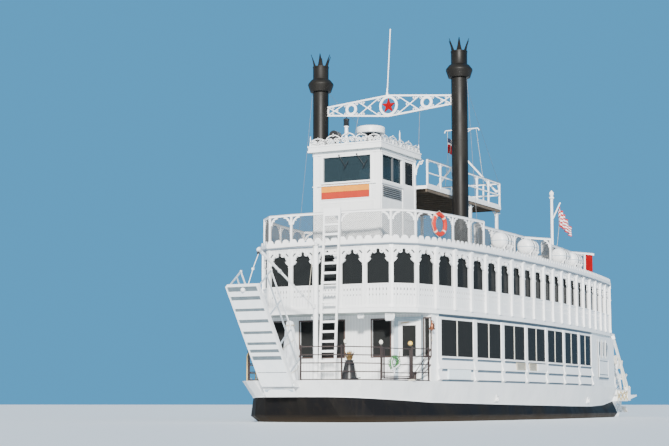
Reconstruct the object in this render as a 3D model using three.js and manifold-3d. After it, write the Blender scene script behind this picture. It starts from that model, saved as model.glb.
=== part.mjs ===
// Sternwheel paddle boat for day excursions, full size.
// Millimetres, +X forward, +Y to port, +Z up. The origin is amidships on the centreline, at the waterline.
import * as THREE from 'three';
import { mergeVertices } from 'three/addons/utils/BufferGeometryUtils.js';
import Module from 'manifold-3d';

const wasm = await Module();
wasm.setup();

// Driving dimensions
const GAP = 0.3;
const DECK_1_Z = 1390;
const DECK_2_UNDER_Z = 3745;
const DECK_2_Z = 3900;
const DECK_3_UNDER_Z = 6105;
const DECK_3_Z = 6250;
const RAIL_TOP_Z = 7300;

// Upper deck plan: nearly flat front, soft corners, sides that close in a little towards the stern
const UPPER_PLAN = { front: 12337, reach: 19680, power: 8.45, sideBow: 1.495e-9 };
const HULL_PLAN = { front: 15000, reach: 22340, power: 5, sideBow: 1.385e-9 };
const HALF_BREADTH = 3992;
const WIDEST_X = 2837;

// Bays between the posts of the arcade, measured along the deck edge from the centreline
const FRONT_BAY = 979;
const SIDE_BAY = 1149;
const FRONT_BAYS_A_SIDE = 4;
const SIDE_BAYS = 18;

const ARCADE_WALL = 60;
const POST_WIDTH = 165;
const SILL_Z = 4740;

const SECOND_DECK_AFT_X = -11470;
const THIRD_DECK_AFT_X = -10230;

const CABIN = { inset: 90, wall: 80, frontX: 10750, aftX: -11280, sillZ: 2280, headZ: 3570 };
const CABIN_PILLAR = 290;
const CABIN_FIRST_PILLAR_X = 10060;
const CABIN_PILLAR_PITCH = 2292;
// The foremost pair of windows is a little wider than the rest
const CABIN_FIRST_PAIR_WIDER = 210;
const CABIN_PAIRS = 7;
const MULLION = 60;
const CABIN_DOOR = { y0: 1990, y1: 2830, z0: 1420, z1: 3500, thick: 45 };

const HOUSE = { frontX: 10820, aftX: 7840, half: 1360, wall: 60, floorZ: 7300, topZ: 9700 };
const HOUSE_ROOF = { frontX: 11020, aftX: 7630, half: 1480, depth: 240 };
const HOUSE_DOOR = { x0: 7980, x1: 8880, z0: 7340, z1: 9580, thick: 40 };
const HOUSE_WINDOW = { z0: 8590, z1: 9500, frontHalf: 960, sideX0: 9050, sideX1: 10700 };

const PLATFORM = { foreX: 7840, aftX: 460, half: 1830, z: 8700, thick: 120, railZ: 9690 };

const STACK = { x: 7330, y: 2944, radius: 305, topZ: 13760, collarZ: 13030 };
const TRUSS = { z: 11950, halfSpan: 2630.7, endHeight: 320, midHeight: 800, thick: 60 };

const WHEEL = { x: -13350, z: 1150, radius: 1800, half: 2300, buckets: 12, bucketDepth: 420 };
const WHEEL_FRAMES = [-2050, 0, 2050];
const TRANSOM_X = -11400;
// The beams that carry the wheel: a side profile that sweeps up to its tip, with the bearing block on top
const BEAM = { y0: 2640, y1: 2860, tipX: -14600, rootLowZ: 745, rootTopZ: 960, tipLowZ: 985, tipTopZ: 1060 };
const BEARING = { half: 230, topZ: 1370 };
const BRACE = { footX: -13820, y: 2750, size: 90 };

const STAGE = { hingeX: 15160, hingeZ: 1230, y: -330, width: 1200, length: 3930, depth: 90, angle: 53.8 };
const KING_POST = { x: 13220, y: 30, radius: 85, topZ: 6080 };
const BOOM = { heelZ: 3940, tipX: 16500, tipY: -330, tipZ: 5660, heelRadius: 22, radius: 60 };
const LADDER = { y: 330, half: 330, footX: 12990, topX: 12600, topZ: 7400, rungs: 16 };

const WHITE = { color: 0xf3f4f2, roughness: 0.45, metalness: 0.0 };
const BLACK = { color: 0x1b1c1c, roughness: 0.5, metalness: 0.1 };
const GLASS = { color: 0x1c2430, roughness: 0.1, metalness: 0.0 };
const ALUMINIUM = { color: 0xd5dbdf, roughness: 0.4, metalness: 0.5 };
const RED = { color: 0xc81f26, roughness: 0.5, metalness: 0.0 };
const ORANGE = { color: 0xe8501f, roughness: 0.5, metalness: 0.0 };
const CANVAS = { color: 0xe9ebec, roughness: 0.9, metalness: 0.0 };
const VARNISH = { color: 0x6b4a34, roughness: 0.6, metalness: 0.0 };

const boat = new THREE.Group();

// Working helpers

function solidOf(geometry) {
  const plain = geometry.index ? geometry.toNonIndexed() : geometry;
  const bare = new THREE.BufferGeometry();
  bare.setAttribute('position', plain.getAttribute('position'));
  const merged = mergeVertices(bare, 1e-2);
  return new wasm.Manifold(new wasm.Mesh({
    numProp: 3,
    vertProperties: new Float32Array(merged.getAttribute('position').array),
    triVerts: new Uint32Array(merged.index.array),
  }));
}

function geometryOf(solid) {
  const mesh = solid.getMesh();
  const geometry = new THREE.BufferGeometry();
  geometry.setAttribute('position', new THREE.BufferAttribute(mesh.vertProperties, 3));
  geometry.setIndex(new THREE.BufferAttribute(mesh.triVerts, 1));
  geometry.computeVertexNormals();
  return geometry;
}

function join(solids) {
  return solids.reduce((whole, piece) => whole.add(piece));
}

function cut(solid, tools) {
  return tools.reduce((whole, tool) => whole.subtract(tool), solid);
}

function block(x0, x1, y0, y1, z0, z1) {
  const box = new THREE.BoxGeometry(x1 - x0, y1 - y0, z1 - z0);
  box.translate((x0 + x1) / 2, (y0 + y1) / 2, (z0 + z1) / 2);
  return solidOf(box);
}

function shapeOf(points, holes = []) {
  const shape = new THREE.Shape(points.map(([x, y]) => new THREE.Vector2(x, y)));
  for (const hole of holes) {
    shape.holes.push(new THREE.Path(hole.map(([x, y]) => new THREE.Vector2(x, y))));
  }
  return shape;
}

// A flat outline in plan, given its thickness from z0 up to z1
function slab(points, z0, z1, holes = []) {
  const geometry = new THREE.ExtrudeGeometry(shapeOf(points, holes), { depth: z1 - z0, bevelEnabled: false });
  geometry.translate(0, 0, z0);
  return solidOf(geometry);
}

// A flat outline set up on edge: u and v are the directions of its two axes, and it is thick along u x v
function panel(points, origin, u, v, thick, holes = []) {
  const geometry = new THREE.ExtrudeGeometry(shapeOf(points, holes), { depth: thick, bevelEnabled: false });
  const across = new THREE.Vector3().crossVectors(u, v);
  const frame = new THREE.Matrix4().makeBasis(u, v, across);
  frame.setPosition(origin);
  geometry.applyMatrix4(frame);
  return solidOf(geometry);
}

const FORWARD = new THREE.Vector3(1, 0, 0);
const TO_PORT = new THREE.Vector3(0, 1, 0);
const UP = new THREE.Vector3(0, 0, 1);

function at(x, y, z) {
  return new THREE.Vector3(x, y, z);
}

// A side profile, x against z, spread across from y0 to y1
function profileAcross(points, y0, y1) {
  return panel(points.map(([x, z]) => [x, z]), at(0, y1, 0), FORWARD, UP, y1 - y0);
}

// A square bar from one point to another
function bar(from, to, width, height = width) {
  const along = new THREE.Vector3().subVectors(to, from);
  const geometry = new THREE.BoxGeometry(along.length(), width, height);
  const x = along.clone().normalize();
  const side = Math.abs(x.z) > 0.99 ? TO_PORT : UP;
  const y = new THREE.Vector3().crossVectors(side, x).normalize();
  const z = new THREE.Vector3().crossVectors(x, y);
  const frame = new THREE.Matrix4().makeBasis(x, y, z);
  frame.setPosition(from.clone().add(to).multiplyScalar(0.5));
  geometry.applyMatrix4(frame);
  return solidOf(geometry);
}

// A round bar from one point to another
function rod(from, to, radius, sides = 8, endRadius = radius) {
  const along = new THREE.Vector3().subVectors(to, from);
  const geometry = new THREE.CylinderGeometry(endRadius, radius, along.length(), sides);
  const turn = new THREE.Quaternion().setFromUnitVectors(TO_PORT, along.clone().normalize());
  geometry.applyQuaternion(turn);
  const middle = from.clone().add(to).multiplyScalar(0.5);
  geometry.translate(middle.x, middle.y, middle.z);
  return solidOf(geometry);
}

// A profile of [radius, z] turned about the vertical axis
function turned(profile, sides) {
  const geometry = new THREE.LatheGeometry(profile.map(([r, z]) => new THREE.Vector2(r, z)), sides);
  geometry.rotateX(Math.PI / 2);
  return solidOf(geometry);
}

// A ring in the x-z plane of the boat, centred at (x, z), from y0 to y1
function ringAcross(x, z, outer, inner, y0, y1, sides) {
  const circle = (radius) => Array.from({ length: sides }, (_, i) => {
    const angle = (2 * Math.PI * i) / sides;
    return [x + radius * Math.cos(angle), z + radius * Math.sin(angle)];
  });
  return panel(circle(outer), at(0, y1, 0), FORWARD, UP, y1 - y0, [circle(inner)]);
}

function piece(name, solid, finish, place = null) {
  const mesh = new THREE.Mesh(geometryOf(solid), new THREE.MeshStandardMaterial(finish));
  mesh.name = name;
  if (place) {
    mesh.position.copy(place);
  }
  boat.add(mesh);
  return mesh;
}

const mirrored = (points) => points.map(([x, y]) => [x, -y]).reverse();

// Plan outlines

function halfBreadth(x, plan) {
  const along = Math.min(Math.max((x - plan.front + plan.reach) / plan.reach, 0), 1);
  const nose = Math.pow(1 - Math.pow(along, plan.power), 1 / plan.power);
  return HALF_BREADTH * (1 - plan.sideBow * (x - WIDEST_X) ** 2) * nose;
}

function noseX(y, plan) {
  let low = 0;
  let high = plan.front;
  for (let step = 0; step < 50; step += 1) {
    const middle = (low + high) / 2;
    if (halfBreadth(middle, plan) > y) {
      low = middle;
    } else {
      high = middle;
    }
  }
  return low;
}

// The deck edge from the centreline at the front to the port quarter, as many short steps
const EDGE_STEP = 100;
const NOSE_STEPS = 30;
const EDGE_END_X = -12000;

function edgeLine(plan) {
  const points = [[plan.front, 0]];
  for (let i = 1; i <= NOSE_STEPS; i += 1) {
    points.push([noseX(i * EDGE_STEP, plan), i * EDGE_STEP]);
  }
  for (let x = points.at(-1)[0] - EDGE_STEP; x > EDGE_END_X; x -= EDGE_STEP) {
    points.push([x, halfBreadth(x, plan)]);
  }
  return points;
}

function pointAlong(line, distance) {
  let left = distance;
  for (let i = 1; i < line.length; i += 1) {
    const [x0, y0] = line[i - 1];
    const [x1, y1] = line[i];
    const length = Math.hypot(x1 - x0, y1 - y0);
    if (left <= length) {
      const share = left / length;
      return [x0 + (x1 - x0) * share, y0 + (y1 - y0) * share];
    }
    left -= length;
  }
  return line.at(-1);
}

const upperEdge = edgeLine(UPPER_PLAN);
const hullEdge = edgeLine(HULL_PLAN);

// Posts of the arcade on the port side, from the centreline aft
const FRONT_END = FRONT_BAY * (FRONT_BAYS_A_SIDE + 0.5);
const portPosts = [];
for (let i = 0; i <= FRONT_BAYS_A_SIDE; i += 1) {
  portPosts.push(pointAlong(upperEdge, FRONT_BAY * (i + 0.5)));
}
for (let i = 1; i <= SIDE_BAYS; i += 1) {
  portPosts.push(pointAlong(upperEdge, FRONT_END + SIDE_BAY * i));
}
const STERN_BAYS = 5;
const [STERN_X, STERN_HALF] = portPosts.at(-1);
const sternPosts = Array.from({ length: STERN_BAYS - 1 }, (_, i) => {
  return [STERN_X, STERN_HALF - (2 * STERN_HALF * (i + 1)) / STERN_BAYS];
});

// The whole plan goes round by way of the front, the port side, the stern and the starboard side
const plan = [...mirrored(portPosts.slice(0, FRONT_BAYS_A_SIDE + 1)), ...portPosts, ...sternPosts,
  ...mirrored(portPosts.slice(FRONT_BAYS_A_SIDE + 1))];
const FRONT_FROM = 0;
const FRONT_TO = 2 * FRONT_BAYS_A_SIDE + 1;
const PORT_TO = FRONT_TO + SIDE_BAYS;
const STERN_TO = PORT_TO + STERN_BAYS;
const ROUND_TO = plan.length;

// Moves a closed outline inwards by a distance, or outwards where it is negative
function inset(loop, distance) {
  const count = loop.length;
  return loop.map(([x, y], i) => {
    const [px, py] = loop[(i + count - 1) % count];
    const [nx, ny] = loop[(i + 1) % count];
    const a = new THREE.Vector2(x - px, y - py).normalize();
    const b = new THREE.Vector2(nx - x, ny - y).normalize();
    const inward = new THREE.Vector2(-a.y - b.y, a.x + b.x).normalize();
    const reach = distance / inward.dot(new THREE.Vector2(-a.y, a.x));
    return [x + inward.x * reach, y + inward.y * reach];
  });
}

// One stretch of wall between two posts of a closed outline, with mitred ends that keep a hair's gap
function wallStretch(loop, from, to, outward, thick, z0, z1) {
  const outer = inset(loop, -outward);
  const inner = inset(loop, thick - outward);
  const pick = (line, i) => [...line[i % line.length]];
  const stretch = (line) => {
    const points = [];
    for (let i = from; i <= to; i += 1) {
      points.push(pick(line, i));
    }
    trimEnd(points, 0, 1);
    trimEnd(points, points.length - 1, points.length - 2);
    return points;
  };
  return slab([...stretch(outer), ...stretch(inner).reverse()], z0, z1);
}

function trimEnd(points, end, next) {
  const [x, y] = points[end];
  const length = Math.hypot(points[next][0] - x, points[next][1] - y);
  const share = GAP / length;
  points[end] = [x + (points[next][0] - x) * share, y + (points[next][1] - y) * share];
}

// The frame of one bay: its middle, the direction along it, and its length
function bayOf(loop, i) {
  const [x0, y0] = loop[i % loop.length];
  const [x1, y1] = loop[(i + 1) % loop.length];
  const along = new THREE.Vector3(x1 - x0, y1 - y0, 0);
  const length = along.length();
  along.normalize();
  const outward = new THREE.Vector3(along.y, -along.x, 0);
  return { middle: at((x0 + x1) / 2, (y0 + y1) / 2, 0), along, outward, length };
}

// A cutter of a given outline, standing through the wall of one bay
const CUT_REACH = 400;

function throughBay(bay, points) {
  const origin = bay.middle.clone().addScaledVector(bay.outward, -CUT_REACH / 2);
  const back = bay.along.clone().negate();
  return panel(points.map(([u, z]) => [-u, z]), origin.clone().addScaledVector(bay.outward, CUT_REACH),
    back, UP, CUT_REACH);
}

// Hull

// Levels of the hull, from the keel up. front and aft are where the level ends, half is its half-breadth
// amidships, power its bluntness at the bow, and tuck how much it narrows by the stern.
const HULL_LEVELS = [
  { z: -1200, front: 9600, aft: -4600, half: 2700, power: 3.0, tuck: 0.10 },
  { z: -900, front: 11700, aft: -6600, half: 3350, power: 3.2, tuck: 0.14 },
  { z: -300, front: 13400, aft: -9800, half: 3720, power: 3.8, tuck: 0.20 },
  { z: 200, front: 14200, aft: -11250, half: 3850, power: 4.4, tuck: 0.24 },
];
const LEVEL_STEPS = [0, 0.003, 0.012, 0.03, 0.06, 0.1, 0.16, 0.25, 0.38, 0.52, 0.66, 0.8, 0.9, 1];

// The lower edge of the white topsides: x against height
const KNUCKLE = [[15000, 860], [10500, 660], [4500, 580], [-4500, 500], [-8000, 500], [TRANSOM_X, 740]];

function knuckleZ(x) {
  for (let i = 1; i < KNUCKLE.length; i += 1) {
    const [x0, z0] = KNUCKLE[i - 1];
    const [x1, z1] = KNUCKLE[i];
    if (x >= x1) {
      return z0 + ((z1 - z0) * (x0 - x)) / (x0 - x1);
    }
  }
  return KNUCKLE.at(-1)[1];
}

function levelLine({ front, aft, half, power, tuck }, heightAt) {
  const length = front - aft;
  return LEVEL_STEPS.map((step) => {
    const x = front - step * length;
    const nose = Math.pow(1 - Math.pow(1 - step, power), 1 / power);
    const stern = 1 - tuck * Math.max(0, (step - 0.45) / 0.55) ** 2;
    return at(x, step === 0 ? 0 : half * nose * stern, heightAt(x));
  });
}

// The deck edge and the knuckle below it, on the same steps as the levels
function edgeLevel(front, aft, narrower, heightAt) {
  return LEVEL_STEPS.map((step) => {
    const x = front - step * (front - aft);
    const onDeck = HULL_PLAN.front - step * (HULL_PLAN.front - TRANSOM_X);
    const y = step === 0 ? 0 : Math.max(halfBreadth(onDeck, HULL_PLAN) - narrower, 0);
    return at(x, y, heightAt(x));
  });
}

// Skins a stack of levels. Each level is its port side from bow to stern, and both sides are made alike.
function skin(levels) {
  const steps = levels[0].length;
  const around = 2 * steps - 1;
  const positions = [];
  for (const level of levels) {
    for (const p of level) {
      positions.push(p.x, p.y, p.z);
    }
    for (let i = steps - 1; i > 0; i -= 1) {
      positions.push(level[i].x, -level[i].y, level[i].z);
    }
  }
  const index = [];
  for (let l = 0; l + 1 < levels.length; l += 1) {
    for (let i = 0; i < around; i += 1) {
      const a = l * around + i;
      const b = l * around + ((i + 1) % around);
      index.push(a, b, b + around, a, b + around, a + around);
    }
  }
  const top = (levels.length - 1) * around;
  for (let i = 0; i + 1 < steps; i += 1) {
    const port = [i, i + 1];
    const starboard = [i === 0 ? 0 : around - i, around - i - 1];
    index.push(port[0], starboard[1], port[1]);
    index.push(top + port[0], top + port[1], top + starboard[1]);
    if (i > 0) {
      index.push(port[0], starboard[0], starboard[1]);
      index.push(top + port[0], top + starboard[1], top + starboard[0]);
    }
  }
  const geometry = new THREE.BufferGeometry();
  geometry.setAttribute('position', new THREE.Float32BufferAttribute(positions, 3));
  geometry.setIndex(index);
  return solidOf(geometry);
}

const KNUCKLE_FRONT = 14640;
const KNUCKLE_NARROWER = 230;
const SKEG = { x0: -10200, x1: 200, half: 90, topZ: -250 };
const RUDDER = { x: -9700, y: 1250, topZ: -450, bottomZ: -1150, stockTopZ: 0, stock: 55, bore: 55.6, sides: 32 };

const knuckle = edgeLevel(KNUCKLE_FRONT, TRANSOM_X, KNUCKLE_NARROWER, knuckleZ);
const hullTop = knuckle.map((p) => at(p.x, p.y, p.z - GAP));
const skegProfile = [[SKEG.x1, HULL_LEVELS[0].z], [SKEG.x1, SKEG.topZ], [SKEG.x0, SKEG.topZ],
  [SKEG.x0, HULL_LEVELS[0].z]];
const rudderBores = [1, -1].map((side) => rod(at(RUDDER.x, side * RUDDER.y, RUDDER.bottomZ),
  at(RUDDER.x, side * RUDDER.y, RUDDER.stockTopZ + 5), RUDDER.bore, RUDDER.sides));
piece('hull', cut(join([
  skin([...HULL_LEVELS.map((level) => levelLine(level, () => level.z)), hullTop]),
  profileAcross(skegProfile, -SKEG.half, SKEG.half),
]), rudderBores), BLACK);
const deckLine = edgeLevel(HULL_PLAN.front, TRANSOM_X, 0, () => DECK_1_Z);
// Two lugs on the bow carry the stage's hinge, one outside each of its side beams
const HINGE_LUG = { root: 14700, radius: 60, thick: 40, off: STAGE.width / 2 + GAP, sides: 16 };
const hingeLugs = [STAGE.y + HINGE_LUG.off, STAGE.y - HINGE_LUG.off - HINGE_LUG.thick].map((y0) => join([
  block(HINGE_LUG.root, STAGE.hingeX, y0, y0 + HINGE_LUG.thick, STAGE.hingeZ - HINGE_LUG.radius,
    STAGE.hingeZ + HINGE_LUG.radius),
  rod(at(STAGE.hingeX, y0, STAGE.hingeZ), at(STAGE.hingeX, y0 + HINGE_LUG.thick, STAGE.hingeZ),
    HINGE_LUG.radius, HINGE_LUG.sides),
]));
piece('topsides', join([skin([knuckle, deckLine]), ...hingeLugs]), WHITE);

// Main cabin

const cabinStations = [CABIN.frontX];
for (let i = 0; i <= CABIN_PAIRS; i += 1) {
  cabinStations.push(CABIN_FIRST_PILLAR_X - CABIN_PILLAR_PITCH * i + (i === 0 ? CABIN_FIRST_PAIR_WIDER : 0));
}
cabinStations.push(CABIN.aftX);
const cabinSide = cabinStations.map((x) => [x, halfBreadth(x, HULL_PLAN) - CABIN.inset]);
const cabinPlan = [...cabinSide, ...mirrored(cabinSide)];
const CABIN_SIDE_TO = cabinSide.length - 1;
const CABIN_AFT_TO = CABIN_SIDE_TO + 1;
const CABIN_STARBOARD_TO = CABIN_AFT_TO + CABIN_SIDE_TO;
const CABIN_LOW = DECK_1_Z + GAP;
const CABIN_HIGH = DECK_2_UNDER_Z - GAP;

function cabinPairCuts(firstBay) {
  const tools = [];
  for (let i = 0; i < CABIN_PAIRS; i += 1) {
    const bay = bayOf(cabinPlan, firstBay + i);
    const half = (bay.length - CABIN_PILLAR) / 2;
    const frame = (u0, u1) => [[u0, CABIN.sillZ], [u1, CABIN.sillZ], [u1, CABIN.headZ], [u0, CABIN.headZ]];
    tools.push(throughBay(bay, frame(-half, -MULLION / 2)), throughBay(bay, frame(MULLION / 2, half)));
  }
  return tools;
}

const sideWall = (from, to) => wallStretch(cabinPlan, from, to, 0, CABIN.wall, CABIN_LOW, CABIN_HIGH);
piece('cabin_wall_port', cut(sideWall(0, CABIN_SIDE_TO), cabinPairCuts(1)), WHITE);
piece('cabin_wall_starboard', cut(sideWall(CABIN_AFT_TO, CABIN_STARBOARD_TO), cabinPairCuts(CABIN_AFT_TO + 1)),
  WHITE);
const AFT_WINDOW = { half: 900, from: 450 };
const aftWindow = (side) => block(CABIN.aftX - CUT_REACH, CABIN.aftX + CUT_REACH,
  side > 0 ? AFT_WINDOW.from : -AFT_WINDOW.from - AFT_WINDOW.half,
  side > 0 ? AFT_WINDOW.from + AFT_WINDOW.half : -AFT_WINDOW.from, CABIN.sillZ, CABIN.headZ);
piece('cabin_wall_aft', cut(sideWall(CABIN_SIDE_TO, CABIN_AFT_TO), [aftWindow(1), aftWindow(-1)]), WHITE);

// Openings in the front wall: y0 and y1 across, then sill and head
const FRONT_OPENINGS = [
  { y0: 960, y1: 1680, z0: CABIN.sillZ, z1: CABIN.headZ },
  { y0: 2990, y1: 3230, z0: CABIN.sillZ, z1: CABIN.headZ },
  { y0: -1950, y1: -150, z0: CABIN.sillZ, z1: CABIN.headZ },
  { y0: -3200, y1: -2350, z0: CABIN.sillZ, z1: CABIN.headZ },
  { y0: CABIN_DOOR.y0, y1: CABIN_DOOR.y1, z0: CABIN_LOW - 100, z1: CABIN_DOOR.z1 },
];
const frontCuts = FRONT_OPENINGS.map(({ y0, y1, z0, z1 }) => {
  return block(CABIN.frontX - CUT_REACH, CABIN.frontX + CUT_REACH, y0, y1, z0, z1);
});
const frontWall = wallStretch(cabinPlan, CABIN_STARBOARD_TO, CABIN_STARBOARD_TO + 1, 0, CABIN.wall,
  CABIN_LOW, CABIN_HIGH);
piece('cabin_wall_front', cut(frontWall, frontCuts), WHITE);

// One long pane inside the side and front walls, cut away round the door
const PANE = { back: GAP, thick: 12, below: 40, above: 40 };
const paneOuter = inset(cabinPlan, CABIN.wall + PANE.back);
const paneInner = inset(cabinPlan, CABIN.wall + PANE.back + PANE.thick);
const paneZ0 = CABIN.sillZ - PANE.below;
const paneZ1 = CABIN.headZ + PANE.above;
const cabinPanes = slab(paneOuter, paneZ0, paneZ1, [paneInner]);
const doorZone = block(CABIN.frontX - 600, CABIN.frontX, CABIN_DOOR.y0 - 60, CABIN_DOOR.y1 + 60, 0,
  CABIN_DOOR.z1 + 60);
piece('cabin_glass', cut(cabinPanes, [doorZone]), GLASS);

const DOOR_GAP = 6;
const DOOR_PANE = { side: 150, low: 850, high: 150 };

function leaf(width, height, thick, pane) {
  const outline = [[0, 0], [width, 0], [width, height], [0, height]];
  const hole = [[pane.side, pane.low], [width - pane.side, pane.low], [width - pane.side, height - pane.high],
    [pane.side, height - pane.high]];
  return { outline, hole, thick };
}

// A door's hinged edge stands close to its jamb, and turns about its outer corner there
const cabinLeaf = leaf(CABIN_DOOR.y1 - CABIN_DOOR.y0 - DOOR_GAP - GAP, CABIN_DOOR.z1 - CABIN_DOOR.z0 - DOOR_GAP,
  CABIN_DOOR.thick, DOOR_PANE);
piece('cabin_door', panel(cabinLeaf.outline,
  at(CABIN.frontX - CABIN_DOOR.thick, CABIN_DOOR.y0 + DOOR_GAP, CABIN_DOOR.z0), TO_PORT, UP, CABIN_DOOR.thick,
  [cabinLeaf.hole]), WHITE);

// Second deck and its arcade

const DECK_2_PROUD = 25;
const DECK_3_PROUD = 70;

// A deck's outline: the arcade's posts, then on to where the deck ends
function deckOutline(aftX) {
  const side = [...portPosts, [aftX, halfBreadth(aftX, UPPER_PLAN)]];
  return [...mirrored(side), ...side];
}
piece('second_deck', slab(inset(deckOutline(SECOND_DECK_AFT_X), -DECK_2_PROUD), DECK_2_UNDER_Z, DECK_2_Z), WHITE);

// Half outline of an arched window: share of the half-width against height
const ARCH = [[1, SILL_Z], [1, 5460], [0.66, 5590], [0.66, 5735], [0.5, 5815], [0.18, 5815], [0, 5960]];

function archPoints(half) {
  const right = ARCH.map(([share, z]) => [share * half, z]);
  const left = ARCH.slice(0, -1).map(([share, z]) => [-share * half, z]).reverse();
  return [...right, ...left];
}

// The way in to the second deck is through the middle bay of the after wall
const ARCADE_DOORWAY = { bay: PORT_TO + 2, half: 450, z1: 5900 };

function doorwayPoints(low) {
  const { half, z1 } = ARCADE_DOORWAY;
  return [[-half, low], [half, low], [half, z1], [-half, z1]];
}

function arcadeWall(name, from, to) {
  const z0 = DECK_2_Z + GAP;
  const z1 = DECK_3_UNDER_Z - GAP;
  const tools = [];
  const ribs = [];
  for (let i = from; i < to; i += 1) {
    const bay = bayOf(plan, i);
    const opening = i === ARCADE_DOORWAY.bay ? doorwayPoints(z0 - 100) : archPoints((bay.length - POST_WIDTH) / 2);
    tools.push(throughBay(bay, opening));
    if (i > from) {
      const [x, y] = plan[i % plan.length];
      const before = bayOf(plan, i - 1);
      const out = before.outward.clone().add(bay.outward).normalize();
      const rib = bar(at(x, y, z0).addScaledVector(out, -10), at(x, y, z1).addScaledVector(out, -10), 90, 90);
      ribs.push(rib);
    }
  }
  const wall = wallStretch(plan, from, to, 0, ARCADE_WALL, z0, z1);
  piece(name, join([cut(wall, tools), ...ribs]), WHITE);
}

arcadeWall('arcade_front', FRONT_FROM, FRONT_TO);
arcadeWall('arcade_port', FRONT_TO, PORT_TO);
arcadeWall('arcade_aft', PORT_TO, STERN_TO);
arcadeWall('arcade_starboard', STERN_TO, ROUND_TO);
const ARCADE_PANE_BACK = 46;
const arcadePaneOuter = inset(plan, ARCADE_WALL + ARCADE_PANE_BACK);
const arcadePaneInner = inset(plan, ARCADE_WALL + ARCADE_PANE_BACK + PANE.thick);
const arcadePanes = slab(arcadePaneOuter, DECK_2_Z + GAP, DECK_3_UNDER_Z - GAP, [arcadePaneInner]);
const paneDoorway = throughBay(bayOf(plan, ARCADE_DOORWAY.bay), doorwayPoints(DECK_2_Z - 100));
piece('arcade_glass', arcadePanes.subtract(paneDoorway), GLASS);

piece('third_deck', slab(inset(deckOutline(THIRD_DECK_AFT_X), -DECK_3_PROUD), DECK_3_UNDER_Z, DECK_3_Z), WHITE);

// Third-deck rails

const RAIL = { inset: 60, behindRafts: 780, turnIn: 430, post: 70, top: 70, crestZ: 6290, crest: 25, lastPost: 19,
  aftBays: 6 };
// Two posts of the front are left out, so that its bays are wider there
const NO_POST = new Set([FRONT_FROM + FRONT_BAYS_A_SIDE, FRONT_FROM + FRONT_BAYS_A_SIDE + 2]);
// The rail runs along the deck edge, and steps inboard behind the rafts, from post to post on each side
const RAFT_POSTS = [[8, 12], [14, 18]];
const portPostIndex = (post) => FRONT_TO - FRONT_BAYS_A_SIDE + post;
const starboardPostIndex = (post) => STERN_TO + portPosts.length - 1 - post;
const byRafts = new Set();
for (const [first, last] of RAFT_POSTS) {
  for (let post = first; post <= last; post += 1) {
    byRafts.add(portPostIndex(post));
    byRafts.add(starboardPostIndex(post));
  }
}
const alongEdge = inset(plan, RAIL.inset);
const inboard = inset(plan, RAIL.behindRafts);
const railPosts = plan.map((_, i) => (byRafts.has(i) ? inboard[i] : alongEdge[i]));
// Abaft each funnel, the post where the rail turns in stands ahead of the arcade's post
for (const i of [portPostIndex(RAFT_POSTS[0][0]), starboardPostIndex(RAFT_POSTS[0][0])]) {
  railPosts[i] = [railPosts[i][0] + RAIL.turnIn, railPosts[i][1]];
}
// Abaft the rafts the rail crosses the deck, and the roof behind it is bare
const RAIL_PORT_TO = portPostIndex(RAIL.lastPost);
const RAIL_AFT_TO = RAIL_PORT_TO + RAIL.aftBays;
const [railAftX, railAftY] = railPosts[RAIL_PORT_TO];
const aftRailPosts = Array.from({ length: RAIL.aftBays - 1 },
  (_, i) => [railAftX, railAftY * (1 - (2 * (i + 1)) / RAIL.aftBays)]);
const railPlan = [...railPosts.slice(0, RAIL_PORT_TO + 1), ...aftRailPosts,
  ...railPosts.slice(starboardPostIndex(RAIL.lastPost))];

function thirdRail(name, from, to) {
  const z0 = DECK_3_Z + GAP;
  const parts = [
    wallStretch(railPlan, from, to, RAIL.top / 2, RAIL.top, RAIL_TOP_Z - RAIL.top, RAIL_TOP_Z),
    wallStretch(railPlan, from, to, RAIL.top / 2, RAIL.crest, z0, RAIL.crestZ),
  ];
  for (let i = from + 1; i < to; i += 1) {
    if (!NO_POST.has(i)) {
      const [x, y] = railPlan[i];
      parts.push(bar(at(x, y, z0), at(x, y, RAIL_TOP_Z - 10), RAIL.post));
    }
  }
  piece(name, join(parts), WHITE);
}

thirdRail('rail_front', FRONT_FROM, FRONT_TO);
thirdRail('rail_port', FRONT_TO, RAIL_PORT_TO);
thirdRail('rail_aft', RAIL_PORT_TO, RAIL_AFT_TO);
thirdRail('rail_starboard', RAIL_AFT_TO, railPlan.length);

// Wheelhouse

const housePlan = [[HOUSE.frontX, -HOUSE.half], [HOUSE.frontX, HOUSE.half], [HOUSE.aftX, HOUSE.half],
  [HOUSE.aftX, -HOUSE.half]];
const HOUSE_LOW = DECK_3_Z + GAP;
const HOUSE_HIGH = HOUSE.topZ - GAP;
const houseWall = (from) => wallStretch(housePlan, from, from + 1, 0, HOUSE.wall, HOUSE_LOW, HOUSE_HIGH);
const houseFrontCut = block(HOUSE.frontX - CUT_REACH, HOUSE.frontX + CUT_REACH, -HOUSE_WINDOW.frontHalf,
  HOUSE_WINDOW.frontHalf, HOUSE_WINDOW.z0, HOUSE_WINDOW.z1);
const houseAftCut = block(HOUSE.aftX - CUT_REACH, HOUSE.aftX + CUT_REACH, -HOUSE_WINDOW.frontHalf,
  HOUSE_WINDOW.frontHalf, 9000, HOUSE_WINDOW.z1);
const houseSideCuts = (side) => {
  const y0 = side > 0 ? HOUSE.half - CUT_REACH : -HOUSE.half - CUT_REACH;
  const window = block(HOUSE_WINDOW.sideX0, HOUSE_WINDOW.sideX1, y0, y0 + 2 * CUT_REACH, HOUSE_WINDOW.z0,
    HOUSE_WINDOW.z1);
  const door = block(HOUSE_DOOR.x0, HOUSE_DOOR.x1, y0, y0 + 2 * CUT_REACH, HOUSE_DOOR.z0 - 10, HOUSE_DOOR.z1);
  return [window, door];
};
piece('wheelhouse_wall_front', cut(houseWall(0), [houseFrontCut]), WHITE);
piece('wheelhouse_wall_port', cut(houseWall(1), houseSideCuts(1)), WHITE);
piece('wheelhouse_wall_aft', cut(houseWall(2), [houseAftCut]), WHITE);
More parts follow.
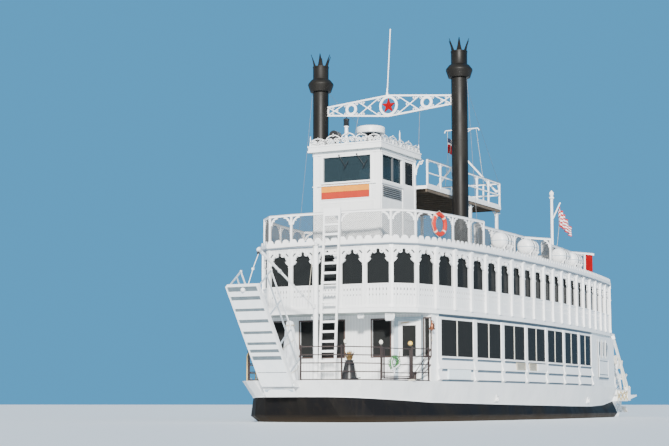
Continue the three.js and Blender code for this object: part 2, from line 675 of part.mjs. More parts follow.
piece('wheelhouse_wall_starboard', cut(houseWall(3), houseSideCuts(-1)), WHITE);
const insideHouse = inset(housePlan, HOUSE.wall + GAP);
piece('wheelhouse_floor', slab(insideHouse, HOUSE.floorZ - 60, HOUSE.floorZ), VARNISH);

const housePaneOuter = inset(housePlan, HOUSE.wall + PANE.back);
const housePaneInner = inset(housePlan, HOUSE.wall + PANE.back + PANE.thick);
const housePanes = slab(housePaneOuter, HOUSE_WINDOW.z0 - 40, HOUSE_WINDOW.z1 + 40, [housePaneInner]);
const behindPanes = block(HOUSE.aftX - 100, HOUSE_WINDOW.sideX0 - 40, -2000, 2000, 0, 12000);
piece('wheelhouse_glass', cut(housePanes, [behindPanes]), GLASS);

const houseLeaf = leaf(HOUSE_DOOR.x1 - HOUSE_DOOR.x0 - DOOR_GAP - GAP, HOUSE_DOOR.z1 - HOUSE_DOOR.z0 - DOOR_GAP,
  HOUSE_DOOR.thick, { side: 90, low: 1300, high: 90 });
for (const [side, name] of [[1, 'port'], [-1, 'starboard']]) {
  const y = side > 0 ? HOUSE.half : -HOUSE.half + HOUSE_DOOR.thick;
  piece(`wheelhouse_door_${name}`, panel(houseLeaf.outline, at(HOUSE_DOOR.x0 + DOOR_GAP, y, HOUSE_DOOR.z0),
    FORWARD, UP, HOUSE_DOOR.thick, [houseLeaf.hole]), WHITE);
}

// Roof with the covered scanner and the lamp post that stand on it
const SCANNER = { x: 9100, y: 115, foot: 170, underSide: 640, radius: 520, shoulder: 850, top: 915 };
const LAMP_POST = { x: 10850, radius: 45, lampFoot: 640, lampRadius: 65, lampTop: 900, top: 950 };
const roofTop = HOUSE.topZ + HOUSE_ROOF.depth;
const scanner = turned([[0, 0], [SCANNER.foot, 0], [SCANNER.foot, SCANNER.underSide],
  [SCANNER.radius, SCANNER.underSide], [SCANNER.radius, SCANNER.shoulder], [SCANNER.radius - 110, SCANNER.top - 20],
  [0, SCANNER.top]], 16);
const lampPost = turned([[0, 0], [LAMP_POST.radius, 0], [LAMP_POST.radius, LAMP_POST.lampFoot],
  [LAMP_POST.lampRadius, LAMP_POST.lampFoot], [LAMP_POST.lampRadius, LAMP_POST.lampTop], [0, LAMP_POST.top]], 8);
piece('wheelhouse_roof', join([
  block(HOUSE_ROOF.aftX, HOUSE_ROOF.frontX, -HOUSE_ROOF.half, HOUSE_ROOF.half, HOUSE.topZ, roofTop),
  scanner.translate([SCANNER.x, SCANNER.y, roofTop]),
  lampPost.translate([LAMP_POST.x, 0, roofTop]),
]), WHITE);

const SEARCHLIGHT = { x: 10780, y: -480, radius: 180, stem: 40 };
piece('searchlight', join([
  turned([[0, 0], [90, 0], [90, 30], [SEARCHLIGHT.stem, 40], [SEARCHLIGHT.stem, 200], [0, 200]], 12),
  rod(at(-160, 0, 350), at(170, 0, 350), SEARCHLIGHT.radius, 16),
]), BLACK, at(SEARCHLIGHT.x, SEARCHLIGHT.y, roofTop + GAP));

// Platform behind the wheelhouse, with its rail and the mast

const PLATFORM_LEGS = { xs: [600, 3400], y: 1690 };
const platformParts = [block(PLATFORM.aftX, PLATFORM.foreX - GAP, -PLATFORM.half, PLATFORM.half,
  PLATFORM.z - PLATFORM.thick, PLATFORM.z)];
for (const y of [PLATFORM_LEGS.y, -PLATFORM_LEGS.y]) {
  for (const x of PLATFORM_LEGS.xs) {
    platformParts.push(bar(at(x, y, DECK_3_Z + GAP), at(x, y, PLATFORM.z - 20), 100));
  }
}
piece('upper_platform', join(platformParts), WHITE);

// The platform's rail: posts on both sides, with two bars that also cross the after end
const PLATFORM_RAIL = { bays: 6, inset: 40, post: 60, foreGap: 100, barZs: [9190, PLATFORM.railZ - 25], bar: 44 };
const platformRail = [];
const platformAftX = PLATFORM.aftX + PLATFORM_RAIL.inset;
const platformForeX = PLATFORM.foreX - PLATFORM_RAIL.foreGap;
const platformRailY = PLATFORM.half - PLATFORM_RAIL.inset;
for (const y of [platformRailY, -platformRailY]) {
  for (let i = 0; i <= PLATFORM_RAIL.bays; i += 1) {
    const x = platformForeX + ((platformAftX - platformForeX) * i) / PLATFORM_RAIL.bays;
    platformRail.push(bar(at(x, y, PLATFORM.z + GAP), at(x, y, PLATFORM.railZ - 10), PLATFORM_RAIL.post));
  }
}
for (const z of PLATFORM_RAIL.barZs) {
  const corners = [[platformForeX, platformRailY], [platformAftX, platformRailY], [platformAftX, -platformRailY],
    [platformForeX, -platformRailY]].map(([x, y]) => at(x, y, z));
  for (let i = 0; i < 3; i += 1) {
    platformRail.push(bar(corners[i], corners[i + 1], PLATFORM_RAIL.bar));
  }
}
piece('platform_rail', join(platformRail), WHITE);
const MAST = { x: 760, y: 230, topZ: 12450, yardZ: 12040, yardHalf: 650, strutZ: 10980 };
// The mast's struts end at the port rail and on the platform: y and z of each foot
const STRUT_FEET = [[1735, 9330], [-1740, PLATFORM.z + 40]];
piece('mast', join([
  rod(at(MAST.x, MAST.y, PLATFORM.z + GAP), at(MAST.x, MAST.y, MAST.topZ), 60, 8, 40),
  rod(at(MAST.x, MAST.y - MAST.yardHalf, MAST.yardZ), at(MAST.x, MAST.y + MAST.yardHalf, MAST.yardZ), 25, 6),
  ...STRUT_FEET.map(([y, z]) => bar(at(MAST.x, MAST.y, MAST.strutZ), at(MAST.x, y, z), 60)),
]), WHITE);

// Stacks, and the truss with its star between them

// The crown of spikes round a funnel's top leans outward, and is turned from the boat's own lines
const SPIKES = { turn: THREE.MathUtils.degToRad(24), count: 6, half: 125, lean: 0.24, length: 500 };

function stack() {
  const r = STACK.radius;
  const c = STACK.collarZ;
  const shell = turned([[0, DECK_3_Z + GAP], [r + 60, DECK_3_Z + GAP], [r + 60, 6330], [r, 6350], [r, c - 300],
    [r + 105, c - 285], [r + 195, c - 5], [r + 180, c + 50], [r, c + 220], [r, STACK.topZ], [r - 40, STACK.topZ],
    [r - 40, STACK.topZ - 400], [0, STACK.topZ - 400]], 16);
  const spikes = Array.from({ length: SPIKES.count }, (_, i) => {
    const angle = SPIKES.turn + (2 * Math.PI * i) / SPIKES.count;
    const out = new THREE.Vector3(Math.cos(angle), Math.sin(angle), 0);
    const along = new THREE.Vector3(-out.y, out.x, 0);
    const foot = out.clone().multiplyScalar(r - 35);
    foot.z = STACK.topZ - 60;
    const up = UP.clone().addScaledVector(out, SPIKES.lean).normalize();
    return panel([[-SPIKES.half, 0], [SPIKES.half, 0], [0, SPIKES.length]], foot, along, up, 30);
  });
  return join([shell, ...spikes]);
}
piece('stack_port', stack(), BLACK, at(STACK.x, STACK.y, 0));
piece('stack_starboard', stack(), BLACK, at(STACK.x, -STACK.y, 0));

const TRUSS_RING = { outer: 345, inner: 300 };
const SMALL_RING = { y: 1600, outer: 185, inner: 145 };

function trussHeight(y) {
  return TRUSS.endHeight + (TRUSS.midHeight - TRUSS.endHeight) * (1 - Math.abs(y) / TRUSS.halfSpan);
}

function ringInTruss(y, outer, inner, sides) {
  const circle = (radius) => Array.from({ length: sides }, (_, i) => {
    const angle = (2 * Math.PI * i) / sides;
    return [y + radius * Math.cos(angle), TRUSS.z + radius * Math.sin(angle)];
  });
  return panel(circle(outer), at(STACK.x - 20, 0, 0), TO_PORT, UP, 40, [circle(inner)]);
}

function truss() {
  const x = STACK.x;
  const high = (y) => at(x, y, TRUSS.z + trussHeight(y) / 2);
  const low = (y) => at(x, y, TRUSS.z - trussHeight(y) / 2);
  const parts = [ringInTruss(0, TRUSS_RING.outer + 45, TRUSS_RING.inner, 20)];
  for (const side of [1, -1]) {
    const end = side * TRUSS.halfSpan;
    const panels = [0.14, 0.5, 0.72, 1].map((share) => share * end);
    parts.push(bar(high(0), high(end), TRUSS.thick), bar(low(0), low(end), TRUSS.thick));
    parts.push(bar(at(x, end - side * 25, TRUSS.z - 190), at(x, end - side * 25, TRUSS.z + 190), 50));
    parts.push(bar(low(panels[0]), high(panels[1]), 34), bar(high(panels[0]), low(panels[1]), 34));
    parts.push(ringInTruss(side * SMALL_RING.y, SMALL_RING.outer + 60, SMALL_RING.inner, 14));
    parts.push(bar(low(panels[2]), high(panels[3]), 34), bar(high(panels[2]), low(panels[3]), 34));
  }
  parts.push(rod(at(x, -60, TRUSS.z + TRUSS.midHeight / 2 - 20), at(x - 60, 60, 14960), 22, 6));
  return join(parts);
}
piece('stack_truss', truss(), WHITE);

function starPoints(radius, waist) {
  return Array.from({ length: 10 }, (_, i) => {
    const angle = Math.PI / 2 + (Math.PI * i) / 5;
    const reach = i % 2 ? waist : radius;
    return [reach * Math.cos(angle), reach * Math.sin(angle)];
  });
}
piece('truss_star', panel(starPoints(TRUSS_RING.inner - GAP, 118), at(STACK.x - 15, 0, TRUSS.z), TO_PORT, UP, 30),
  RED);

// Flagpole at the stern, with its leaning gaff

const FLAGPOLE = { x: -9600, y: 430, radius: 65 };
const GAFF = { footZ: 9250, reach: 1200, rise: 1000 };
piece('flagpole', join([
  turned([[0, DECK_3_Z + GAP], [130, DECK_3_Z + GAP], [130, 6320], [FLAGPOLE.radius, 6340],
    [FLAGPOLE.radius, 10280], [120, 10330], [120, 10380], [60, 10420], [105, 10520], [105, 10600], [0, 10720]], 10),
  rod(at(0, 0, GAFF.footZ), at(-GAFF.reach, 0, GAFF.footZ + GAFF.rise), 35, 6),
]), WHITE, at(FLAGPOLE.x, FLAGPOLE.y, 0));

// Rafts in their racks, outboard of the rail, two racks a side with two rafts in each
const RAFT = { radius: 330, length: 1100, z: 6790, inboard: 380 };
const RAFT_RACKS = { fore: [4780, 2070], aft: [-2180, -4120] };

function raftRack(side, stations) {
  const line = (x) => side * (halfBreadth(x, UPPER_PLAN) - RAFT.inboard);
  const parts = [];
  for (const x of stations) {
    const half = RAFT.length / 2;
    const canister = turned([[0, -half], [200, -half], [RAFT.radius, -half + 90], [RAFT.radius, half - 90],
      [200, half], [0, half]], 10);
    parts.push(canister.rotate([0, 90, 0]).translate([x, line(x), RAFT.z]));
    for (const dx of [-300, 300]) {
      parts.push(block(x + dx - 30, x + dx + 30, line(x) - 260, line(x) + 260, DECK_3_Z + GAP, RAFT.z - 120));
    }
  }
  const [from, to] = stations.map((x) => at(x, line(x), DECK_3_Z + GAP + 25));
  parts.push(bar(from, to, 50));
  return join(parts);
}
for (const [side, name] of [[1, 'port'], [-1, 'starboard']]) {
  piece(`rafts_${name}_fore`, raftRack(side, RAFT_RACKS.fore), WHITE);
  piece(`rafts_${name}_aft`, raftRack(side, RAFT_RACKS.aft), WHITE);
}

// Ladder, king post and boom in front

const ladderX = (z) => LADDER.footX + ((LADDER.topX - LADDER.footX) * (z - DECK_1_Z)) / (LADDER.topZ - DECK_1_Z);
const LADDER_FOOT_Z = DECK_1_Z + 4.9;
const RUNG = { firstUp: 300, pitch: 340, depth: 75, stile: 65, thick: 70 };

// The ladder lies in a leaning plane: u is across to starboard and v is up along it
function ladder() {
  const foot = at(ladderX(LADDER_FOOT_Z), LADDER.y, LADDER_FOOT_Z);
  const head = at(LADDER.topX, LADDER.y, LADDER.topZ);
  const up = head.clone().sub(foot);
  const length = up.length();
  up.normalize();
  const { half } = LADDER;
  const gaps = [];
  let low = RUNG.firstUp - RUNG.pitch + RUNG.depth;
  for (let i = 0; i <= LADDER.rungs; i += 1) {
    const high = Math.min(low + RUNG.pitch - RUNG.depth, length);
    const inner = half - RUNG.stile;
    gaps.push([[-inner, Math.max(low, 40)], [inner, Math.max(low, 40)], [inner, high], [-inner, high]]);
    low = high + RUNG.depth;
  }
  const outline = [[-half, 0], [half, 0], [half, length], [-half, length]];
  return panel(outline, foot, TO_PORT.clone().negate(), up, RUNG.thick, gaps);
}
piece('ladder', ladder(), WHITE);

// The boom's heel turns on a pin between two plates that stand out from the king post, in line with the boom
const HEEL = { reach: 150, past: 40, gap: 32, plate: 30, deep: 150, pin: 28 };
const boomLine = at(BOOM.tipX - KING_POST.x, BOOM.tipY - KING_POST.y, 0).normalize();
const boomAcross = at(-boomLine.y, boomLine.x, 0);
const boomHeel = at(KING_POST.x, KING_POST.y, BOOM.heelZ).addScaledVector(boomLine, HEEL.reach);
const heelPlates = [1, -1].map((side) => {
  const shift = side * (HEEL.gap + HEEL.plate / 2);
  const root = at(KING_POST.x, KING_POST.y, BOOM.heelZ).addScaledVector(boomAcross, shift);
  const tip = boomHeel.clone().addScaledVector(boomLine, HEEL.past).addScaledVector(boomAcross, shift);
  return bar(root, tip, HEEL.plate, HEEL.deep);
});
const HEAD_BRACKET = { aft: 260, fore: 160, half: 30, low: 40, high: 60 };
piece('king_post', join([
  rod(at(KING_POST.x, KING_POST.y, DECK_1_Z + GAP), at(KING_POST.x, KING_POST.y, KING_POST.topZ),
    KING_POST.radius, 12),
  ...heelPlates,
  block(KING_POST.x - HEAD_BRACKET.aft, KING_POST.x + HEAD_BRACKET.fore, KING_POST.y - HEAD_BRACKET.half,
    KING_POST.y + HEAD_BRACKET.half, KING_POST.topZ - HEAD_BRACKET.low, KING_POST.topZ + HEAD_BRACKET.high),
]), WHITE);
piece('boom', join([
  rod(boomHeel, at(BOOM.tipX, BOOM.tipY, BOOM.tipZ), BOOM.heelRadius, 8, BOOM.radius),
  rod(boomHeel.clone().addScaledVector(boomAcross, GAP - HEEL.gap),
    boomHeel.clone().addScaledVector(boomAcross, HEEL.gap - GAP), HEEL.pin, 12),
]), WHITE);

// Landing stage, drawn lying flat from its hinge forward, then raised
const STAGE_PLATE = { from: 150, inset: 20, thick: 30 };
const STAGE_BEAMS = { count: 10, from: 150, end: 60, half: 45 };
const STAGE_SIDE = { width: 60, up: 45 };
const stageParts = [];
for (const side of [1, -1]) {
  const y = side * (STAGE.width - STAGE_SIDE.width) / 2;
  stageParts.push(block(0, STAGE.length, y - STAGE_SIDE.width / 2, y + STAGE_SIDE.width / 2, -STAGE.depth,
    STAGE_SIDE.up));
}
const stageHalf = STAGE.width / 2 - STAGE_PLATE.inset;
stageParts.push(block(STAGE_PLATE.from, STAGE.length, -stageHalf, stageHalf, 0, STAGE_PLATE.thick));
for (let i = 0; i <= STAGE_BEAMS.count; i += 1) {
  const run = STAGE.length - STAGE_BEAMS.end - STAGE_BEAMS.from - STAGE_BEAMS.half;
  const x = STAGE_BEAMS.from + STAGE_BEAMS.half + (run * i) / STAGE_BEAMS.count;
  stageParts.push(block(x - STAGE_BEAMS.half, x + STAGE_BEAMS.half, -stageHalf, stageHalf, 10 - STAGE.depth, 10));
}
// A handrail of two bars stands on each side beam
const STAGE_RAIL = { heights: [650, 970], bar: 38, posts: [450, 1580, 2720, 3860], post: 42, past: 25 };
for (const side of [1, -1]) {
  const y = side * (STAGE.width - STAGE_SIDE.width) / 2;
  for (const x of STAGE_RAIL.posts) {
    stageParts.push(bar(at(x, y, 0), at(x, y, STAGE_RAIL.heights.at(-1) + STAGE_RAIL.past), STAGE_RAIL.post));
  }
  for (const z of STAGE_RAIL.heights) {
    stageParts.push(bar(at(STAGE_RAIL.posts[0], y, z), at(STAGE_RAIL.posts.at(-1), y, z), STAGE_RAIL.bar));
  }
}
const stage = piece('landing_stage', join(stageParts), ALUMINIUM, at(STAGE.hingeX, STAGE.y, STAGE.hingeZ));
stage.rotation.y = THREE.MathUtils.degToRad(-STAGE.angle);

// Bow rails, gate and bitts

const BOW_RAIL = { inset: 110, z: 2500, bars: [1680, 1960, 2230, 2500], post: 45, bar: 35 };
const bowPlanPoint = (distance) => {
  const [x, y] = pointAlong(hullEdge, distance);
  const [x1, y1] = pointAlong(hullEdge, distance + 50);
  const along = new THREE.Vector2(x1 - x, y1 - y).normalize();
  return at(x - along.y * BOW_RAIL.inset, y + along.x * BOW_RAIL.inset, 0);
};
const BOW_POSTS = { port: [370, 1890, 3500, 5100, 6060], starboard: [1050, 1890, 3500, 5100, 6060] };
// The gate closes the port rail between its third and fourth posts, and turns on the third
const GATE_FROM = 2;
const GATE = { stileOff: 55, stile: 18, end: 45, low: 1500, drop: 12, lug: 40, lugThick: 30 };

const raise = (p, z) => at(p.x, p.y, z);

function bowRail(side, gate) {
  const parts = [];
  const points = (side > 0 ? BOW_POSTS.port : BOW_POSTS.starboard).map((distance) => {
    const p = bowPlanPoint(distance);
    p.y *= side;
    return p;
  });
  points.forEach((p) => {
    parts.push(bar(raise(p, DECK_1_Z + GAP), raise(p, BOW_RAIL.z + 20), BOW_RAIL.post));
  });
  for (let i = 0; i + 1 < points.length; i += 1) {
    parts.push(bar(raise(points[i], DECK_1_Z + 25), raise(points[i + 1], DECK_1_Z + 25), 35));
    if (!gate || i !== GATE_FROM) {
      for (const z of BOW_RAIL.bars) {
        parts.push(bar(raise(points[i], z), raise(points[i + 1], z), BOW_RAIL.bar));
      }
    }
  }
  return { parts, points };
}
const bowPort = bowRail(1, true);
const gateFrom = bowPort.points[GATE_FROM];
const gateSpan = bowPort.points[GATE_FROM + 1].clone().sub(gateFrom);
const gateAlong = gateSpan.clone().normalize();
const gatePivot = gateFrom.clone().addScaledVector(gateAlong, GATE.stileOff);
const gateEnd = gateFrom.clone().addScaledVector(gateAlong, gateSpan.length() - GATE.end);
// A lug under and over the gate's hinge stile
const gateLug = (z) => bar(raise(gateFrom, z), raise(gatePivot, z).addScaledVector(gateAlong, GATE.stile),
  GATE.lug, GATE.lugThick);
bowPort.parts.push(gateLug(GATE.low - GAP - GATE.lugThick / 2), gateLug(BOW_RAIL.z + GAP + GATE.lugThick / 2));
piece('bow_rail_port', join(bowPort.parts), BLACK);
piece('bow_rail_starboard', join(bowRail(-1, false).parts), BLACK);

piece('bow_gate', join([
  rod(raise(gatePivot, GATE.low), raise(gatePivot, BOW_RAIL.z), GATE.stile, 12),
  bar(raise(gateEnd, GATE.low), raise(gateEnd, BOW_RAIL.z - 5), 35),
  ...[GATE.low + 60, ...BOW_RAIL.bars].map((z) => bar(raise(gatePivot, z - GATE.drop - 10),
    raise(gateEnd, z - GATE.drop - 10), 30)),
]), BLACK);

// A bollard by each cabin corner
const BITTS = { x: 11480, y: 2955, radius: 58, cap: 76, height: 300, base: 240, baseHalf: 65 };
for (const [side, name] of [[1, 'port'], [-1, 'starboard']]) {
  const foot = DECK_1_Z + GAP;
  piece(`bitts_${name}`, join([
    block(-BITTS.base / 2, BITTS.base / 2, -BITTS.baseHalf, BITTS.baseHalf, foot, foot + 25),
    turned([[0, foot], [BITTS.radius, foot], [BITTS.radius, foot + 220], [BITTS.cap, foot + 240],
      [BITTS.cap, foot + BITTS.height], [0, foot + BITTS.height]], 12),
  ]), BLACK, at(BITTS.x, side * BITTS.y, 0));
}

// Covered winch by the king post
const COVER = { x: 13100, y: -1050 };
piece('winch_cover', turned([[0, DECK_1_Z + GAP], [330, DECK_1_Z + GAP], [250, 2200], [200, 3100], [130, 3420],
  [0, 3480]], 12), CANVAS, at(COVER.x, COVER.y, 0));

// Lifebuoy on the port shoulder rail
const BUOY = { bay: FRONT_TO, forward: 420, ring: 355, tube: 75, z: 6880 };
const buoyBay = bayOf(railPlan, BUOY.bay);
const buoyGeometry = new THREE.TorusGeometry(BUOY.ring, BUOY.tube, 8, 20);
const buoyFrame = new THREE.Matrix4().makeBasis(buoyBay.along, UP, buoyBay.outward.clone());
buoyGeometry.applyMatrix4(buoyFrame);
const buoyOut = RAIL.top / 2 + BUOY.tube + GAP;
const buoyAt = buoyBay.middle.clone().addScaledVector(buoyBay.outward, buoyOut)
  .addScaledVector(buoyBay.along, -BUOY.forward).setZ(BUOY.z);
buoyGeometry.translate(buoyAt.x, buoyAt.y, buoyAt.z);
piece('lifebuoy', solidOf(buoyGeometry), ORANGE);

// Sternwheel and what carries it

const JOURNAL = { radius: 80, bore: 81, sides: 20 };

function wheelBeam(side) {
  const y0 = side > 0 ? BEAM.y0 : -BEAM.y1;
  const y1 = side > 0 ? BEAM.y1 : -BEAM.y0;
  const root = TRANSOM_X - GAP;
  const timber = profileAcross([[root, BEAM.rootLowZ], [root, BEAM.rootTopZ], [BEAM.tipX, BEAM.tipTopZ],
    [BEAM.tipX, BEAM.tipLowZ], [BEAM.tipX + 1500, BEAM.rootLowZ + 40]], y0, y1);
  const bearing = block(WHEEL.x - BEARING.half, WHEEL.x + BEARING.half, y0, y1, BEAM.rootLowZ + 30, BEARING.topZ);
  const brace = bar(at(SECOND_DECK_AFT_X + 50, side * BRACE.y, DECK_2_UNDER_Z - BRACE.size),
    at(BRACE.footX, side * BRACE.y, BEAM.rootTopZ), BRACE.size);
  const bore = rod(at(WHEEL.x, y0 - 50, WHEEL.z), at(WHEEL.x, y1 + 50, WHEEL.z), JOURNAL.bore, JOURNAL.sides);
  return join([timber, bearing, brace]).subtract(bore);
}
piece('wheel_beam_port', wheelBeam(1), WHITE);
piece('wheel_beam_starboard', wheelBeam(-1), WHITE);

const WHEEL_RING = { outer: 1230, inner: 1120, half: 35 };
const WHEEL_HUB = { radius: 330, half: 60, shaft: 150 };
const ARM = { wide: 90, half: 45 };

function sternwheel() {
  const parts = [
    rod(at(0, -BEAM.y1, 0), at(0, BEAM.y1, 0), JOURNAL.radius, JOURNAL.sides),
    rod(at(0, -WHEEL.half - 100, 0), at(0, WHEEL.half + 100, 0), WHEEL_HUB.shaft, 12),
  ];
  const turn = (i) => (2 * Math.PI * i) / WHEEL.buckets;
  for (const y of WHEEL_FRAMES) {
    parts.push(rod(at(0, y - WHEEL_HUB.half, 0), at(0, y + WHEEL_HUB.half, 0), WHEEL_HUB.radius, WHEEL.buckets));
    parts.push(ringAcross(0, 0, WHEEL_RING.outer, WHEEL_RING.inner, y - WHEEL_RING.half, y + WHEEL_RING.half,
      WHEEL.buckets));
    for (let i = 0; i < WHEEL.buckets; i += 1) {
      const reach = WHEEL.radius - 30;
      const out = at(Math.cos(turn(i)), 0, Math.sin(turn(i)));
      parts.push(bar(out.clone().multiplyScalar(WHEEL_HUB.radius - 60).setY(y), out.multiplyScalar(reach).setY(y),
        2 * ARM.half, ARM.wide));
    }
  }
  for (let i = 0; i < WHEEL.buckets; i += 1) {
    const board = new THREE.BoxGeometry(WHEEL.bucketDepth, 2 * WHEEL.half, 45);
    board.translate(WHEEL.radius - WHEEL.bucketDepth / 2, 0, 0);
    board.rotateY(-turn(i));
    parts.push(solidOf(board));
  }
  return join(parts);
}
piece('sternwheel', sternwheel(), WHITE, at(WHEEL.x, 0, WHEEL.z));

// Rudders under the stern rake
for (const [side, name] of [[1, 'port'], [-1, 'starboard']]) {
  const blade = block(-750, 250, -30, 30, RUDDER.bottomZ, RUDDER.topZ);
  const stock = rod(at(0, 0, RUDDER.topZ - 50), at(0, 0, RUDDER.stockTopZ), RUDDER.stock, RUDDER.sides);
  piece(`rudder_${name}`, join([blade, stock]), BLACK, at(RUDDER.x, side * RUDDER.y, 0));
}

// Flags, hanging slack
const STERN_FLAG = [[-10620, 10056], [-10600, 9330], [-12300, 8900], [-12350, 9200], [-11400, 9650]];
const FLAG_THICK = 60;
piece('stern_flag', profileAcross([...STERN_FLAG].reverse(), FLAGPOLE.y - FLAG_THICK / 2,
  FLAGPOLE.y + FLAG_THICK / 2), RED);

export default boat;
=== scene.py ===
# %% [markdown]
# # A sternwheel paddle boat
#
# This is an excursion boat about thirty metres long, with a pierced arcade round its upper deck, a
# wheelhouse, two black funnels and a paddle wheel behind. The solid frame comes first, and everything
# made here is set on it in metres: +X is forward, +Y is port and the water is at z = 0.

# %% Load the frame
import math

import bmesh
import bpy
from mathutils import Matrix, Vector
from mathutils.geometry import tessellate_polygon


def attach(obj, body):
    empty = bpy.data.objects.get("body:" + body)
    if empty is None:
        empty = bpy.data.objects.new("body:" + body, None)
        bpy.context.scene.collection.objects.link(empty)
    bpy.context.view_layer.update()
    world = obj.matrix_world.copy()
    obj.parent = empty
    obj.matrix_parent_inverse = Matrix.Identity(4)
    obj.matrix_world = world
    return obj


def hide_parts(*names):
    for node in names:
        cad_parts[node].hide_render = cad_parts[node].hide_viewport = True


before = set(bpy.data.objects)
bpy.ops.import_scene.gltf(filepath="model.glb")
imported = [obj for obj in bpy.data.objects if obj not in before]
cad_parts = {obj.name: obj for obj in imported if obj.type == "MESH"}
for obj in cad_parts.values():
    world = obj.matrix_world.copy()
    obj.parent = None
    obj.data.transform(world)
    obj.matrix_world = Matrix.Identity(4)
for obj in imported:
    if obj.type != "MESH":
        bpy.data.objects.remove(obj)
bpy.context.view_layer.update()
UP = Vector((0, 0, 1))
FORWARD = Vector((1, 0, 0))
PORT = Vector((0, 1, 0))

# %% [markdown]
# ## Camera, water line and light
#
# The camera stands far off the port bow with its eye 0.6 m above the water, so every deck shows its
# underside. A long lens keeps the decks nearly parallel. The floor lies at the waterline, as the water
# would, and hides the part of the hull that is under it.

# %% Camera
CAMERA_AT = Vector((60.254, 25.502, 0.615))
LOOK = Vector((-0.87912, -0.46244, 0.11534))
LENS_MM = 83.81

camera_data = bpy.data.cameras.new("camera")
camera_data.sensor_width = 36.0
camera_data.lens = LENS_MM
camera_data.clip_end = 2000.0
camera = bpy.data.objects.new("camera", camera_data)
bpy.context.scene.collection.objects.link(camera)
camera.location = CAMERA_AT
camera.rotation_euler = LOOK.to_track_quat("-Z", "Y").to_euler()
bpy.context.scene.camera = camera
print("camera at", tuple(CAMERA_AT), "lens", LENS_MM)

# %% Floor
floor_mesh = bpy.data.meshes.new("floor")
reach = 900.0
floor_mesh.from_pydata([(-reach, -reach, 0), (reach, -reach, 0), (reach, reach, 0), (-reach, reach, 0)], [],
                       [(0, 1, 2, 3)])
floor = bpy.data.objects.new("floor", floor_mesh)
bpy.context.scene.collection.objects.link(floor)
floor_finish = bpy.data.materials.new("pale_floor")
floor_finish.use_nodes = True
floor_finish.node_tree.nodes["Principled BSDF"].inputs["Base Color"].default_value = (0.80, 0.83, 0.85, 1)
floor_finish.node_tree.nodes["Principled BSDF"].inputs["Roughness"].default_value = 0.6
floor_mesh.materials.append(floor_finish)
print("floor at the waterline")

# %% [markdown]
# The sun stands low and a little to port of the bow, so the front is bright, the decks throw short shadows
# on the walls under them and the port side is lit at a slant. One large soft sun does that. The world is
# blue astern and paler ahead, so that the white boat stands out against it and its shaded sides are still
# filled with soft light.

# %% Light
SUN_FROM = Vector((0.790, 0.400, 0.280))

sun_data = bpy.data.lights.new("sun", "SUN")
sun_data.energy = 8.6
sun_data.angle = math.radians(4)
sun_data.color = (1.0, 0.965, 0.91)
sun = bpy.data.objects.new("sun", sun_data)
bpy.context.scene.collection.objects.link(sun)
sun.rotation_euler = SUN_FROM.to_track_quat("Z", "Y").to_euler()

sky = bpy.data.worlds.new("sky")
bpy.context.scene.world = sky
sky.use_nodes = True
sky_nodes, sky_links = sky.node_tree.nodes, sky.node_tree.links
background = sky_nodes["Background"]
background.inputs["Strength"].default_value = 1.3
ASTERN_BLUE = (0.070, 0.300, 0.560, 1)
AHEAD_PALE = (0.54, 0.60, 0.66, 1)
ramp = sky_nodes.new("ShaderNodeValToRGB")
ramp.color_ramp.elements[0].position = 0.36
ramp.color_ramp.elements[0].color = ASTERN_BLUE
ramp.color_ramp.elements[1].position = 0.62
ramp.color_ramp.elements[1].color = AHEAD_PALE
split = sky_nodes.new("ShaderNodeSeparateXYZ")
lift = sky_nodes.new("ShaderNodeMapRange")
lift.inputs["From Min"].default_value = -1.0
coords = sky_nodes.new("ShaderNodeTexCoord")
sky_links.new(coords.outputs["Generated"], split.inputs[0])
sky_links.new(split.outputs["X"], lift.inputs["Value"])
sky_links.new(lift.outputs["Result"], ramp.inputs["Fac"])
sky_links.new(ramp.outputs["Color"], background.inputs["Color"])
print("sun and sky set")

# %% [markdown]
# ## Shaping helpers
#
# Nearly all of the trim on such a boat is sawn board, bent strip or round bar. Four small builders make
# those: a square beam, a round tube along a path, a sawn plate with holes, and a turned shape. Each adds
# to a mesh that is still open, so that one piece can gather many repeats.

# %% Beam and block
def beam(mesh, start, end, wide, deep=None, over=UP):
    """A square bar from start to end. wide is across, deep is along the side that faces over."""
    start, end = Vector(start), Vector(end)
    deep = wide if deep is None else deep
    along = (end - start).normalized()
    across = over.cross(along)
    if across.length < 1e-3:
        across = PORT.cross(along)
    across.normalize()
    top = along.cross(across)
    ring = []
    for centre in (start, end):
        for s, t in ((-1, -1), (1, -1), (1, 1), (-1, 1)):
            ring.append(mesh.verts.new(centre + across * (s * wide / 2) + top * (t * deep / 2)))
    for face in ((0, 3, 2, 1), (4, 5, 6, 7), (0, 1, 5, 4), (1, 2, 6, 5), (2, 3, 7, 6), (3, 0, 4, 7)):
        mesh.faces.new([ring[i] for i in face])


def block(mesh, low, high):
    """A box between two corners."""
    middle = (Vector(low) + Vector(high)) / 2
    start, end = middle.copy(), middle.copy()
    start.x, end.x = low[0], high[0]
    beam(mesh, start, end, high[1] - low[1], high[2] - low[2])


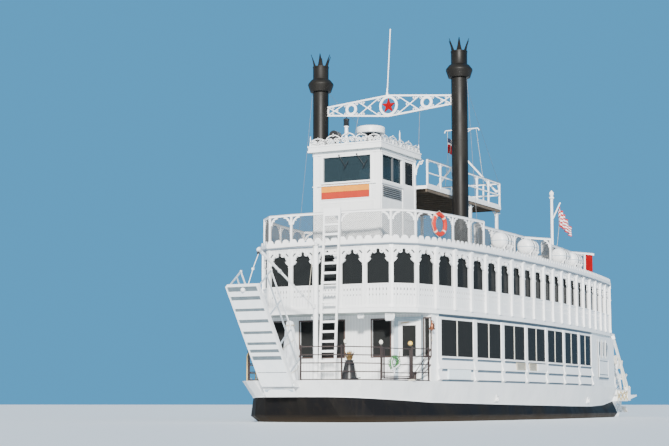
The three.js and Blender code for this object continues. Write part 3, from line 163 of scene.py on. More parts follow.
# %% Tube along a path
def tube(mesh, path, radius, sides=8, closed=False):
    """A round bar that follows the points of a path."""
    path = [Vector(p) for p in path]
    count = len(path)
    rings, across = [], None
    for i, point in enumerate(path):
        before = path[i - 1] if (i or closed) else path[i]
        after = path[(i + 1) % count] if (i + 1 < count or closed) else path[i]
        along = (after - before).normalized()
        if across is None:
            across = along.orthogonal().normalized()
        across = (across - along * across.dot(along)).normalized()
        other = along.cross(across)
        ring = []
        for k in range(sides):
            turn = 2 * math.pi * k / sides
            ring.append(mesh.verts.new(point + across * (radius * math.cos(turn)) + other
                                       * (radius * math.sin(turn))))
        rings.append(ring)
    spans = count if closed else count - 1
    for i in range(spans):
        a, b = rings[i], rings[(i + 1) % count]
        shift = 0
        if closed and i == count - 1:
            shift = min(range(sides), key=lambda s: (a[0].co - b[s].co).length)
        for k in range(sides):
            n = (k + 1) % sides
            mesh.faces.new((a[k], a[n], b[(n + shift) % sides], b[(k + shift) % sides]))
    if not closed:
        mesh.faces.new(list(reversed(rings[0])))
        mesh.faces.new(rings[-1])


# %% Sawn plate
def stand(origin, across, up):
    """A frame for a plate: u runs across, v runs up, and the plate is thick the third way."""
    across, up = Vector(across).normalized(), Vector(up).normalized()
    out = across.cross(up)
    place = Matrix((across, up, out)).transposed().to_4x4()
    place.translation = Vector(origin)
    return place


def plate(mesh, outline, place, thick, holes=()):
    """A board sawn to an outline, with holes, standing in a frame made by stand()."""
    loops = [[Vector((u, v, 0)) for u, v in loop] for loop in (outline, *holes)]
    flat = [p for loop in loops for p in loop]
    triangles = tessellate_polygon(loops)
    back = [mesh.verts.new(place @ p) for p in flat]
    front = [mesh.verts.new(place @ (p + Vector((0, 0, thick)))) for p in flat]
    for a, b, c in triangles:
        normal_up = (flat[b] - flat[a]).cross(flat[c] - flat[a]).z > 0
        if not normal_up:
            b, c = c, b
        mesh.faces.new((front[a], front[b], front[c]))
        mesh.faces.new((back[a], back[c], back[b]))
    start = 0
    for number, loop in enumerate(loops):
        size = len(loop)
        area = sum(loop[i - 1].x * loop[i].y - loop[i].x * loop[i - 1].y for i in range(size))
        outward = (area > 0) == (number == 0)
        for i in range(size):
            a, b = start + i, start + (i + 1) % size
            if not outward:
                a, b = b, a
            mesh.faces.new((back[a], back[b], front[b], front[a]))
        start += size


# %% Turned shape
def turned(mesh, profile, sides=16, place=None):
    """A profile of (radius, height) pairs turned about the frame's third axis."""
    place = place or Matrix()
    rings = []
    for radius, height in profile:
        if radius < 1e-6:
            rings.append([mesh.verts.new(place @ Vector((0, 0, height)))])
            continue
        rings.append([mesh.verts.new(place @ Vector((radius * math.cos(2 * math.pi * k / sides),
                                                     radius * math.sin(2 * math.pi * k / sides), height)))
                      for k in range(sides)])
    for a, b in zip(rings, rings[1:]):
        for k in range(sides):
            n = (k + 1) % sides
            if len(a) == 1 and len(b) > 1:
                mesh.faces.new((a[0], b[n], b[k]))
            elif len(b) == 1 and len(a) > 1:
                mesh.faces.new((a[k], a[n], b[0]))
            elif len(a) > 1:
                mesh.faces.new((a[k], a[n], b[n], b[k]))


# %% Ring outlines
def circle(centre, radius, sides=14):
    """Points round a circle."""
    return [(centre[0] + radius * math.cos(2 * math.pi * k / sides),
             centre[1] + radius * math.sin(2 * math.pi * k / sides)) for k in range(sides)]


def arc_strip(centre, radius, wide, start, end, steps=8):
    """The outline of a curved strip of a given width, from one angle to another, in degrees."""
    turns = [math.radians(start + (end - start) * k / steps) for k in range(steps + 1)]
    outer = [(centre[0] + (radius + wide / 2) * math.cos(t), centre[1] + (radius + wide / 2) * math.sin(t))
             for t in turns]
    inner = [(centre[0] + (radius - wide / 2) * math.cos(t), centre[1] + (radius - wide / 2) * math.sin(t))
             for t in turns]
    return outer + inner[::-1]


# %% Handing a mesh over as a piece
made = []


def hand_over(name, mesh, finish, body="boat", sharp=32):
    """Closes a mesh, gives it its finish and sets it on a body of the boat."""
    data = bpy.data.meshes.new(name)
    bmesh.ops.recalc_face_normals(mesh, faces=mesh.faces)
    mesh.to_mesh(data)
    mesh.free()
    for one in finish if isinstance(finish, (list, tuple)) else [finish]:
        data.materials.append(one)
    data.shade_smooth()
    data.set_sharp_from_angle(angle=math.radians(sharp))
    piece = bpy.data.objects.new(name, data)
    bpy.context.scene.collection.objects.link(piece)
    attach(piece, body)
    made.append(name)
    print(name, "has", len(data.polygons), "faces, on", body)
    return piece

# %% [markdown]
# ## Finishes
#
# A painted boat is never one flat white. Rain leaves faint streaks down its sides, salt and dust dull the
# gloss in patches, and brush marks catch the light. Each finish below is a few noise patterns in metres,
# so the pattern has the same size on every piece. Colour and roughness come from the same patches, because
# a dirty patch is also a dull one.

# %% Pattern helpers
def new_finish(name, colour, rough, metal=0.0):
    """A finish with its base colour and roughness set on the shader's own sockets."""
    finish = bpy.data.materials.new(name)
    finish.use_nodes = True
    finish.diffuse_color = (*colour, 1)
    shader = finish.node_tree.nodes["Principled BSDF"]
    shader.inputs["Base Color"].default_value = (*colour, 1)
    shader.inputs["Roughness"].default_value = rough
    shader.inputs["Metallic"].default_value = metal
    return finish, finish.node_tree, shader


def place_of(tree, stretch=(1, 1, 1)):
    """Where a point lies on the piece, in metres, stretched if wanted."""
    coords = tree.nodes.new("ShaderNodeTexCoord")
    mapping = tree.nodes.new("ShaderNodeMapping")
    mapping.inputs["Scale"].default_value = stretch
    tree.links.new(coords.outputs["Object"], mapping.inputs["Vector"])
    return mapping.outputs["Vector"]


def patches(tree, scale, low, high, stretch=(1, 1, 1), detail=4.0):
    """A noise pattern turned into soft patches: 0 below low, 1 above high."""
    noise = tree.nodes.new("ShaderNodeTexNoise")
    noise.inputs["Scale"].default_value = scale
    noise.inputs["Detail"].default_value = detail
    tree.links.new(place_of(tree, stretch), noise.inputs["Vector"])
    span = tree.nodes.new("ShaderNodeMapRange")
    span.inputs["From Min"].default_value = low
    span.inputs["From Max"].default_value = high
    tree.links.new(noise.outputs["Fac"], span.inputs["Value"])
    return span.outputs["Result"]


def blend_colours(tree, share, first, second):
    """One colour into another by a share. Either may be a colour or an output."""
    mix = tree.nodes.new("ShaderNodeMix")
    mix.data_type = "RGBA"
    tree.links.new(share, mix.inputs[0])
    for value, socket in ((first, mix.inputs[6]), (second, mix.inputs[7])):
        if isinstance(value, tuple):
            socket.default_value = (*value, 1)
        else:
            tree.links.new(value, socket)
    return mix.outputs[2]


def scaled(tree, value, by, plus=0.0):
    """value times by, plus a little."""
    step = tree.nodes.new("ShaderNodeMath")
    step.operation = "MULTIPLY_ADD"
    step.inputs[1].default_value = by
    step.inputs[2].default_value = plus
    tree.links.new(value, step.inputs[0])
    return step.outputs[0]


def raise_by(tree, shader, height, depth, strength=1.0):
    """Height in metres, as bumps on the surface."""
    bump = tree.nodes.new("ShaderNodeBump")
    bump.inputs["Distance"].default_value = depth
    bump.inputs["Strength"].default_value = strength
    tree.links.new(height, bump.inputs["Height"])
    if shader.inputs["Normal"].is_linked:
        tree.links.new(shader.inputs["Normal"].links[0].from_socket, bump.inputs["Normal"])
    tree.links.new(bump.outputs["Normal"], shader.inputs["Normal"])


def facing(tree, axis, low, high):
    """1 where the surface faces along an axis, 0 where it doesn't."""
    coords = tree.nodes.new("ShaderNodeTexCoord")
    parts = tree.nodes.new("ShaderNodeSeparateXYZ")
    tree.links.new(coords.outputs["Normal"], parts.inputs[0])
    span = tree.nodes.new("ShaderNodeMapRange")
    span.inputs["From Min"].default_value = low
    span.inputs["From Max"].default_value = high
    tree.links.new(parts.outputs[axis], span.inputs["Value"])
    return span.outputs["Result"]


# %% [markdown]
# ### Marine paint
#
# One recipe serves every painted part: a colour, a duller colour for weathered patches, faint upright
# streaks, fine brush marks, and roughness that follows the patches. The decks add two more colours, chosen
# by which way the surface faces: a grey walking surface on top, and painted shade below, grey-green under
# the decks and dark brown under the upper platform.

# %% Paint recipe
def marine_paint(name, colour, dull, streak, rough=0.36, streaks=0.5, over=None, under=None):
    """Brushed paint with weathered patches and upright streaks; under is painted shade on faces turned
    down.
    """
    finish, tree, shader = new_finish(name, colour, rough)
    worn = patches(tree, 0.9, 0.42, 0.72)
    runs = scaled(tree, patches(tree, 2.6, 0.52, 0.74, stretch=(2.2, 2.2, 0.16), detail=6), streaks)
    shade = blend_colours(tree, worn, colour, dull)
    shade = blend_colours(tree, runs, shade, streak)
    if over:
        shade = blend_colours(tree, facing(tree, "Z", 0.6, 0.8), shade, over)
    # Faces turned down get the under colour: painted shade for the undersides of the decks and the
    # platform.
    if under:
        shade = blend_colours(tree, facing(tree, "Z", -0.6, -0.8), shade, under)
    tree.links.new(shade, shader.inputs["Base Color"])
    tree.links.new(scaled(tree, worn, 0.16, rough - 0.04), shader.inputs["Roughness"])
    raise_by(tree, shader, patches(tree, 38, 0.3, 0.7, stretch=(1, 1, 0.4)), 0.0012, 0.35)
    return finish


WHITE = (0.86, 0.87, 0.865)
WHITE_DULL = (0.76, 0.78, 0.79)
WHITE_STREAK = (0.66, 0.66, 0.63)
white_paint = marine_paint("white_paint", WHITE, WHITE_DULL, WHITE_STREAK, 0.34, 0.30)
white_trim = marine_paint("white_trim", (0.90, 0.905, 0.90), (0.82, 0.83, 0.83), (0.74, 0.74, 0.71), 0.32,
                          0.18)
# The grey-green under the decks is painted shade.
deck_paint = marine_paint("deck_paint", WHITE, WHITE_DULL, WHITE_STREAK, 0.40, 0.30,
                          over=(0.34, 0.37, 0.38), under=(0.42, 0.47, 0.45))
# The dark brown under the platform is painted shade.
platform_paint = marine_paint("platform_paint", WHITE, WHITE_DULL, WHITE_STREAK, 0.42, 0.35,
                              over=(0.36, 0.38, 0.38), under=(0.105, 0.078, 0.052))
print("white paints ready")


# %% [markdown]
# The arcade's apron and the cabin walls are boarded: narrow upright boards with a fine groove every 120 mm.
# The groove follows the wall round its bends. A point's distance along a flat wall is its place measured
# along the cross product of up and the wall's own facing, so one finish serves all of the curved side.

# %% Boarded paint
BOARD_WIDE = 0.12
GROOVE_GREY = (0.58, 0.60, 0.61)


def boarded(name, base):
    """Copies a paint and cuts fine upright grooves into it."""
    finish = base.copy()
    finish.name = name
    tree = finish.node_tree
    shader = tree.nodes["Principled BSDF"]
    coords = tree.nodes.new("ShaderNodeTexCoord")
    cross = tree.nodes.new("ShaderNodeVectorMath")
    cross.operation = "CROSS_PRODUCT"
    cross.inputs[1].default_value = (0, 0, 1)
    dot = tree.nodes.new("ShaderNodeVectorMath")
    dot.operation = "DOT_PRODUCT"
    tree.links.new(coords.outputs["Normal"], cross.inputs[0])
    tree.links.new(cross.outputs[0], dot.inputs[0])
    tree.links.new(coords.outputs["Object"], dot.inputs[1])
    wave = tree.nodes.new("ShaderNodeMath")
    wave.operation = "PINGPONG"
    wave.inputs[1].default_value = BOARD_WIDE / 2
    tree.links.new(dot.outputs["Value"], wave.inputs[0])
    groove = tree.nodes.new("ShaderNodeMapRange")
    groove.inputs["From Min"].default_value = 0.003
    groove.inputs["From Max"].default_value = 0.010
    tree.links.new(wave.outputs[0], groove.inputs["Value"])
    painted = shader.inputs["Base Color"].links[0].from_socket
    upright = facing(tree, "Z", 0.5, 0.3)
    shade = blend_colours(tree, groove.outputs["Result"], GROOVE_GREY, painted)
    tree.links.new(blend_colours(tree, upright, painted, shade), shader.inputs["Base Color"])
    raise_by(tree, shader, groove.outputs["Result"], 0.005, 0.8)
    return finish


white_boards = boarded("white_boards", white_paint)
print("boarded paint ready")

# %% [markdown]
# ### Black, glass and colours
#
# The hull is bitumen black with a brown scum line by the water. The funnels are a softer brown-black that
# rolls the light into one long streak. Window glass is tinted: nearly black from outside, with the sky on
# it, and the wheelhouse glass is clearer because the helm has to see out.

# %% Black paints
hull_black = marine_paint("hull_black", (0.008, 0.008, 0.009), (0.013, 0.012, 0.011), (0.026, 0.020, 0.015),
                          0.50, 0.35)
hull_black.node_tree.nodes["Principled BSDF"].inputs["Specular IOR Level"].default_value = 0.2
hull_black.node_tree.nodes["Principled BSDF"].inputs["IOR"].default_value = 1.2
tree = hull_black.node_tree
shader = tree.nodes["Principled BSDF"]
coords = tree.nodes.new("ShaderNodeTexCoord")
height = tree.nodes.new("ShaderNodeSeparateXYZ")
tree.links.new(coords.outputs["Object"], height.inputs[0])
wet = tree.nodes.new("ShaderNodeMapRange")
wet.inputs["From Min"].default_value = 0.26
wet.inputs["From Max"].default_value = 0.06
tree.links.new(height.outputs["Z"], wet.inputs["Value"])
dry_black = shader.inputs["Base Color"].links[0].from_socket
scum = blend_colours(tree, wet.outputs["Result"], dry_black, (0.045, 0.034, 0.024))
tree.links.new(scum, shader.inputs["Base Color"])
funnel_black = marine_paint("funnel_black", (0.007, 0.006, 0.005), (0.011, 0.010, 0.008),
                            (0.022, 0.019, 0.015),
                            0.48, 0.35)
funnel_black.node_tree.nodes["Principled BSDF"].inputs["Specular IOR Level"].default_value = 0.22
rail_black = marine_paint("rail_black", (0.024, 0.014, 0.013), (0.040, 0.028, 0.024), (0.10, 0.060, 0.040),
                          0.46, 0.25)
lamp_black = marine_paint("lamp_black", (0.012, 0.012, 0.014), (0.03, 0.03, 0.03), (0.05, 0.05, 0.05),
                          0.28, 0.1)
print("black paints ready")


# %% Glass
def tinted_glass(name, colour, alpha, rough=0.04):
    """Tinted glass: the tint hides the room, and the gloss carries the sky."""
    finish, tree, shader = new_finish(name, colour, rough)
    shader.inputs["Alpha"].default_value = alpha
    shader.inputs["Specular IOR Level"].default_value = 0.3
    shader.inputs["IOR"].default_value = 1.10
    film = patches(tree, 1.7, 0.45, 0.8, stretch=(1, 1, 0.5))
    tree.links.new(scaled(tree, film, 0.10, rough), shader.inputs["Roughness"])
    raise_by(tree, shader, patches(tree, 0.8, 0.2, 0.8), 0.010, 0.25)
    return finish


cabin_tint = tinted_glass("cabin_tint", (0.020, 0.021, 0.021), 0.96)
saloon_tint = tinted_glass("saloon_tint", (0.016, 0.018, 0.019), 0.94)
helm_glass = tinted_glass("helm_glass", (0.020, 0.034, 0.042), 0.84, 0.03)
lens_glass = tinted_glass("lens_glass", (0.75, 0.80, 0.82), 0.55, 0.08)


# %% Colours, metals and soft stuff
def plain_stuff(name, colour, shade, rough, grain=60, depth=0.0008, metal=0.0, sheen=0.0):
    """A coloured stuff with a fine grain and a little variation."""
    finish, tree, shader = new_finish(name, colour, rough, metal)
    tree.links.new(blend_colours(tree, patches(tree, 5.0, 0.35, 0.75), colour, shade),
                   shader.inputs["Base Color"])
    tree.links.new(scaled(tree, patches(tree, 11, 0.3, 0.8), 0.14, rough), shader.inputs["Roughness"])
    raise_by(tree, shader, patches(tree, grain, 0.3, 0.7), depth, 0.5)
    if sheen:
        shader.inputs["Sheen Weight"].default_value = sheen
    return finish


star_red = plain_stuff("star_red", (0.27, 0.0006, 0.0030), (0.22, 0.0005, 0.0026), 0.7)
star_red.node_tree.nodes["Principled BSDF"].inputs["Specular IOR Level"].default_value = 0.1
flag_red = plain_stuff("flag_red", (0.42, 0.004, 0.010), (0.33, 0.003, 0.008), 0.85, 220, 0.0010, sheen=0.2)
flag_white = plain_stuff("flag_white", (0.80, 0.80, 0.80), (0.70, 0.71, 0.73), 0.85, 220, 0.0010, sheen=0.2)
buoy_orange = plain_stuff("buoy_orange", (0.52, 0.016, 0.003), (0.42, 0.013, 0.003), 0.6)
buoy_tape = plain_stuff("buoy_tape", (0.82, 0.52, 0.42), (0.76, 0.45, 0.36), 0.5)
stage_metal = plain_stuff("stage_metal", (0.64, 0.69, 0.72), (0.52, 0.57, 0.60), 0.38, 90, 0.0006,
                          metal=0.35)
stage_pale = plain_stuff("stage_pale", (0.90, 0.925, 0.94), (0.80, 0.85, 0.88), 0.34, 90, 0.0006)
mullion_grey = plain_stuff("mullion_grey", (0.11, 0.115, 0.12), (0.08, 0.085, 0.09), 0.5)
brass = plain_stuff("brass", (0.62, 0.43, 0.16), (0.40, 0.25, 0.09), 0.30, 90, 0.0004, metal=1.0)
copper = plain_stuff("copper", (0.45, 0.17, 0.09), (0.28, 0.11, 0.06), 0.34, 90, 0.0004, metal=1.0)
old_rope = plain_stuff("old_rope", (0.62, 0.58, 0.48), (0.45, 0.41, 0.33), 0.9, 150, 0.002)
wire = plain_stuff("wire", (0.30, 0.31, 0.32), (0.20, 0.20, 0.21), 0.45, 120, 0.0004, metal=0.6)
net_wire = plain_stuff("net_wire", (0.115, 0.12, 0.12), (0.08, 0.08, 0.08), 0.6, 120, 0.0004)
rail_top_grey = plain_stuff("rail_top_grey", (0.52, 0.54, 0.55), (0.42, 0.44, 0.45), 0.45)
# Dark blue-grey: painted shade along the third deck's edge, and the rail cap of the platform.
shade_and_cap_grey = plain_stuff("shade_and_cap_grey", (0.175, 0.215, 0.255), (0.125, 0.155, 0.185), 0.5)
canvas = plain_stuff("canvas", (0.76, 0.79, 0.82), (0.64, 0.68, 0.72), 0.9, 260, 0.0012, sheen=0.1)
raft_shell = plain_stuff("raft_shell", (0.84, 0.85, 0.85), (0.76, 0.78, 0.78), 0.32, 40, 0.0006)
varnish = plain_stuff("varnish", (0.30, 0.14, 0.055), (0.20, 0.085, 0.03), 0.28, 70, 0.0006)
rubber = plain_stuff("rubber", (0.020, 0.020, 0.020), (0.035, 0.034, 0.033), 0.7, 90, 0.001)
leaf_green = plain_stuff("leaf_green", (0.035, 0.16, 0.045), (0.07, 0.24, 0.06), 0.6, 60, 0.002)
sign_yellow = plain_stuff("sign_yellow", (0.72, 0.27, 0.012), (0.64, 0.22, 0.010), 0.5)
sign_red = plain_stuff("sign_red", (0.42, 0.024, 0.004), (0.35, 0.020, 0.004), 0.5)
warm_lamp = plain_stuff("warm_lamp", (0.85, 0.55, 0.10), (0.70, 0.42, 0.06), 0.25)
cream_paint = plain_stuff("cream_paint", (0.80, 0.78, 0.68), (0.70, 0.67, 0.56), 0.45)
hatch_blue = plain_stuff("hatch_blue", (0.74, 0.82, 0.85), (0.66, 0.75, 0.79), 0.40)
grille_tan = plain_stuff("grille_tan", (0.50, 0.46, 0.36), (0.40, 0.36, 0.28), 0.6)
# Blue-grey painted shade: the lines in the laps of the cabin boards and the band under the deck's edge.
lap_shade = plain_stuff("lap_shade", (0.105, 0.150, 0.190), (0.075, 0.110, 0.145), 0.6)
# Dark brown painted shade for the beams under the platform.
platform_under_shade = plain_stuff("platform_under_shade", (0.135, 0.100, 0.068), (0.095, 0.070, 0.046), 0.6)
# Near-black painted shade behind the arcade's slots and crescents.
slot_shade = plain_stuff("slot_shade", (0.040, 0.042, 0.046), (0.030, 0.032, 0.036), 0.7)
# Blue-grey painted shade for the rafts' seams and the arch on the bow apron; the front door's frame is in
# it too.
shade_blue = plain_stuff("shade_blue", (0.42, 0.52, 0.58), (0.34, 0.43, 0.50), 0.5)
brown_seal = plain_stuff("brown_seal", (0.070, 0.040, 0.032), (0.045, 0.028, 0.024), 0.5)
# Painted shadow in the joints of the stage's underside.
stage_shadow_paint = plain_stuff("stage_shadow_paint", (0.13, 0.17, 0.19), (0.09, 0.12, 0.14), 0.6)
dry_leaf = plain_stuff("dry_leaf", (0.16, 0.10, 0.035), (0.30, 0.16, 0.04), 0.75, 60, 0.002)
flag_navy = plain_stuff("flag_navy", (0.020, 0.026, 0.075), (0.015, 0.018, 0.05), 0.85, 220, 0.0010,
                        sheen=0.2)
paddle_paint = plain_stuff("paddle_paint", (0.66, 0.64, 0.58), (0.36, 0.34, 0.29), 0.75, 40, 0.002)
lattice_yellow = plain_stuff("lattice_yellow", (0.62, 0.47, 0.20), (0.46, 0.33, 0.13), 0.6)
print("colours, metals and soft stuff ready")

# %% [markdown]
# The frame's own solids get these finishes now. The sternwheel is clean white at its rims and arms, and its
# boards are stained by the river, so they are covered by planks of their own later on.

# %% Finishes on the frame
FRAME_FINISH = {
    "hull": hull_black, "topsides": white_paint, "second_deck": deck_paint, "third_deck": deck_paint,
    "cabin_wall_port": white_paint, "cabin_wall_starboard": white_paint, "cabin_wall_aft": white_paint,
    "cabin_wall_front": white_boards, "cabin_door": white_trim, "cabin_glass": cabin_tint,
    "arcade_front": white_boards, "arcade_port": white_boards, "arcade_aft": white_boards,
    "arcade_starboard": white_boards, "arcade_glass": saloon_tint,
    "rail_front": white_trim, "rail_port": white_trim, "rail_aft": white_trim, "rail_starboard": white_trim,
    "wheelhouse_wall_front": white_paint, "wheelhouse_wall_port": white_paint,
    "wheelhouse_wall_aft": white_paint, "wheelhouse_wall_starboard": white_paint,
    "wheelhouse_door_port": white_trim, "wheelhouse_door_starboard": white_trim,
    "wheelhouse_roof": deck_paint, "wheelhouse_floor": varnish, "wheelhouse_glass": helm_glass,
    "searchlight": lamp_black, "upper_platform": platform_paint, "platform_rail": white_trim,
    "mast": white_trim, "stack_port": funnel_black, "stack_starboard": funnel_black,
                "stack_truss": white_trim,
    "truss_star": star_red, "flagpole": white_trim, "ladder": white_trim, "king_post": white_trim,
    "boom": white_trim, "landing_stage": stage_metal, "bow_rail_port": rail_black,
    "bow_rail_starboard": rail_black, "bow_gate": rail_black, "bitts_port": rail_black,
    "bitts_starboard": rail_black, "winch_cover": canvas, "rafts_port_fore": raft_shell,
    "rafts_port_aft": raft_shell, "rafts_starboard_fore": raft_shell, "rafts_starboard_aft": raft_shell,
    "lifebuoy": buoy_orange, "wheel_beam_port": white_paint, "wheel_beam_starboard": white_paint,
    "sternwheel": white_paint, "rudder_port": hull_black, "rudder_starboard": hull_black,
    "stern_flag": flag_red,
}
for node, finish in FRAME_FINISH.items():
    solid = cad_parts[node]
    for slot in solid.material_slots:
        slot.material = finish
print("finishes on", len(FRAME_FINISH), "of", len(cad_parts), "nodes")

# %% [markdown]
# ## The plan of the upper decks
#
# Nearly all of the trim repeats along the edge of the upper decks, from post to post. The edge is one
# formula: a long side that bows out a little amidships, closed by a blunt rounded front. Walking along it
# by the width of a bay gives the posts, so the trim lands on the frame's own posts with no fitting.

# %% Edge of the decks
UPPER_EDGE = {"front": 12.337, "reach": 19.68, "power": 8.45, "side_bow": 0.001495}
HULL_EDGE = {"front": 15.0, "reach": 22.34, "power": 5.0, "side_bow": 0.001385}
HALF_BREADTH = 3.992
WIDEST_X = 2.837
FRONT_BAY = 0.979
SIDE_BAY = 1.149
FRONT_BAYS_A_SIDE = 4
SIDE_BAYS = 18
STERN_BAYS = 5


def half_breadth(x, edge):
    """Half the deck's breadth at x."""
    along = min(max((x - edge["front"] + edge["reach"]) / edge["reach"], 0), 1)
    nose = (1 - along ** edge["power"]) ** (1 / edge["power"])
    return HALF_BREADTH * (1 - edge["side_bow"] * (x - WIDEST_X) ** 2) * nose


def nose_x(y, edge):
    """Where the rounded front reaches a given breadth."""
    low, high = 0.0, edge["front"]
    for _ in range(50):
        middle = (low + high) / 2
        low, high = (middle, high) if half_breadth(middle, edge) > y else (low, middle)
    return low


def edge_line(edge):
    """The port edge from the middle of the front to the quarter, in short steps."""
    points = [(edge["front"], 0.0)] + [(nose_x(0.1 * i, edge), 0.1 * i) for i in range(1, 31)]
    x = points[-1][0] - 0.1
    while x > -12.0:
        points.append((x, half_breadth(x, edge)))
        x -= 0.1
    return points


def point_along(line, distance):
    """The point at a distance along a line of points."""
    for (x0, y0), (x1, y1) in zip(line, line[1:]):
        step = math.hypot(x1 - x0, y1 - y0)
        if distance <= step:
            return (x0 + (x1 - x0) * distance / step, y0 + (y1 - y0) * distance / step)
        distance -= step
    return line[-1]


def mirrored(points):
    """The same points to starboard, in the opposite order."""
    return [(x, -y) for x, y in reversed(points)]


upper_line, hull_line = edge_line(UPPER_EDGE), edge_line(HULL_EDGE)
front_end = FRONT_BAY * (FRONT_BAYS_A_SIDE + 0.5)
port_posts = [point_along(upper_line, FRONT_BAY * (i + 0.5)) for i in range(FRONT_BAYS_A_SIDE + 1)]
port_posts += [point_along(upper_line, front_end + SIDE_BAY * (i + 1)) for i in range(SIDE_BAYS)]
stern_x, stern_half = port_posts[-1]
stern_posts = [(stern_x, stern_half * (1 - 2 * (i + 1) / STERN_BAYS)) for i in range(STERN_BAYS - 1)]
plan = mirrored(port_posts[:FRONT_BAYS_A_SIDE + 1]) + port_posts + stern_posts
plan += mirrored(port_posts[FRONT_BAYS_A_SIDE + 1:])
FRONT_TO = 2 * FRONT_BAYS_A_SIDE + 1
PORT_TO = FRONT_TO + SIDE_BAYS
STERN_TO = PORT_TO + STERN_BAYS
ROUND_TO = len(plan)
STRETCHES = {"front": (0, FRONT_TO), "port": (FRONT_TO, PORT_TO), "aft": (PORT_TO, STERN_TO),
             "starboard": (STERN_TO, ROUND_TO)}
print(len(plan), "posts round the deck, the last to port at", port_posts[-1])


# %% Insets and bays
def inset(loop, distance):
    """Moves a closed outline inwards, or outwards where the distance is negative."""
    moved = []
    for i, (x, y) in enumerate(loop):
        before, after = loop[i - 1], loop[(i + 1) % len(loop)]
        a = Vector((x - before[0], y - before[1])).normalized()
        b = Vector((after[0] - x, after[1] - y)).normalized()
        inward = Vector((-a.y - b.y, a.x + b.x)).normalized()
        far = distance / inward.dot(Vector((-a.y, a.x)))
        moved.append((x + inward.x * far, y + inward.y * far))
    return moved


def bay_of(loop, i):
    """The middle of a bay, its direction, which way is out, and its length."""
    start = Vector((*loop[i % len(loop)], 0))
    end = Vector((*loop[(i + 1) % len(loop)], 0))
    along = (end - start).normalized()
    return (start + end) / 2, along, Vector((along.y, -along.x, 0)), (end - start).length


def outward_at(loop, i):
    """Which way is out at a post."""
    return (bay_of(loop, i - 1)[2] + bay_of(loop, i)[2]).normalized()


# %% [markdown]
# ## The arcade
#
# The upper deck's wall is a screen of sawn boards, one arch to each bay. The arch leans in to a cusp on
# each side, opens again into a round head and ends in a narrow slot, and an eye and a slanting crescent
# are pierced in each shoulder. The apron under it has two rows of small slots. Behind the slots and the
# crescents lie near-black strips of painted shade, so the holes read dark. Each bay is one sawn plate with
# holes, and the dark windows show through its arches.

# %% Outline of one arch
WALL_THICK = 0.060
POST_WIDE = 0.165
WALL_Z = (3.9003, 6.1047)
SILL_Z = 4.740
# Share of the half opening against height, from the sill up one side to the crown
ARCH_SIDE = [(1.0, 4.740), (1.0, 5.460), (0.780, 5.523), (0.655, 5.586), (0.645, 5.612), (0.790, 5.652),
             (0.665, 5.694), (0.690, 5.735), (0.580, 5.760), (0.565, 5.815), (0.500, 5.818), (0.415, 5.786),
             (0.327, 5.778), (0.240, 5.790), (0.165, 5.825), (0.150, 5.855), (0.185, 5.890), (0.090, 5.925),
             (0.0, 5.965)]
EYE = {"share": 0.327, "z": 5.851, "hole": 0.026, "ring": 0.062}
CRESCENT = {"share": 0.52, "z": 5.718, "radius": 0.190, "wide": 0.052, "from": 24, "to": 70}
SLOT_ROWS = [{"z": 4.545, "wide": 0.032, "tall": 0.090}, {"z": 4.355, "wide": 0.026, "tall": 0.066}]
SLOT_PITCH = 0.124


def arch_holes(length):
    """The openings of one bay: arch, eyes, crescents and slots."""
    half = (length - POST_WIDE) / 2
    arch = [(u * half, z) for u, z in ARCH_SIDE] + [(-u * half, z) for u, z in ARCH_SIDE[-2::-1]]
    holes = [arch]
    for side in (1, -1):
        holes.append(circle((side * EYE["share"] * half, EYE["z"]), EYE["hole"], 8))
        strip = arc_strip((CRESCENT["share"] * half, CRESCENT["z"]), CRESCENT["radius"], CRESCENT["wide"],
                          CRESCENT["from"], CRESCENT["to"], 4)
        holes.append([(side * u, z) for u, z in strip])
    count = round((length - POST_WIDE) / SLOT_PITCH) + 1
    for row in SLOT_ROWS:
        for k in range(count):
            u = (k - (count - 1) / 2) * SLOT_PITCH
            w, t = row["wide"] / 2, row["tall"] / 2
            holes.append([(u - w, row["z"] - t), (u + w, row["z"] - t), (u + w, row["z"] + t - w),
                          (u, row["z"] + t), (u - w, row["z"] + t - w)])
    return holes


# %% The four walls
DOORWAY_BAY = PORT_TO + 2
DOORWAY = {"half": 0.450, "top": 5.900}

for side, (first, last) in STRETCHES.items():
    mesh = bmesh.new()
    for i in range(first, last):
        middle, along, out, length = bay_of(plan, i)
        low, high = WALL_Z
        start = -length / 2 + (0.0004 if i == first else 0)
        end = length / 2 - (0.0004 if i == last - 1 else 0)
        outline = [(start, low), (end, low), (end, high), (start, high)]
        holes = arch_holes(length)
        if i == DOORWAY_BAY:
            h, top = DOORWAY["half"], DOORWAY["top"]
            outline = [(start, low), (-h, low), (-h, top), (h, top), (h, low), (end, low), (end, high),
                       (start, high)]
            holes = []
        plate(mesh, outline, stand(middle - out * WALL_THICK, along, UP), WALL_THICK, holes)
        if i > first:
            foot = Vector((*plan[i], low)) - outward_at(plan, i) * 0.014
            beam(mesh, foot, foot + UP * (high - low), 0.098, 0.098, over=outward_at(plan, i))
    wall = hand_over("arcade_screen_" + side, mesh, white_boards)
    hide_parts("arcade_" + side)

# Near-black backing strips behind the slots and crescents: painted shade, so that the holes read dark.
mesh = bmesh.new()
for i in range(ROUND_TO):
    middle, along, out, length = bay_of(plan, i)
    if i == DOORWAY_BAY:
        continue
    for row in SLOT_ROWS:
        centre = stand(middle - out * 0.012, along, UP) @ Vector((0, row["z"], 0))
        reach = (length - POST_WIDE) / 2 + row["wide"]
        beam(mesh, centre - along * reach, centre + along * reach, 0.008, row["tall"] + 0.024)
    for side in (1, -1):
        strip = arc_strip((CRESCENT["share"] * reach, CRESCENT["z"]), CRESCENT["radius"],
                          CRESCENT["wide"] + 0.016,
                          CRESCENT["from"] - 3, CRESCENT["to"] + 3, 4)
        plate(mesh, [(side * u, z) for u, z in strip], stand(middle - out * 0.020, along, UP), 0.008)
hand_over("arcade_slot_backs", mesh, slot_shade)

# %% [markdown]
# Fine mouldings sit on the screen: a raised ring round each eye, a slim sill under each arch and a capping
# on each post. They are thin, but their shadows are what makes the white wall read as joinery.

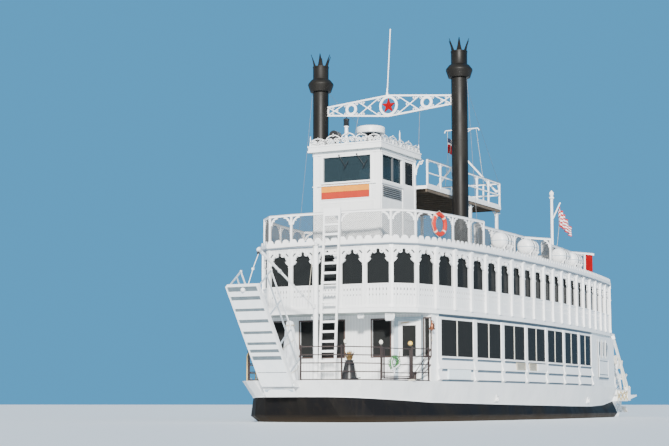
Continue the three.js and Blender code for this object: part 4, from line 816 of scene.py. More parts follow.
# %% Mouldings on the arcade
mesh = bmesh.new()
RING_PROUD = 0.014
for i in range(ROUND_TO):
    middle, along, out, length = bay_of(plan, i)
    if i == DOORWAY_BAY:
        continue
    half = (length - POST_WIDE) / 2
    place = stand(middle, along, UP)
    for side in (1, -1):
        centre = (side * EYE["share"] * half, EYE["z"])
        plate(mesh, circle(centre, EYE["ring"], 12), place, RING_PROUD, [circle(centre, EYE["hole"], 8)])
    sill = place @ Vector((0, SILL_Z - 0.024, 0.011))
    beam(mesh, sill - along * (half + 0.02), sill + along * (half + 0.02), 0.022, 0.040)
    apron = place @ Vector((0, 3.955, 0.009))
    beam(mesh, apron - along * (length / 2 - 0.05), apron + along * (length / 2 - 0.05), 0.018, 0.10)
    frieze = place @ Vector((0, 6.040, 0.010))
    beam(mesh, frieze - along * (length / 2 - 0.05), frieze + along * (length / 2 - 0.05), 0.020, 0.055)
POST_PROUD = {"front": 0.026, "side": 0.068}
CAPITALS = [(3.902, 4.020), (5.385, 5.440), (5.960, 6.100)]
for i in range(ROUND_TO):
    outward = outward_at(plan, i)
    proud = POST_PROUD["front"] if 0 < i < FRONT_TO else POST_PROUD["side"]
    foot = Vector((*plan[i], 0)) + outward * (proud / 2 - 0.010)
    beam(mesh, foot + UP * 3.902, foot + UP * 6.100, 0.126, proud + 0.020, over=outward)
    for low, high in CAPITALS:
        beam(mesh, foot + UP * (low + 0.001), foot + UP * (high - 0.001), 0.148, proud + 0.044,
             over=outward)
hand_over("arcade_mouldings", mesh, white_trim)

# %% Window frames behind the screen
FRAME_BACK = 0.090
mesh = bmesh.new()
inner = inset(plan, FRAME_BACK)
for i in range(ROUND_TO):
    foot = Vector((*inner[i], WALL_Z[0] + 0.002))
    beam(mesh, foot, foot + UP * 2.2, 0.105, 0.022, over=outward_at(plan, i))
    middle, along, out, length = bay_of(inner, i)
    if i == DOORWAY_BAY:
        continue
    for z in (4.705, 6.06):
        beam(mesh, middle - along * (length / 2 - 0.05) + UP * z,
             middle + along * (length / 2 - 0.05) + UP * z,
             0.022, 0.07)
hand_over("saloon_window_frames", mesh, rail_top_grey)

# %% [markdown]
# ## Third deck edge and rails
#
# The third deck ends in a white fascia and a crest of sawn lobes, with a grey-blue tube under the fascia as
# painted shade for the shadow beneath the deck's edge. The rail behind it has a post at each bay, with a
# pair of curved brackets that make an arch of each bay, and diamond netting behind the bars. It steps
# inboard behind the rafts, and abaft them it crosses the deck and leaves the roof bare. The lobes are drawn
# by a
# formula: half an ellipse for each, with a narrow notch between.

# %% Crest and edge shade
CREST = {"out": 0.083, "thick": 0.022, "low": 6.150, "valley": 6.254, "peak": 6.408, "pitch": 0.300,
         "notch": 0.034}


def crest_outline(length):
    """The board's outline for one bay, with whole lobes."""
    count = round(length / CREST["pitch"])
    step = length / count
    points = [(-length / 2, CREST["low"]), (length / 2, CREST["low"])]
    for k in reversed(range(count)):
        centre = -length / 2 + step * (k + 0.5)
        half = step / 2 - CREST["notch"]
        base = CREST["valley"] + 0.034
        points.append((centre + step / 2, CREST["valley"]))
        for turn in (0, 28, 58, 75, 90, 105, 122, 152, 180):
            dip = 0.014 if turn == 90 else 0.0
            points.append((centre + half * math.cos(math.radians(turn)),
                           base + (CREST["peak"] - base) * math.sin(math.radians(turn)) - dip))
    points.append((-length / 2, CREST["valley"]))
    return points


crest_line = inset(plan, -CREST["out"])
mesh = bmesh.new()
for i in range(ROUND_TO):
    middle, along, out, length = bay_of(crest_line, i)
    plate(mesh, crest_outline(length), stand(middle - out * CREST["thick"], along, UP), CREST["thick"])
hand_over("deck_crest", mesh, white_trim)

# A grey-blue tube under the fascia: painted shade for the shadow beneath the deck's edge.
mesh = bmesh.new()
tube(mesh, [(x, y, 6.096) for x, y in inset(plan, -0.066)], 0.034, 8, closed=True)
hand_over("deck_edge_shade", mesh, shade_and_cap_grey)

# %% Where the rail runs
RAIL = {"inset": 0.060, "behind_rafts": 0.780, "turn_in": 0.430, "top": 7.300, "last_post": 19,
        "aft_bays": 6}
RAFT_POSTS = [(8, 12), (14, 18)]
NO_POST = (FRONT_BAYS_A_SIDE, FRONT_BAYS_A_SIDE + 2)


def port_post(post):
    """The place in the plan of a port post, counted from the bow."""
    return FRONT_TO - FRONT_BAYS_A_SIDE + post


def starboard_post(post):
    """The place in the plan of a starboard post, counted from the bow."""
    return STERN_TO + len(port_posts) - 1 - post


by_rafts = {place(post) for first, last in RAFT_POSTS for post in range(first, last + 1)
            for place in (port_post, starboard_post)}
at_edge, inboard = inset(plan, RAIL["inset"]), inset(plan, RAIL["behind_rafts"])
along_deck = [inboard[i] if i in by_rafts else at_edge[i] for i in range(ROUND_TO)]
for i in (port_post(RAFT_POSTS[0][0]), starboard_post(RAFT_POSTS[0][0])):
    along_deck[i] = (along_deck[i][0] + RAIL["turn_in"], along_deck[i][1])
RAIL_PORT_TO = port_post(RAIL["last_post"])
RAIL_AFT_TO = RAIL_PORT_TO + RAIL["aft_bays"]
aft_x, aft_half = along_deck[RAIL_PORT_TO]
across_deck = [(aft_x, aft_half * (1 - 2 * (i + 1) / RAIL["aft_bays"]))
               for i in range(RAIL["aft_bays"] - 1)]
rail_plan = along_deck[:RAIL_PORT_TO + 1] + across_deck + along_deck[starboard_post(RAIL["last_post"]):]
RAIL_ROUND = len(rail_plan)
RAIL_STRETCHES = {"front": (0, FRONT_TO), "port": (FRONT_TO, RAIL_PORT_TO),
                  "aft": (RAIL_PORT_TO, RAIL_AFT_TO),
                  "starboard": (RAIL_AFT_TO, RAIL_ROUND)}
rail_posts = [i for i in range(RAIL_ROUND) if i not in NO_POST]
print(len(rail_posts), "posts in the third deck's rail")

# %% Brackets and caps
BRACKET = {"reach": 0.300, "wide": 0.060, "thick": 0.028, "post": 0.035, "under": 7.245}


def bracket_outline(side):
    """A curved arm from the post up to the rail, with a cusp on its hollow side."""
    reach, wide = BRACKET["reach"], BRACKET["wide"]
    centre = (BRACKET["post"] + reach, BRACKET["under"] - reach)
    hollow = reach - wide
    outer = [(centre[0] + reach * math.cos(math.radians(t)), centre[1] + reach * math.sin(math.radians(t)))
             for t in range(90, 181, 15)]
    inner = []
    for t in (180, 165, 150, 140, 135, 130, 120, 105, 90):
        r = hollow - (0.050 if t == 135 else 0.0)
        inner.append((centre[0] + r * math.cos(math.radians(t)), centre[1] + r * math.sin(math.radians(t))))
    return [(side * u, z) for u, z in outer + inner]


mesh = bmesh.new()
for i in rail_posts:
    for bay, side in ((i, 1), (i - 1, -1)):
        middle, along, out, length = bay_of(rail_plan, bay)
        origin = Vector((*rail_plan[i], 0)) - out * (BRACKET["thick"] / 2)
        plate(mesh, bracket_outline(side), stand(origin, along, UP), BRACKET["thick"])
hand_over("rail_brackets", mesh, white_trim)

mesh = bmesh.new()
for i in range(RAIL_ROUND):
    start, end = (Vector((*rail_plan[k % RAIL_ROUND], RAIL["top"] + 0.006)) for k in (i, i + 1))
    beam(mesh, start, end, 0.084, 0.024)
hand_over("rail_capping", mesh, rail_top_grey)

mesh = bmesh.new()
for i in rail_posts:
    out = outward_at(rail_plan, i)
    foot = Vector((*rail_plan[i], 6.252))
    beam(mesh, foot, foot + UP * 0.090, 0.100, 0.100, over=out)
    beam(mesh, foot + UP * 0.965, foot + UP * 0.990, 0.096, 0.096, over=out)
hand_over("rail_post_feet", mesh, white_trim)

# %% Diamond netting
NET = {"pitch": 0.068, "radius": 0.0055, "low": 6.275, "high": 7.235}


def netting(mesh, start, end, low, high, pitch, radius):
    """Two sets of slanting wires between two posts."""
    start, end = Vector(start), Vector(end)
    along = (end - start).normalized()
    length, tall = (end - start).length, high - low
    count = int((length + tall) / pitch)
    for lean in (1, -1):
        for k in range(count + 1):
            u = -tall + pitch * (k + 0.5)
            a, b = max(u, 0.0), min(u + tall, length)
            if b - a < pitch / 2:
                continue
            ends = [(a, a - u), (b, b - u)] if lean > 0 else [(a, tall - (a - u)), (b, tall - (b - u))]
            tube(mesh, [start + along * p + UP * (low + q) for p, q in ends], radius, 3)


for side, (first, last) in RAIL_STRETCHES.items():
    mesh = bmesh.new()
    for i in range(first, last):
        start, end = Vector((*rail_plan[i], 0)), Vector((*rail_plan[(i + 1) % RAIL_ROUND], 0))
        netting(mesh, start, end, NET["low"], NET["high"], NET["pitch"], NET["radius"])
    hand_over("rail_net_" + side, mesh, net_wire)

RED_PANEL = {"wide": 0.480, "low": 6.330, "high": 7.220}
mesh, posts = bmesh.new(), bmesh.new()
for i in (RAIL_PORT_TO - 1, RAIL_AFT_TO):
    middle, along, out, length = bay_of(rail_plan, i)
    corner = (1 if i < RAIL_PORT_TO else -1) * length / 2
    inner = corner * (1 - 2 * RED_PANEL["wide"] / length)
    near, far = sorted((inner, corner - math.copysign(0.045, corner)))
    panel_outline = [(near, RED_PANEL["low"]), (far, RED_PANEL["low"]), (far, RED_PANEL["high"]),
                     (near, RED_PANEL["high"])]
    plate(mesh, panel_outline, stand(middle + out * 0.012, along, UP), 0.014)
    foot = middle + along * (inner - math.copysign(0.036, corner)) + UP * 6.292
    beam(posts, foot, foot + UP * 0.936, 0.066, 0.066, over=out)
hand_over("rail_red_panels", mesh, star_red)
hand_over("rail_panel_posts", posts, white_trim)

# %% [markdown]
# ## Life rafts
#
# Inflatable rafts are packed in white shells: two halves that meet in a flange round the middle, held down
# by straps over a cradle. The shell is turned about its long axis, and the flange is a separate flat ring,
# coloured blue-grey as painted shade along the seam.

# %% Rafts
RAFT = {"z": 6.790, "inboard": 0.380}
RAFT_RACKS = {"fore": (4.780, 2.070), "aft": (-2.180, -4.120)}
raft_profile = [(0.0, -0.550), (0.140, -0.545), (0.235, -0.515), (0.295, -0.455), (0.320, -0.380),
                (0.320, -0.300),
                (0.330, -0.290), (0.330, -0.235), (0.320, -0.225), (0.320, -0.035), (0.330, -0.025)]
raft_profile += [(r, -h) for r, h in reversed(raft_profile)]


def raft_rack(name, side, stations):
    """Two shells with their straps, and the cradle that they lie in."""
    shells, seam_shade_rings, straps, cradle = bmesh.new(), bmesh.new(), bmesh.new(), bmesh.new()
    for x in stations:
        y = side * (half_breadth(x, UPPER_EDGE) - RAFT["inboard"])
        place = stand((x, y, RAFT["z"]), PORT, UP)
        turned(shells, raft_profile, 20, place)
        flange = [(0.556 * math.copysign(abs(math.cos(t)) ** 0.45, math.cos(t)),
                   0.337 * math.copysign(abs(math.sin(t)) ** 0.45, math.sin(t)))
                  for t in (2 * math.pi * k / 28 for k in range(28))]
        # The flange ring is blue-grey, painted shade along the seam.
        plate(seam_shade_rings, flange, stand((x, y, RAFT["z"] - 0.012), FORWARD, PORT), 0.024)
        for dx in (-0.16, 0.16):
            band = [(0.324, dx - 0.022), (0.3335, dx - 0.020), (0.3335, dx + 0.020), (0.324, dx + 0.022)]
            turned(straps, band, 20, place)
        turned(straps, [(0.0, 0.0), (0.036, 0.0), (0.036, 0.075), (0.0, 0.075)], 10,
               stand((x + 0.16, y + side * 0.300, RAFT["z"] + 0.06), FORWARD, UP))
        for dx in (-0.36, 0.36):
            saddle = arc_strip((0, 0), 0.346, 0.034, 205, 335, 8)
            plate(cradle, saddle, stand((x + dx - 0.03, y, RAFT["z"]), PORT, UP), 0.06)
            for dy in (-0.24, 0.24):
                beam(cradle, (x + dx, y + dy, 6.252), (x + dx, y + dy * 0.92, RAFT["z"] - 0.20), 0.05, 0.05)
            beam(cradle, (x + dx, y - 0.27, 6.275), (x + dx, y + 0.27, 6.275), 0.05, 0.045)
        for dy in (-0.24, 0.24):
            beam(cradle, (x - 0.44, y + dy, 6.320), (x + 0.44, y + dy, 6.320), 0.045, 0.045)
        for k in range(5):
            dx = -0.24 + 0.12 * k
            beam(cradle, (x + dx, y + side * 0.255, 6.30), (x + dx, y + side * 0.300, 6.64), 0.040, 0.014)
    piece = hand_over("raft_shells_" + name, shells, raft_shell)
    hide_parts("rafts_" + name)
    hand_over("raft_seam_shades_" + name, seam_shade_rings, shade_blue)
    hand_over("raft_straps_" + name, straps, rubber)
    hand_over("raft_cradle_" + name, cradle, white_trim)


for rack, stations in RAFT_RACKS.items():
    raft_rack("port_" + rack, 1, stations)
    raft_rack("starboard_" + rack, -1, stations)

# %% Lifebuoy trim
BUOY = {"bay": FRONT_TO, "forward": 0.420, "ring": 0.355, "tube": 0.075, "z": 6.880}
middle, along, out, length = bay_of(rail_plan, BUOY["bay"])
centre = middle + out * (0.035 + BUOY["tube"] + 0.0003) - along * BUOY["forward"] + UP * BUOY["z"]
tape, line = bmesh.new(), bmesh.new()
for k in range(4):
    turn = math.radians(45 + 90 * k)
    hub = centre + along * (BUOY["ring"] * math.cos(turn)) + UP * (BUOY["ring"] * math.sin(turn))
    tangent = along * -math.sin(turn) + UP * math.cos(turn)
    band = [(0.073, -0.035), (0.0795, -0.033), (0.0795, 0.033), (0.073, 0.035)]
    turned(tape, band, 16, stand(hub, tangent.cross(out) if k % 2 else out.cross(tangent) * -1, out))
    ends = [turn, turn + math.radians(45), turn + math.radians(90)]
    path = [centre + (along * math.cos(t) + UP * math.sin(t)) * (0.446 + 0.030 * (n == 1))
            for n, t in enumerate(ends)]
    tube(line, path, 0.008, 6)
hand_over("buoy_bands", tape, buoy_tape)
hand_over("buoy_line", line, old_rope)

# %% [markdown]
# ## Wheelhouse
#
# The wheelhouse is a plain panelled box dressed up with joinery: deep frames round the windows, a fascia
# with a lace cresting of scrolls round the roof, turned spikes at its corners and a lantern on a post. The
# scrolls are flat strips sawn along spirals. A strip that follows a path covers all of them.

# %% Strips along a path
def strip(mesh, path, wide, place, thick):
    """A flat sawn strip that follows a path drawn in a plate's frame."""
    points = [Vector((u, v)) for u, v in path]
    left, right = [], []
    for i, point in enumerate(points):
        before, after = points[max(i - 1, 0)], points[min(i + 1, len(points) - 1)]
        along = (after - before).normalized()
        side = Vector((-along.y, along.x)) * (wide / 2)
        left.append(point + side)
        right.append(point - side)
    for i in range(len(points) - 1):
        quad = [left[i], right[i], right[i + 1], left[i + 1]]
        back = [mesh.verts.new(place @ Vector((p.x, p.y, 0))) for p in quad]
        front = [mesh.verts.new(place @ Vector((p.x, p.y, thick))) for p in quad]
        mesh.faces.new(back)
        mesh.faces.new(front[::-1])
        mesh.faces.new((back[0], front[0], front[1], back[1]))
        mesh.faces.new((back[2], front[2], front[3], back[3]))
        if i == 0:
            mesh.faces.new((back[3], front[3], front[0], back[0]))
        if i == len(points) - 2:
            mesh.faces.new((back[1], front[1], front[2], back[2]))


SCROLL_STEPS = 14


def scroll(start, size, turns=1.25, mirror=1, up=1):
    """A spiral path that starts at a point and curls in."""
    points = []
    for k in range(SCROLL_STEPS + 1):
        share = k / SCROLL_STEPS
        turn = math.pi * (1 - 2 * turns * share)
        radius = size * (1 - 0.78 * share)
        points.append((start[0] + mirror * (size + radius * math.cos(turn)),
                       start[1] + up * radius * math.sin(turn)))
    return points


# %% Wheelhouse walls
HOUSE = {"front": 10.820, "half": 1.360}
WINDOW = {"low": 8.590, "high": 9.500, "half": 0.960, "side": (9.050, 10.700)}
ROOF = {"front": 11.020, "aft": 7.630, "half": 1.480, "high": 9.940}
front_place = stand((HOUSE["front"], 0, 0), PORT, UP)


def on_wall(x, side):
    """Where x lies across the frame of a side wall, which runs aft to port and forward to starboard."""
    return -side * x


def window_frame(mesh, place, low, high, wide, proud):
    """A mitred frame round an opening, given by two corners in the wall's frame."""
    (u0, v0), (u1, v1) = low, high
    outline = [(u0 - wide, v0 - wide), (u1 + wide, v0 - wide), (u1 + wide, v1 + wide),
               (u0 - wide, v1 + wide)]
    plate(mesh, outline, place, proud, [[(u0, v0), (u1, v0), (u1, v1), (u0, v1)]])


mesh = bmesh.new()
window_frame(mesh, front_place, (-WINDOW["half"], WINDOW["low"]), (WINDOW["half"], WINDOW["high"]),
             0.085, 0.026)
for corner in (-1, 1):
    beam(mesh, front_place @ Vector((corner * 1.275, 6.30, 0.012)),
         front_place @ Vector((corner * 1.275, 9.69, 0.012)),
         0.024, 0.17, over=PORT)
beam(mesh, front_place @ Vector((-1.19, 8.465, 0.035)), front_place @ Vector((1.19, 8.465, 0.035)), 0.070,
     0.035)
beam(mesh, front_place @ Vector((-1.36, 9.640, 0.020)), front_place @ Vector((1.36, 9.640, 0.020)), 0.040,
     0.12)
for side in (1, -1):
    across = FORWARD * -side
    place = stand((0, side * HOUSE["half"], 0), across, UP)
    spans = sorted((on_wall(WINDOW["side"][0], side), on_wall(WINDOW["side"][1], side)))
    window_frame(mesh, place, (spans[0], WINDOW["low"]), (spans[1], WINDOW["high"]), 0.075, 0.024)
    sill = sorted((on_wall(8.96, side), on_wall(10.80, side)))
    beam(mesh, place @ Vector((sill[0], 8.465, 0.030)), place @ Vector((sill[1], 8.465, 0.030)), 0.060,
         0.035)
    head = sorted((on_wall(7.86, side), on_wall(10.82, side)))
    beam(mesh, place @ Vector((head[0], 9.640, 0.018)), place @ Vector((head[1], 9.640, 0.018)), 0.036,
         0.11)
    for x in (7.91, 8.965, 10.745):
        beam(mesh, place @ Vector((on_wall(x, side), 6.30, 0.011)),
             place @ Vector((on_wall(x, side), 9.58, 0.011)), 0.022, 0.085, over=across)
hand_over("wheelhouse_joinery", mesh, white_trim)
mesh = bmesh.new()
for side in (1, -1):
    across = FORWARD * -side
    place = stand((0, side * HOUSE["half"], 0), across, UP)
    foot, head = Vector((-side * 9.80, 8.592, -0.030)), Vector((-side * 9.80, 9.498, -0.030))
    beam(mesh, place @ foot, place @ head, 0.052, 0.077, over=across)
hand_over("wheelhouse_mullions", mesh, mullion_grey)
for side, name in ((1, "port"), (-1, "starboard")):
    mesh = bmesh.new()
    plate(mesh, [(8.066, 8.642), (8.786, 8.642), (8.786, 9.484), (8.066, 9.484)],
          stand((0, side * (HOUSE["half"] - 0.020), 0), FORWARD, UP), 0.008)
    hand_over("house_door_glass_" + name, mesh, saloon_tint, body="house_door_" + name)

# %% Louvres and the blank band
mesh = bmesh.new()
LOUVRE = {"x": (9.10, 10.66), "z": (7.98, 8.40), "slats": 6}
for side in (1, -1):
    place = stand((0, side * HOUSE["half"], 0), FORWARD * -side, UP)
    for k in range(LOUVRE["slats"]):
        z = LOUVRE["z"][0] + (k + 0.5) * (LOUVRE["z"][1] - LOUVRE["z"][0]) / LOUVRE["slats"]
        ends = [place @ Vector((-side * x, z, 0.016)) for x in LOUVRE["x"]]
        lean = (UP + place.col[2].xyz * 0.9).normalized()
        beam(mesh, ends[0], ends[1], 0.012, 0.062, over=lean.cross(FORWARD) * -side)
hand_over("wheelhouse_louvres", mesh, lamp_black)

mesh = bmesh.new()
BAND = {"from": -1.040, "to": 0.920, "low": 7.970, "split": 8.225, "high": 8.500}
for name, low, high, finish in (("lower", BAND["low"], BAND["split"], sign_red),
                                ("upper", BAND["split"] + 0.004, BAND["high"], sign_yellow)):
    board = bmesh.new()
    plate(board, [(BAND["from"], low), (BAND["to"], low), (BAND["to"], high), (BAND["from"], high)],
          front_place,
          0.018)
    hand_over("house_band_" + name, board, finish)
window_frame(mesh, front_place, (BAND["from"], BAND["low"]), (BAND["to"], BAND["high"]), 0.030, 0.026)
for k in range(14):
    scallop = BAND["from"] + (k + 0.5) * (BAND["to"] - BAND["from"]) / 14
    arc = [(scallop + 0.062 * math.cos(t), BAND["high"] - 0.055 * math.sin(t)) for t in
           (math.pi * j / 8 for j in range(9))]
    strip(mesh, arc, 0.018, front_place @ Matrix.Translation((0, 0, 0.018)), 0.006)
for z in (7.30, 6.60):
    window_frame(mesh, front_place, (-1.10, z), (1.10, z + 0.52), 0.030, 0.012)
hand_over("house_band_frame", mesh, white_trim)

# %% Wipers
mesh = bmesh.new()
for y, lean in ((0.42, -0.30), (-0.30, -0.26)):
    top = front_place @ Vector((y, 9.545, 0.045))
    foot = front_place @ Vector((y - lean, 9.12, 0.035))
    tube(mesh, [top, foot], 0.009, 6)
    blade = foot + Vector((0, 0.02, 0.05))
    tube(mesh, [blade - Vector((0, 0.10, 0.16)), blade + Vector((0, 0.10, 0.16))], 0.011, 6)
    turned(mesh, [(0, 0), (0.030, 0), (0.030, 0.035), (0, 0.035)], 10,
           front_place @ Matrix.Translation((y, 9.545, 0.02)))
hand_over("window_wipers", mesh, lamp_black)

# %% [markdown]
# ### Roof fascia and cresting
#
# The fascia is a plain board with a bead along its foot. The lace above it is made panel by panel: two
# scrolls that face each other, a low arch over them and a leaf between. On the front it rises to the
# middle, where the lantern post stands.

# %% Cresting
CREST_Z = ROOF["high"]


def lace_panel(mesh, place, u0, u1, tall):
    """One panel of scrollwork between two points of the roof's edge."""
    middle, half = (u0 + u1) / 2, (u1 - u0) / 2
    size = min(half * 0.36, tall * 0.36)
    for side in (1, -1):
        start = (middle + side * half * 0.98, tall * 0.30)
        strip(mesh, scroll(start, size, mirror=-side), 0.030, place, 0.022)
        strip(mesh, scroll((middle + side * half * 0.10, tall * 0.36), size * 0.8, mirror=side), 0.026,
              place, 0.022)
        strip(mesh, [(middle + side * half, 0.0), (middle + side * half * 0.98, tall * 0.30)], 0.030,
              place, 0.022)
        strip(mesh, [(middle + side * half * 0.10, 0.0), (middle + side * half * 0.10, tall * 0.36)],
              0.026, place, 0.022)
    arch = [(middle + half * math.cos(t), tall * (0.30 + 0.55 * math.sin(t)))
            for t in (math.pi * k / 12 for k in range(13))]
    strip(mesh, arch, 0.030, place, 0.022)
    leaf_tip = tall * 1.02
    plate(mesh, [(middle - 0.045, tall * 0.80), (middle, tall * 0.72), (middle + 0.045, tall * 0.80),
                 (middle + 0.022, tall * 0.90), (middle, leaf_tip), (middle - 0.022, tall * 0.90)], place,
          0.022)
    strip(mesh, [(u0, 0.012), (u1, 0.012)], 0.028, place, 0.022)


mesh = bmesh.new()
front = stand((ROOF["front"] - 0.05, 0, CREST_Z), PORT, UP)
for u0, u1, tall in ((-1.42, -0.78, 0.30), (-0.78, -0.16, 0.40), (-0.16, 0.42, 0.44), (0.42, 0.92, 0.36),
                     (0.92, 1.42, 0.30)):
    lace_panel(mesh, front, u0, u1, tall)
for side in (1, -1):
    place = stand((0, side * (ROOF["half"] - 0.05), CREST_Z), FORWARD * -side, UP)
    edges = [10.97, 10.30, 9.62, 8.95, 8.28, 7.68]
    for k, (x0, x1) in enumerate(zip(edges, edges[1:])):
        lace_panel(mesh, place, *sorted((-side * x0, -side * x1)), 0.34 if k % 2 else 0.28)
aft = stand((ROOF["aft"] + 0.05, 0, CREST_Z), PORT * -1, UP)
for u0, u1 in ((-1.42, -0.47), (-0.47, 0.47), (0.47, 1.42)):
    lace_panel(mesh, aft, u0, u1, 0.30)
hand_over("roof_cresting", mesh, white_trim)

# %% Fascia, spikes and brackets
mesh = bmesh.new()
for x0, x1, y0, y1 in ((ROOF["front"], ROOF["front"], -1.50, 1.50), (ROOF["aft"], ROOF["aft"], -1.50, 1.50),
                       (ROOF["aft"], ROOF["front"], 1.48, 1.48),
                       (ROOF["aft"], ROOF["front"], -1.48, -1.48)):
    for z, deep, tall in ((9.735, 0.040, 0.060), (9.915, 0.046, 0.045)):
        beam(mesh, (x0, y0, z), (x1, y1, z), deep, tall)
SPIKE = [(0.0, 0.0), (0.050, 0.0), (0.050, 0.06), (0.030, 0.09), (0.042, 0.14), (0.030, 0.19),
         (0.022, 0.24),
         (0.018, 0.50), (0.0, 0.62)]
SPIKES = [(10.96, -1.42, 0.63), (7.70, 1.42, 0.57), (7.70, -1.42, 0.57), (9.35, 1.42, 1.03),
          (9.35, -1.42, 1.03)]
for x, y, tall in SPIKES:
    turned(mesh, [(r, h * tall) for r, h in SPIKE], 10, Matrix.Translation((x, y, CREST_Z)))
for side in (1, -1):
    place = stand((7.86, side * 1.36, 9.66), PORT * side, UP)
    strip(mesh, [(0.02, -0.55), (0.05, -0.34), (0.14, -0.16), (0.34, -0.03)], 0.045, place, 0.05)
    strip(mesh, scroll((0.30, -0.10), 0.075, mirror=-1, up=-1), 0.030, place, 0.05)
hand_over("roof_fascia_and_spikes", mesh, white_trim)

# %% Lantern and drum
mesh = bmesh.new()
LANTERN = Matrix.Translation((10.850, 0, 9.940))
post = bmesh.new()
turned(post, [(0.0, 0.0), (0.100, 0.0), (0.100, 0.05), (0.066, 0.09), (0.060, 0.60), (0.092, 0.63),
              (0.092, 0.655)],
       14, LANTERN)
hand_over("lantern_post", post, white_trim)
turned(mesh, [(0.0, 0.885), (0.120, 0.885), (0.122, 0.905), (0.060, 0.945), (0.028, 0.955), (0.022, 0.985),
              (0.0, 1.0)], 14, LANTERN)
for k in range(6):
    turn = math.radians(60 * k)
    foot = LANTERN @ Vector((0.094 * math.cos(turn), 0.094 * math.sin(turn), 0.66))
    beam(mesh, foot, foot + UP * 0.23, 0.012, 0.012)
hand_over("lantern_frame", mesh, lamp_black)
mesh = bmesh.new()
turned(mesh, [(0.0, 0.660), (0.084, 0.660), (0.084, 0.880), (0.0, 0.880)], 14, LANTERN)
hand_over("lantern_glass", mesh, saloon_tint)

mesh = bmesh.new()
DRUM = Matrix.Translation((9.100, 0.115, 9.940))
turned(mesh, [(0.0, 0.0), (0.250, 0.0), (0.250, 0.025), (0.185, 0.050), (0.178, 0.560), (0.260, 0.600),
              (0.360, 0.604),
              (0.360, 0.632), (0.0, 0.632)], 24, DRUM)
for k in range(4):
    turn = math.radians(45 + 90 * k)
    out = Vector((math.cos(turn), math.sin(turn), 0))
    foot = DRUM @ (out * 0.300)
    beam(mesh, foot, DRUM @ (out * 0.400 + UP * 0.615), 0.030, 0.030)
hand_over("drum_pedestal", mesh, lamp_black)
mesh = bmesh.new()
turned(mesh, [(0.0, 0.634), (0.500, 0.634), (0.526, 0.655), (0.526, 0.840), (0.515, 0.870), (0.440, 0.902),
              (0.230, 0.920), (0.0, 0.924)], 32, DRUM)
turned(mesh, [(0.524, 0.690), (0.532, 0.695), (0.532, 0.707), (0.524, 0.712)], 32, DRUM)
turned(mesh, [(0.524, 0.790), (0.532, 0.795), (0.532, 0.807), (0.524, 0.812)], 32, DRUM)
hand_over("drum_cover", mesh, raft_shell)

# %% [markdown]
# ## Funnels, truss and platform
#
# Each funnel is rolled plate: one long smooth tube, a round collar that swells out below the top, and a
# crown of six horns. The horns curve outward and taper to a point, which a bent and tapered prism gives.
# Between the funnels hangs a light truss with scrolls in its corners.

# %% Funnels
STACK = {"x": 7.330, "y": 2.944, "radius": 0.305, "foot": 6.2503, "collar": 13.030, "top": 13.760}
HORNS = 6
CROWN_TURN = 24
# Share of the height, reach outwards and half width of a horn, from its root to its point
HORN_ROWS = [(0.0, -0.004, 0.125), (0.12, 0.000, 0.104), (0.25, 0.010, 0.084), (0.42, 0.030, 0.064),
             (0.62, 0.062, 0.045), (0.80, 0.096, 0.029), (0.92, 0.121, 0.018), (1.0, 0.135, 0.006)]


HORN_TALL = 0.510


def horn(mesh, place, turn):
    """One horn of the crown: broad at the funnel's rim, bending out, then ending in a point."""
    out = Vector((math.cos(turn), math.sin(turn), 0))
    side = Vector((-out.y, out.x, 0))
    rows = []
    for share, reach, half in HORN_ROWS:
        thick = 0.030 - 0.018 * share
        centre = out * (STACK["radius"] - 0.016 + reach) + UP * (STACK["top"] - 0.055 + share * HORN_TALL)
        bow = out * (half * half / (2 * STACK["radius"]))
        rows.append([mesh.verts.new(place @ p) for p in (centre - side * half - bow, centre + out * thick,
                                                         centre + side * half - bow, centre - out * thick)])
    for a, b in zip(rows, rows[1:]):
        for k in range(4):
            mesh.faces.new((a[k], a[(k + 1) % 4], b[(k + 1) % 4], b[k]))
    mesh.faces.new(rows[0][::-1])
    mesh.faces.new(rows[-1])


for name, side in (("port", 1), ("starboard", -1)):
    mesh = bmesh.new()
    place = Matrix.Translation((STACK["x"], side * STACK["y"], 0))
    r, c, top = STACK["radius"], STACK["collar"], STACK["top"]
    shell = [(0.0, STACK["foot"]), (r + 0.085, STACK["foot"]), (r + 0.085, 6.285), (r + 0.030, 6.300),
             (r + 0.012, 6.380), (r, 6.400)]
    shell += [(r, c - 0.300), (r + 0.020, c - 0.298)]
    turned(mesh, shell, 40, place)
    neck = [(r + 0.020, c - 0.299), (r + 0.105, c - 0.285), (r + 0.120, c - 0.235), (r + 0.190, c - 0.030),
            (r + 0.195, c - 0.005), (r + 0.188, c + 0.045), (r + 0.075, c + 0.185), (r + 0.015, c + 0.220)]
    turned(mesh, neck, 40, place)
    head = [(r + 0.012, c + 0.212), (r + 0.006, c + 0.236), (r, c + 0.246), (r, top - 0.060),
            (r + 0.010, top - 0.055),
            (r + 0.010, top), (r - 0.014, top), (r - 0.030, top - 0.06), (r - 0.030, top - 0.42),
            (0.0, top - 0.42)]
    turned(mesh, head, 40, place)
    for k in range(HORNS):
        horn(mesh, place, math.radians(CROWN_TURN + 360 / HORNS * k))
    funnel = hand_over("funnel_" + name, mesh, funnel_black)
    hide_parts("stack_" + name)

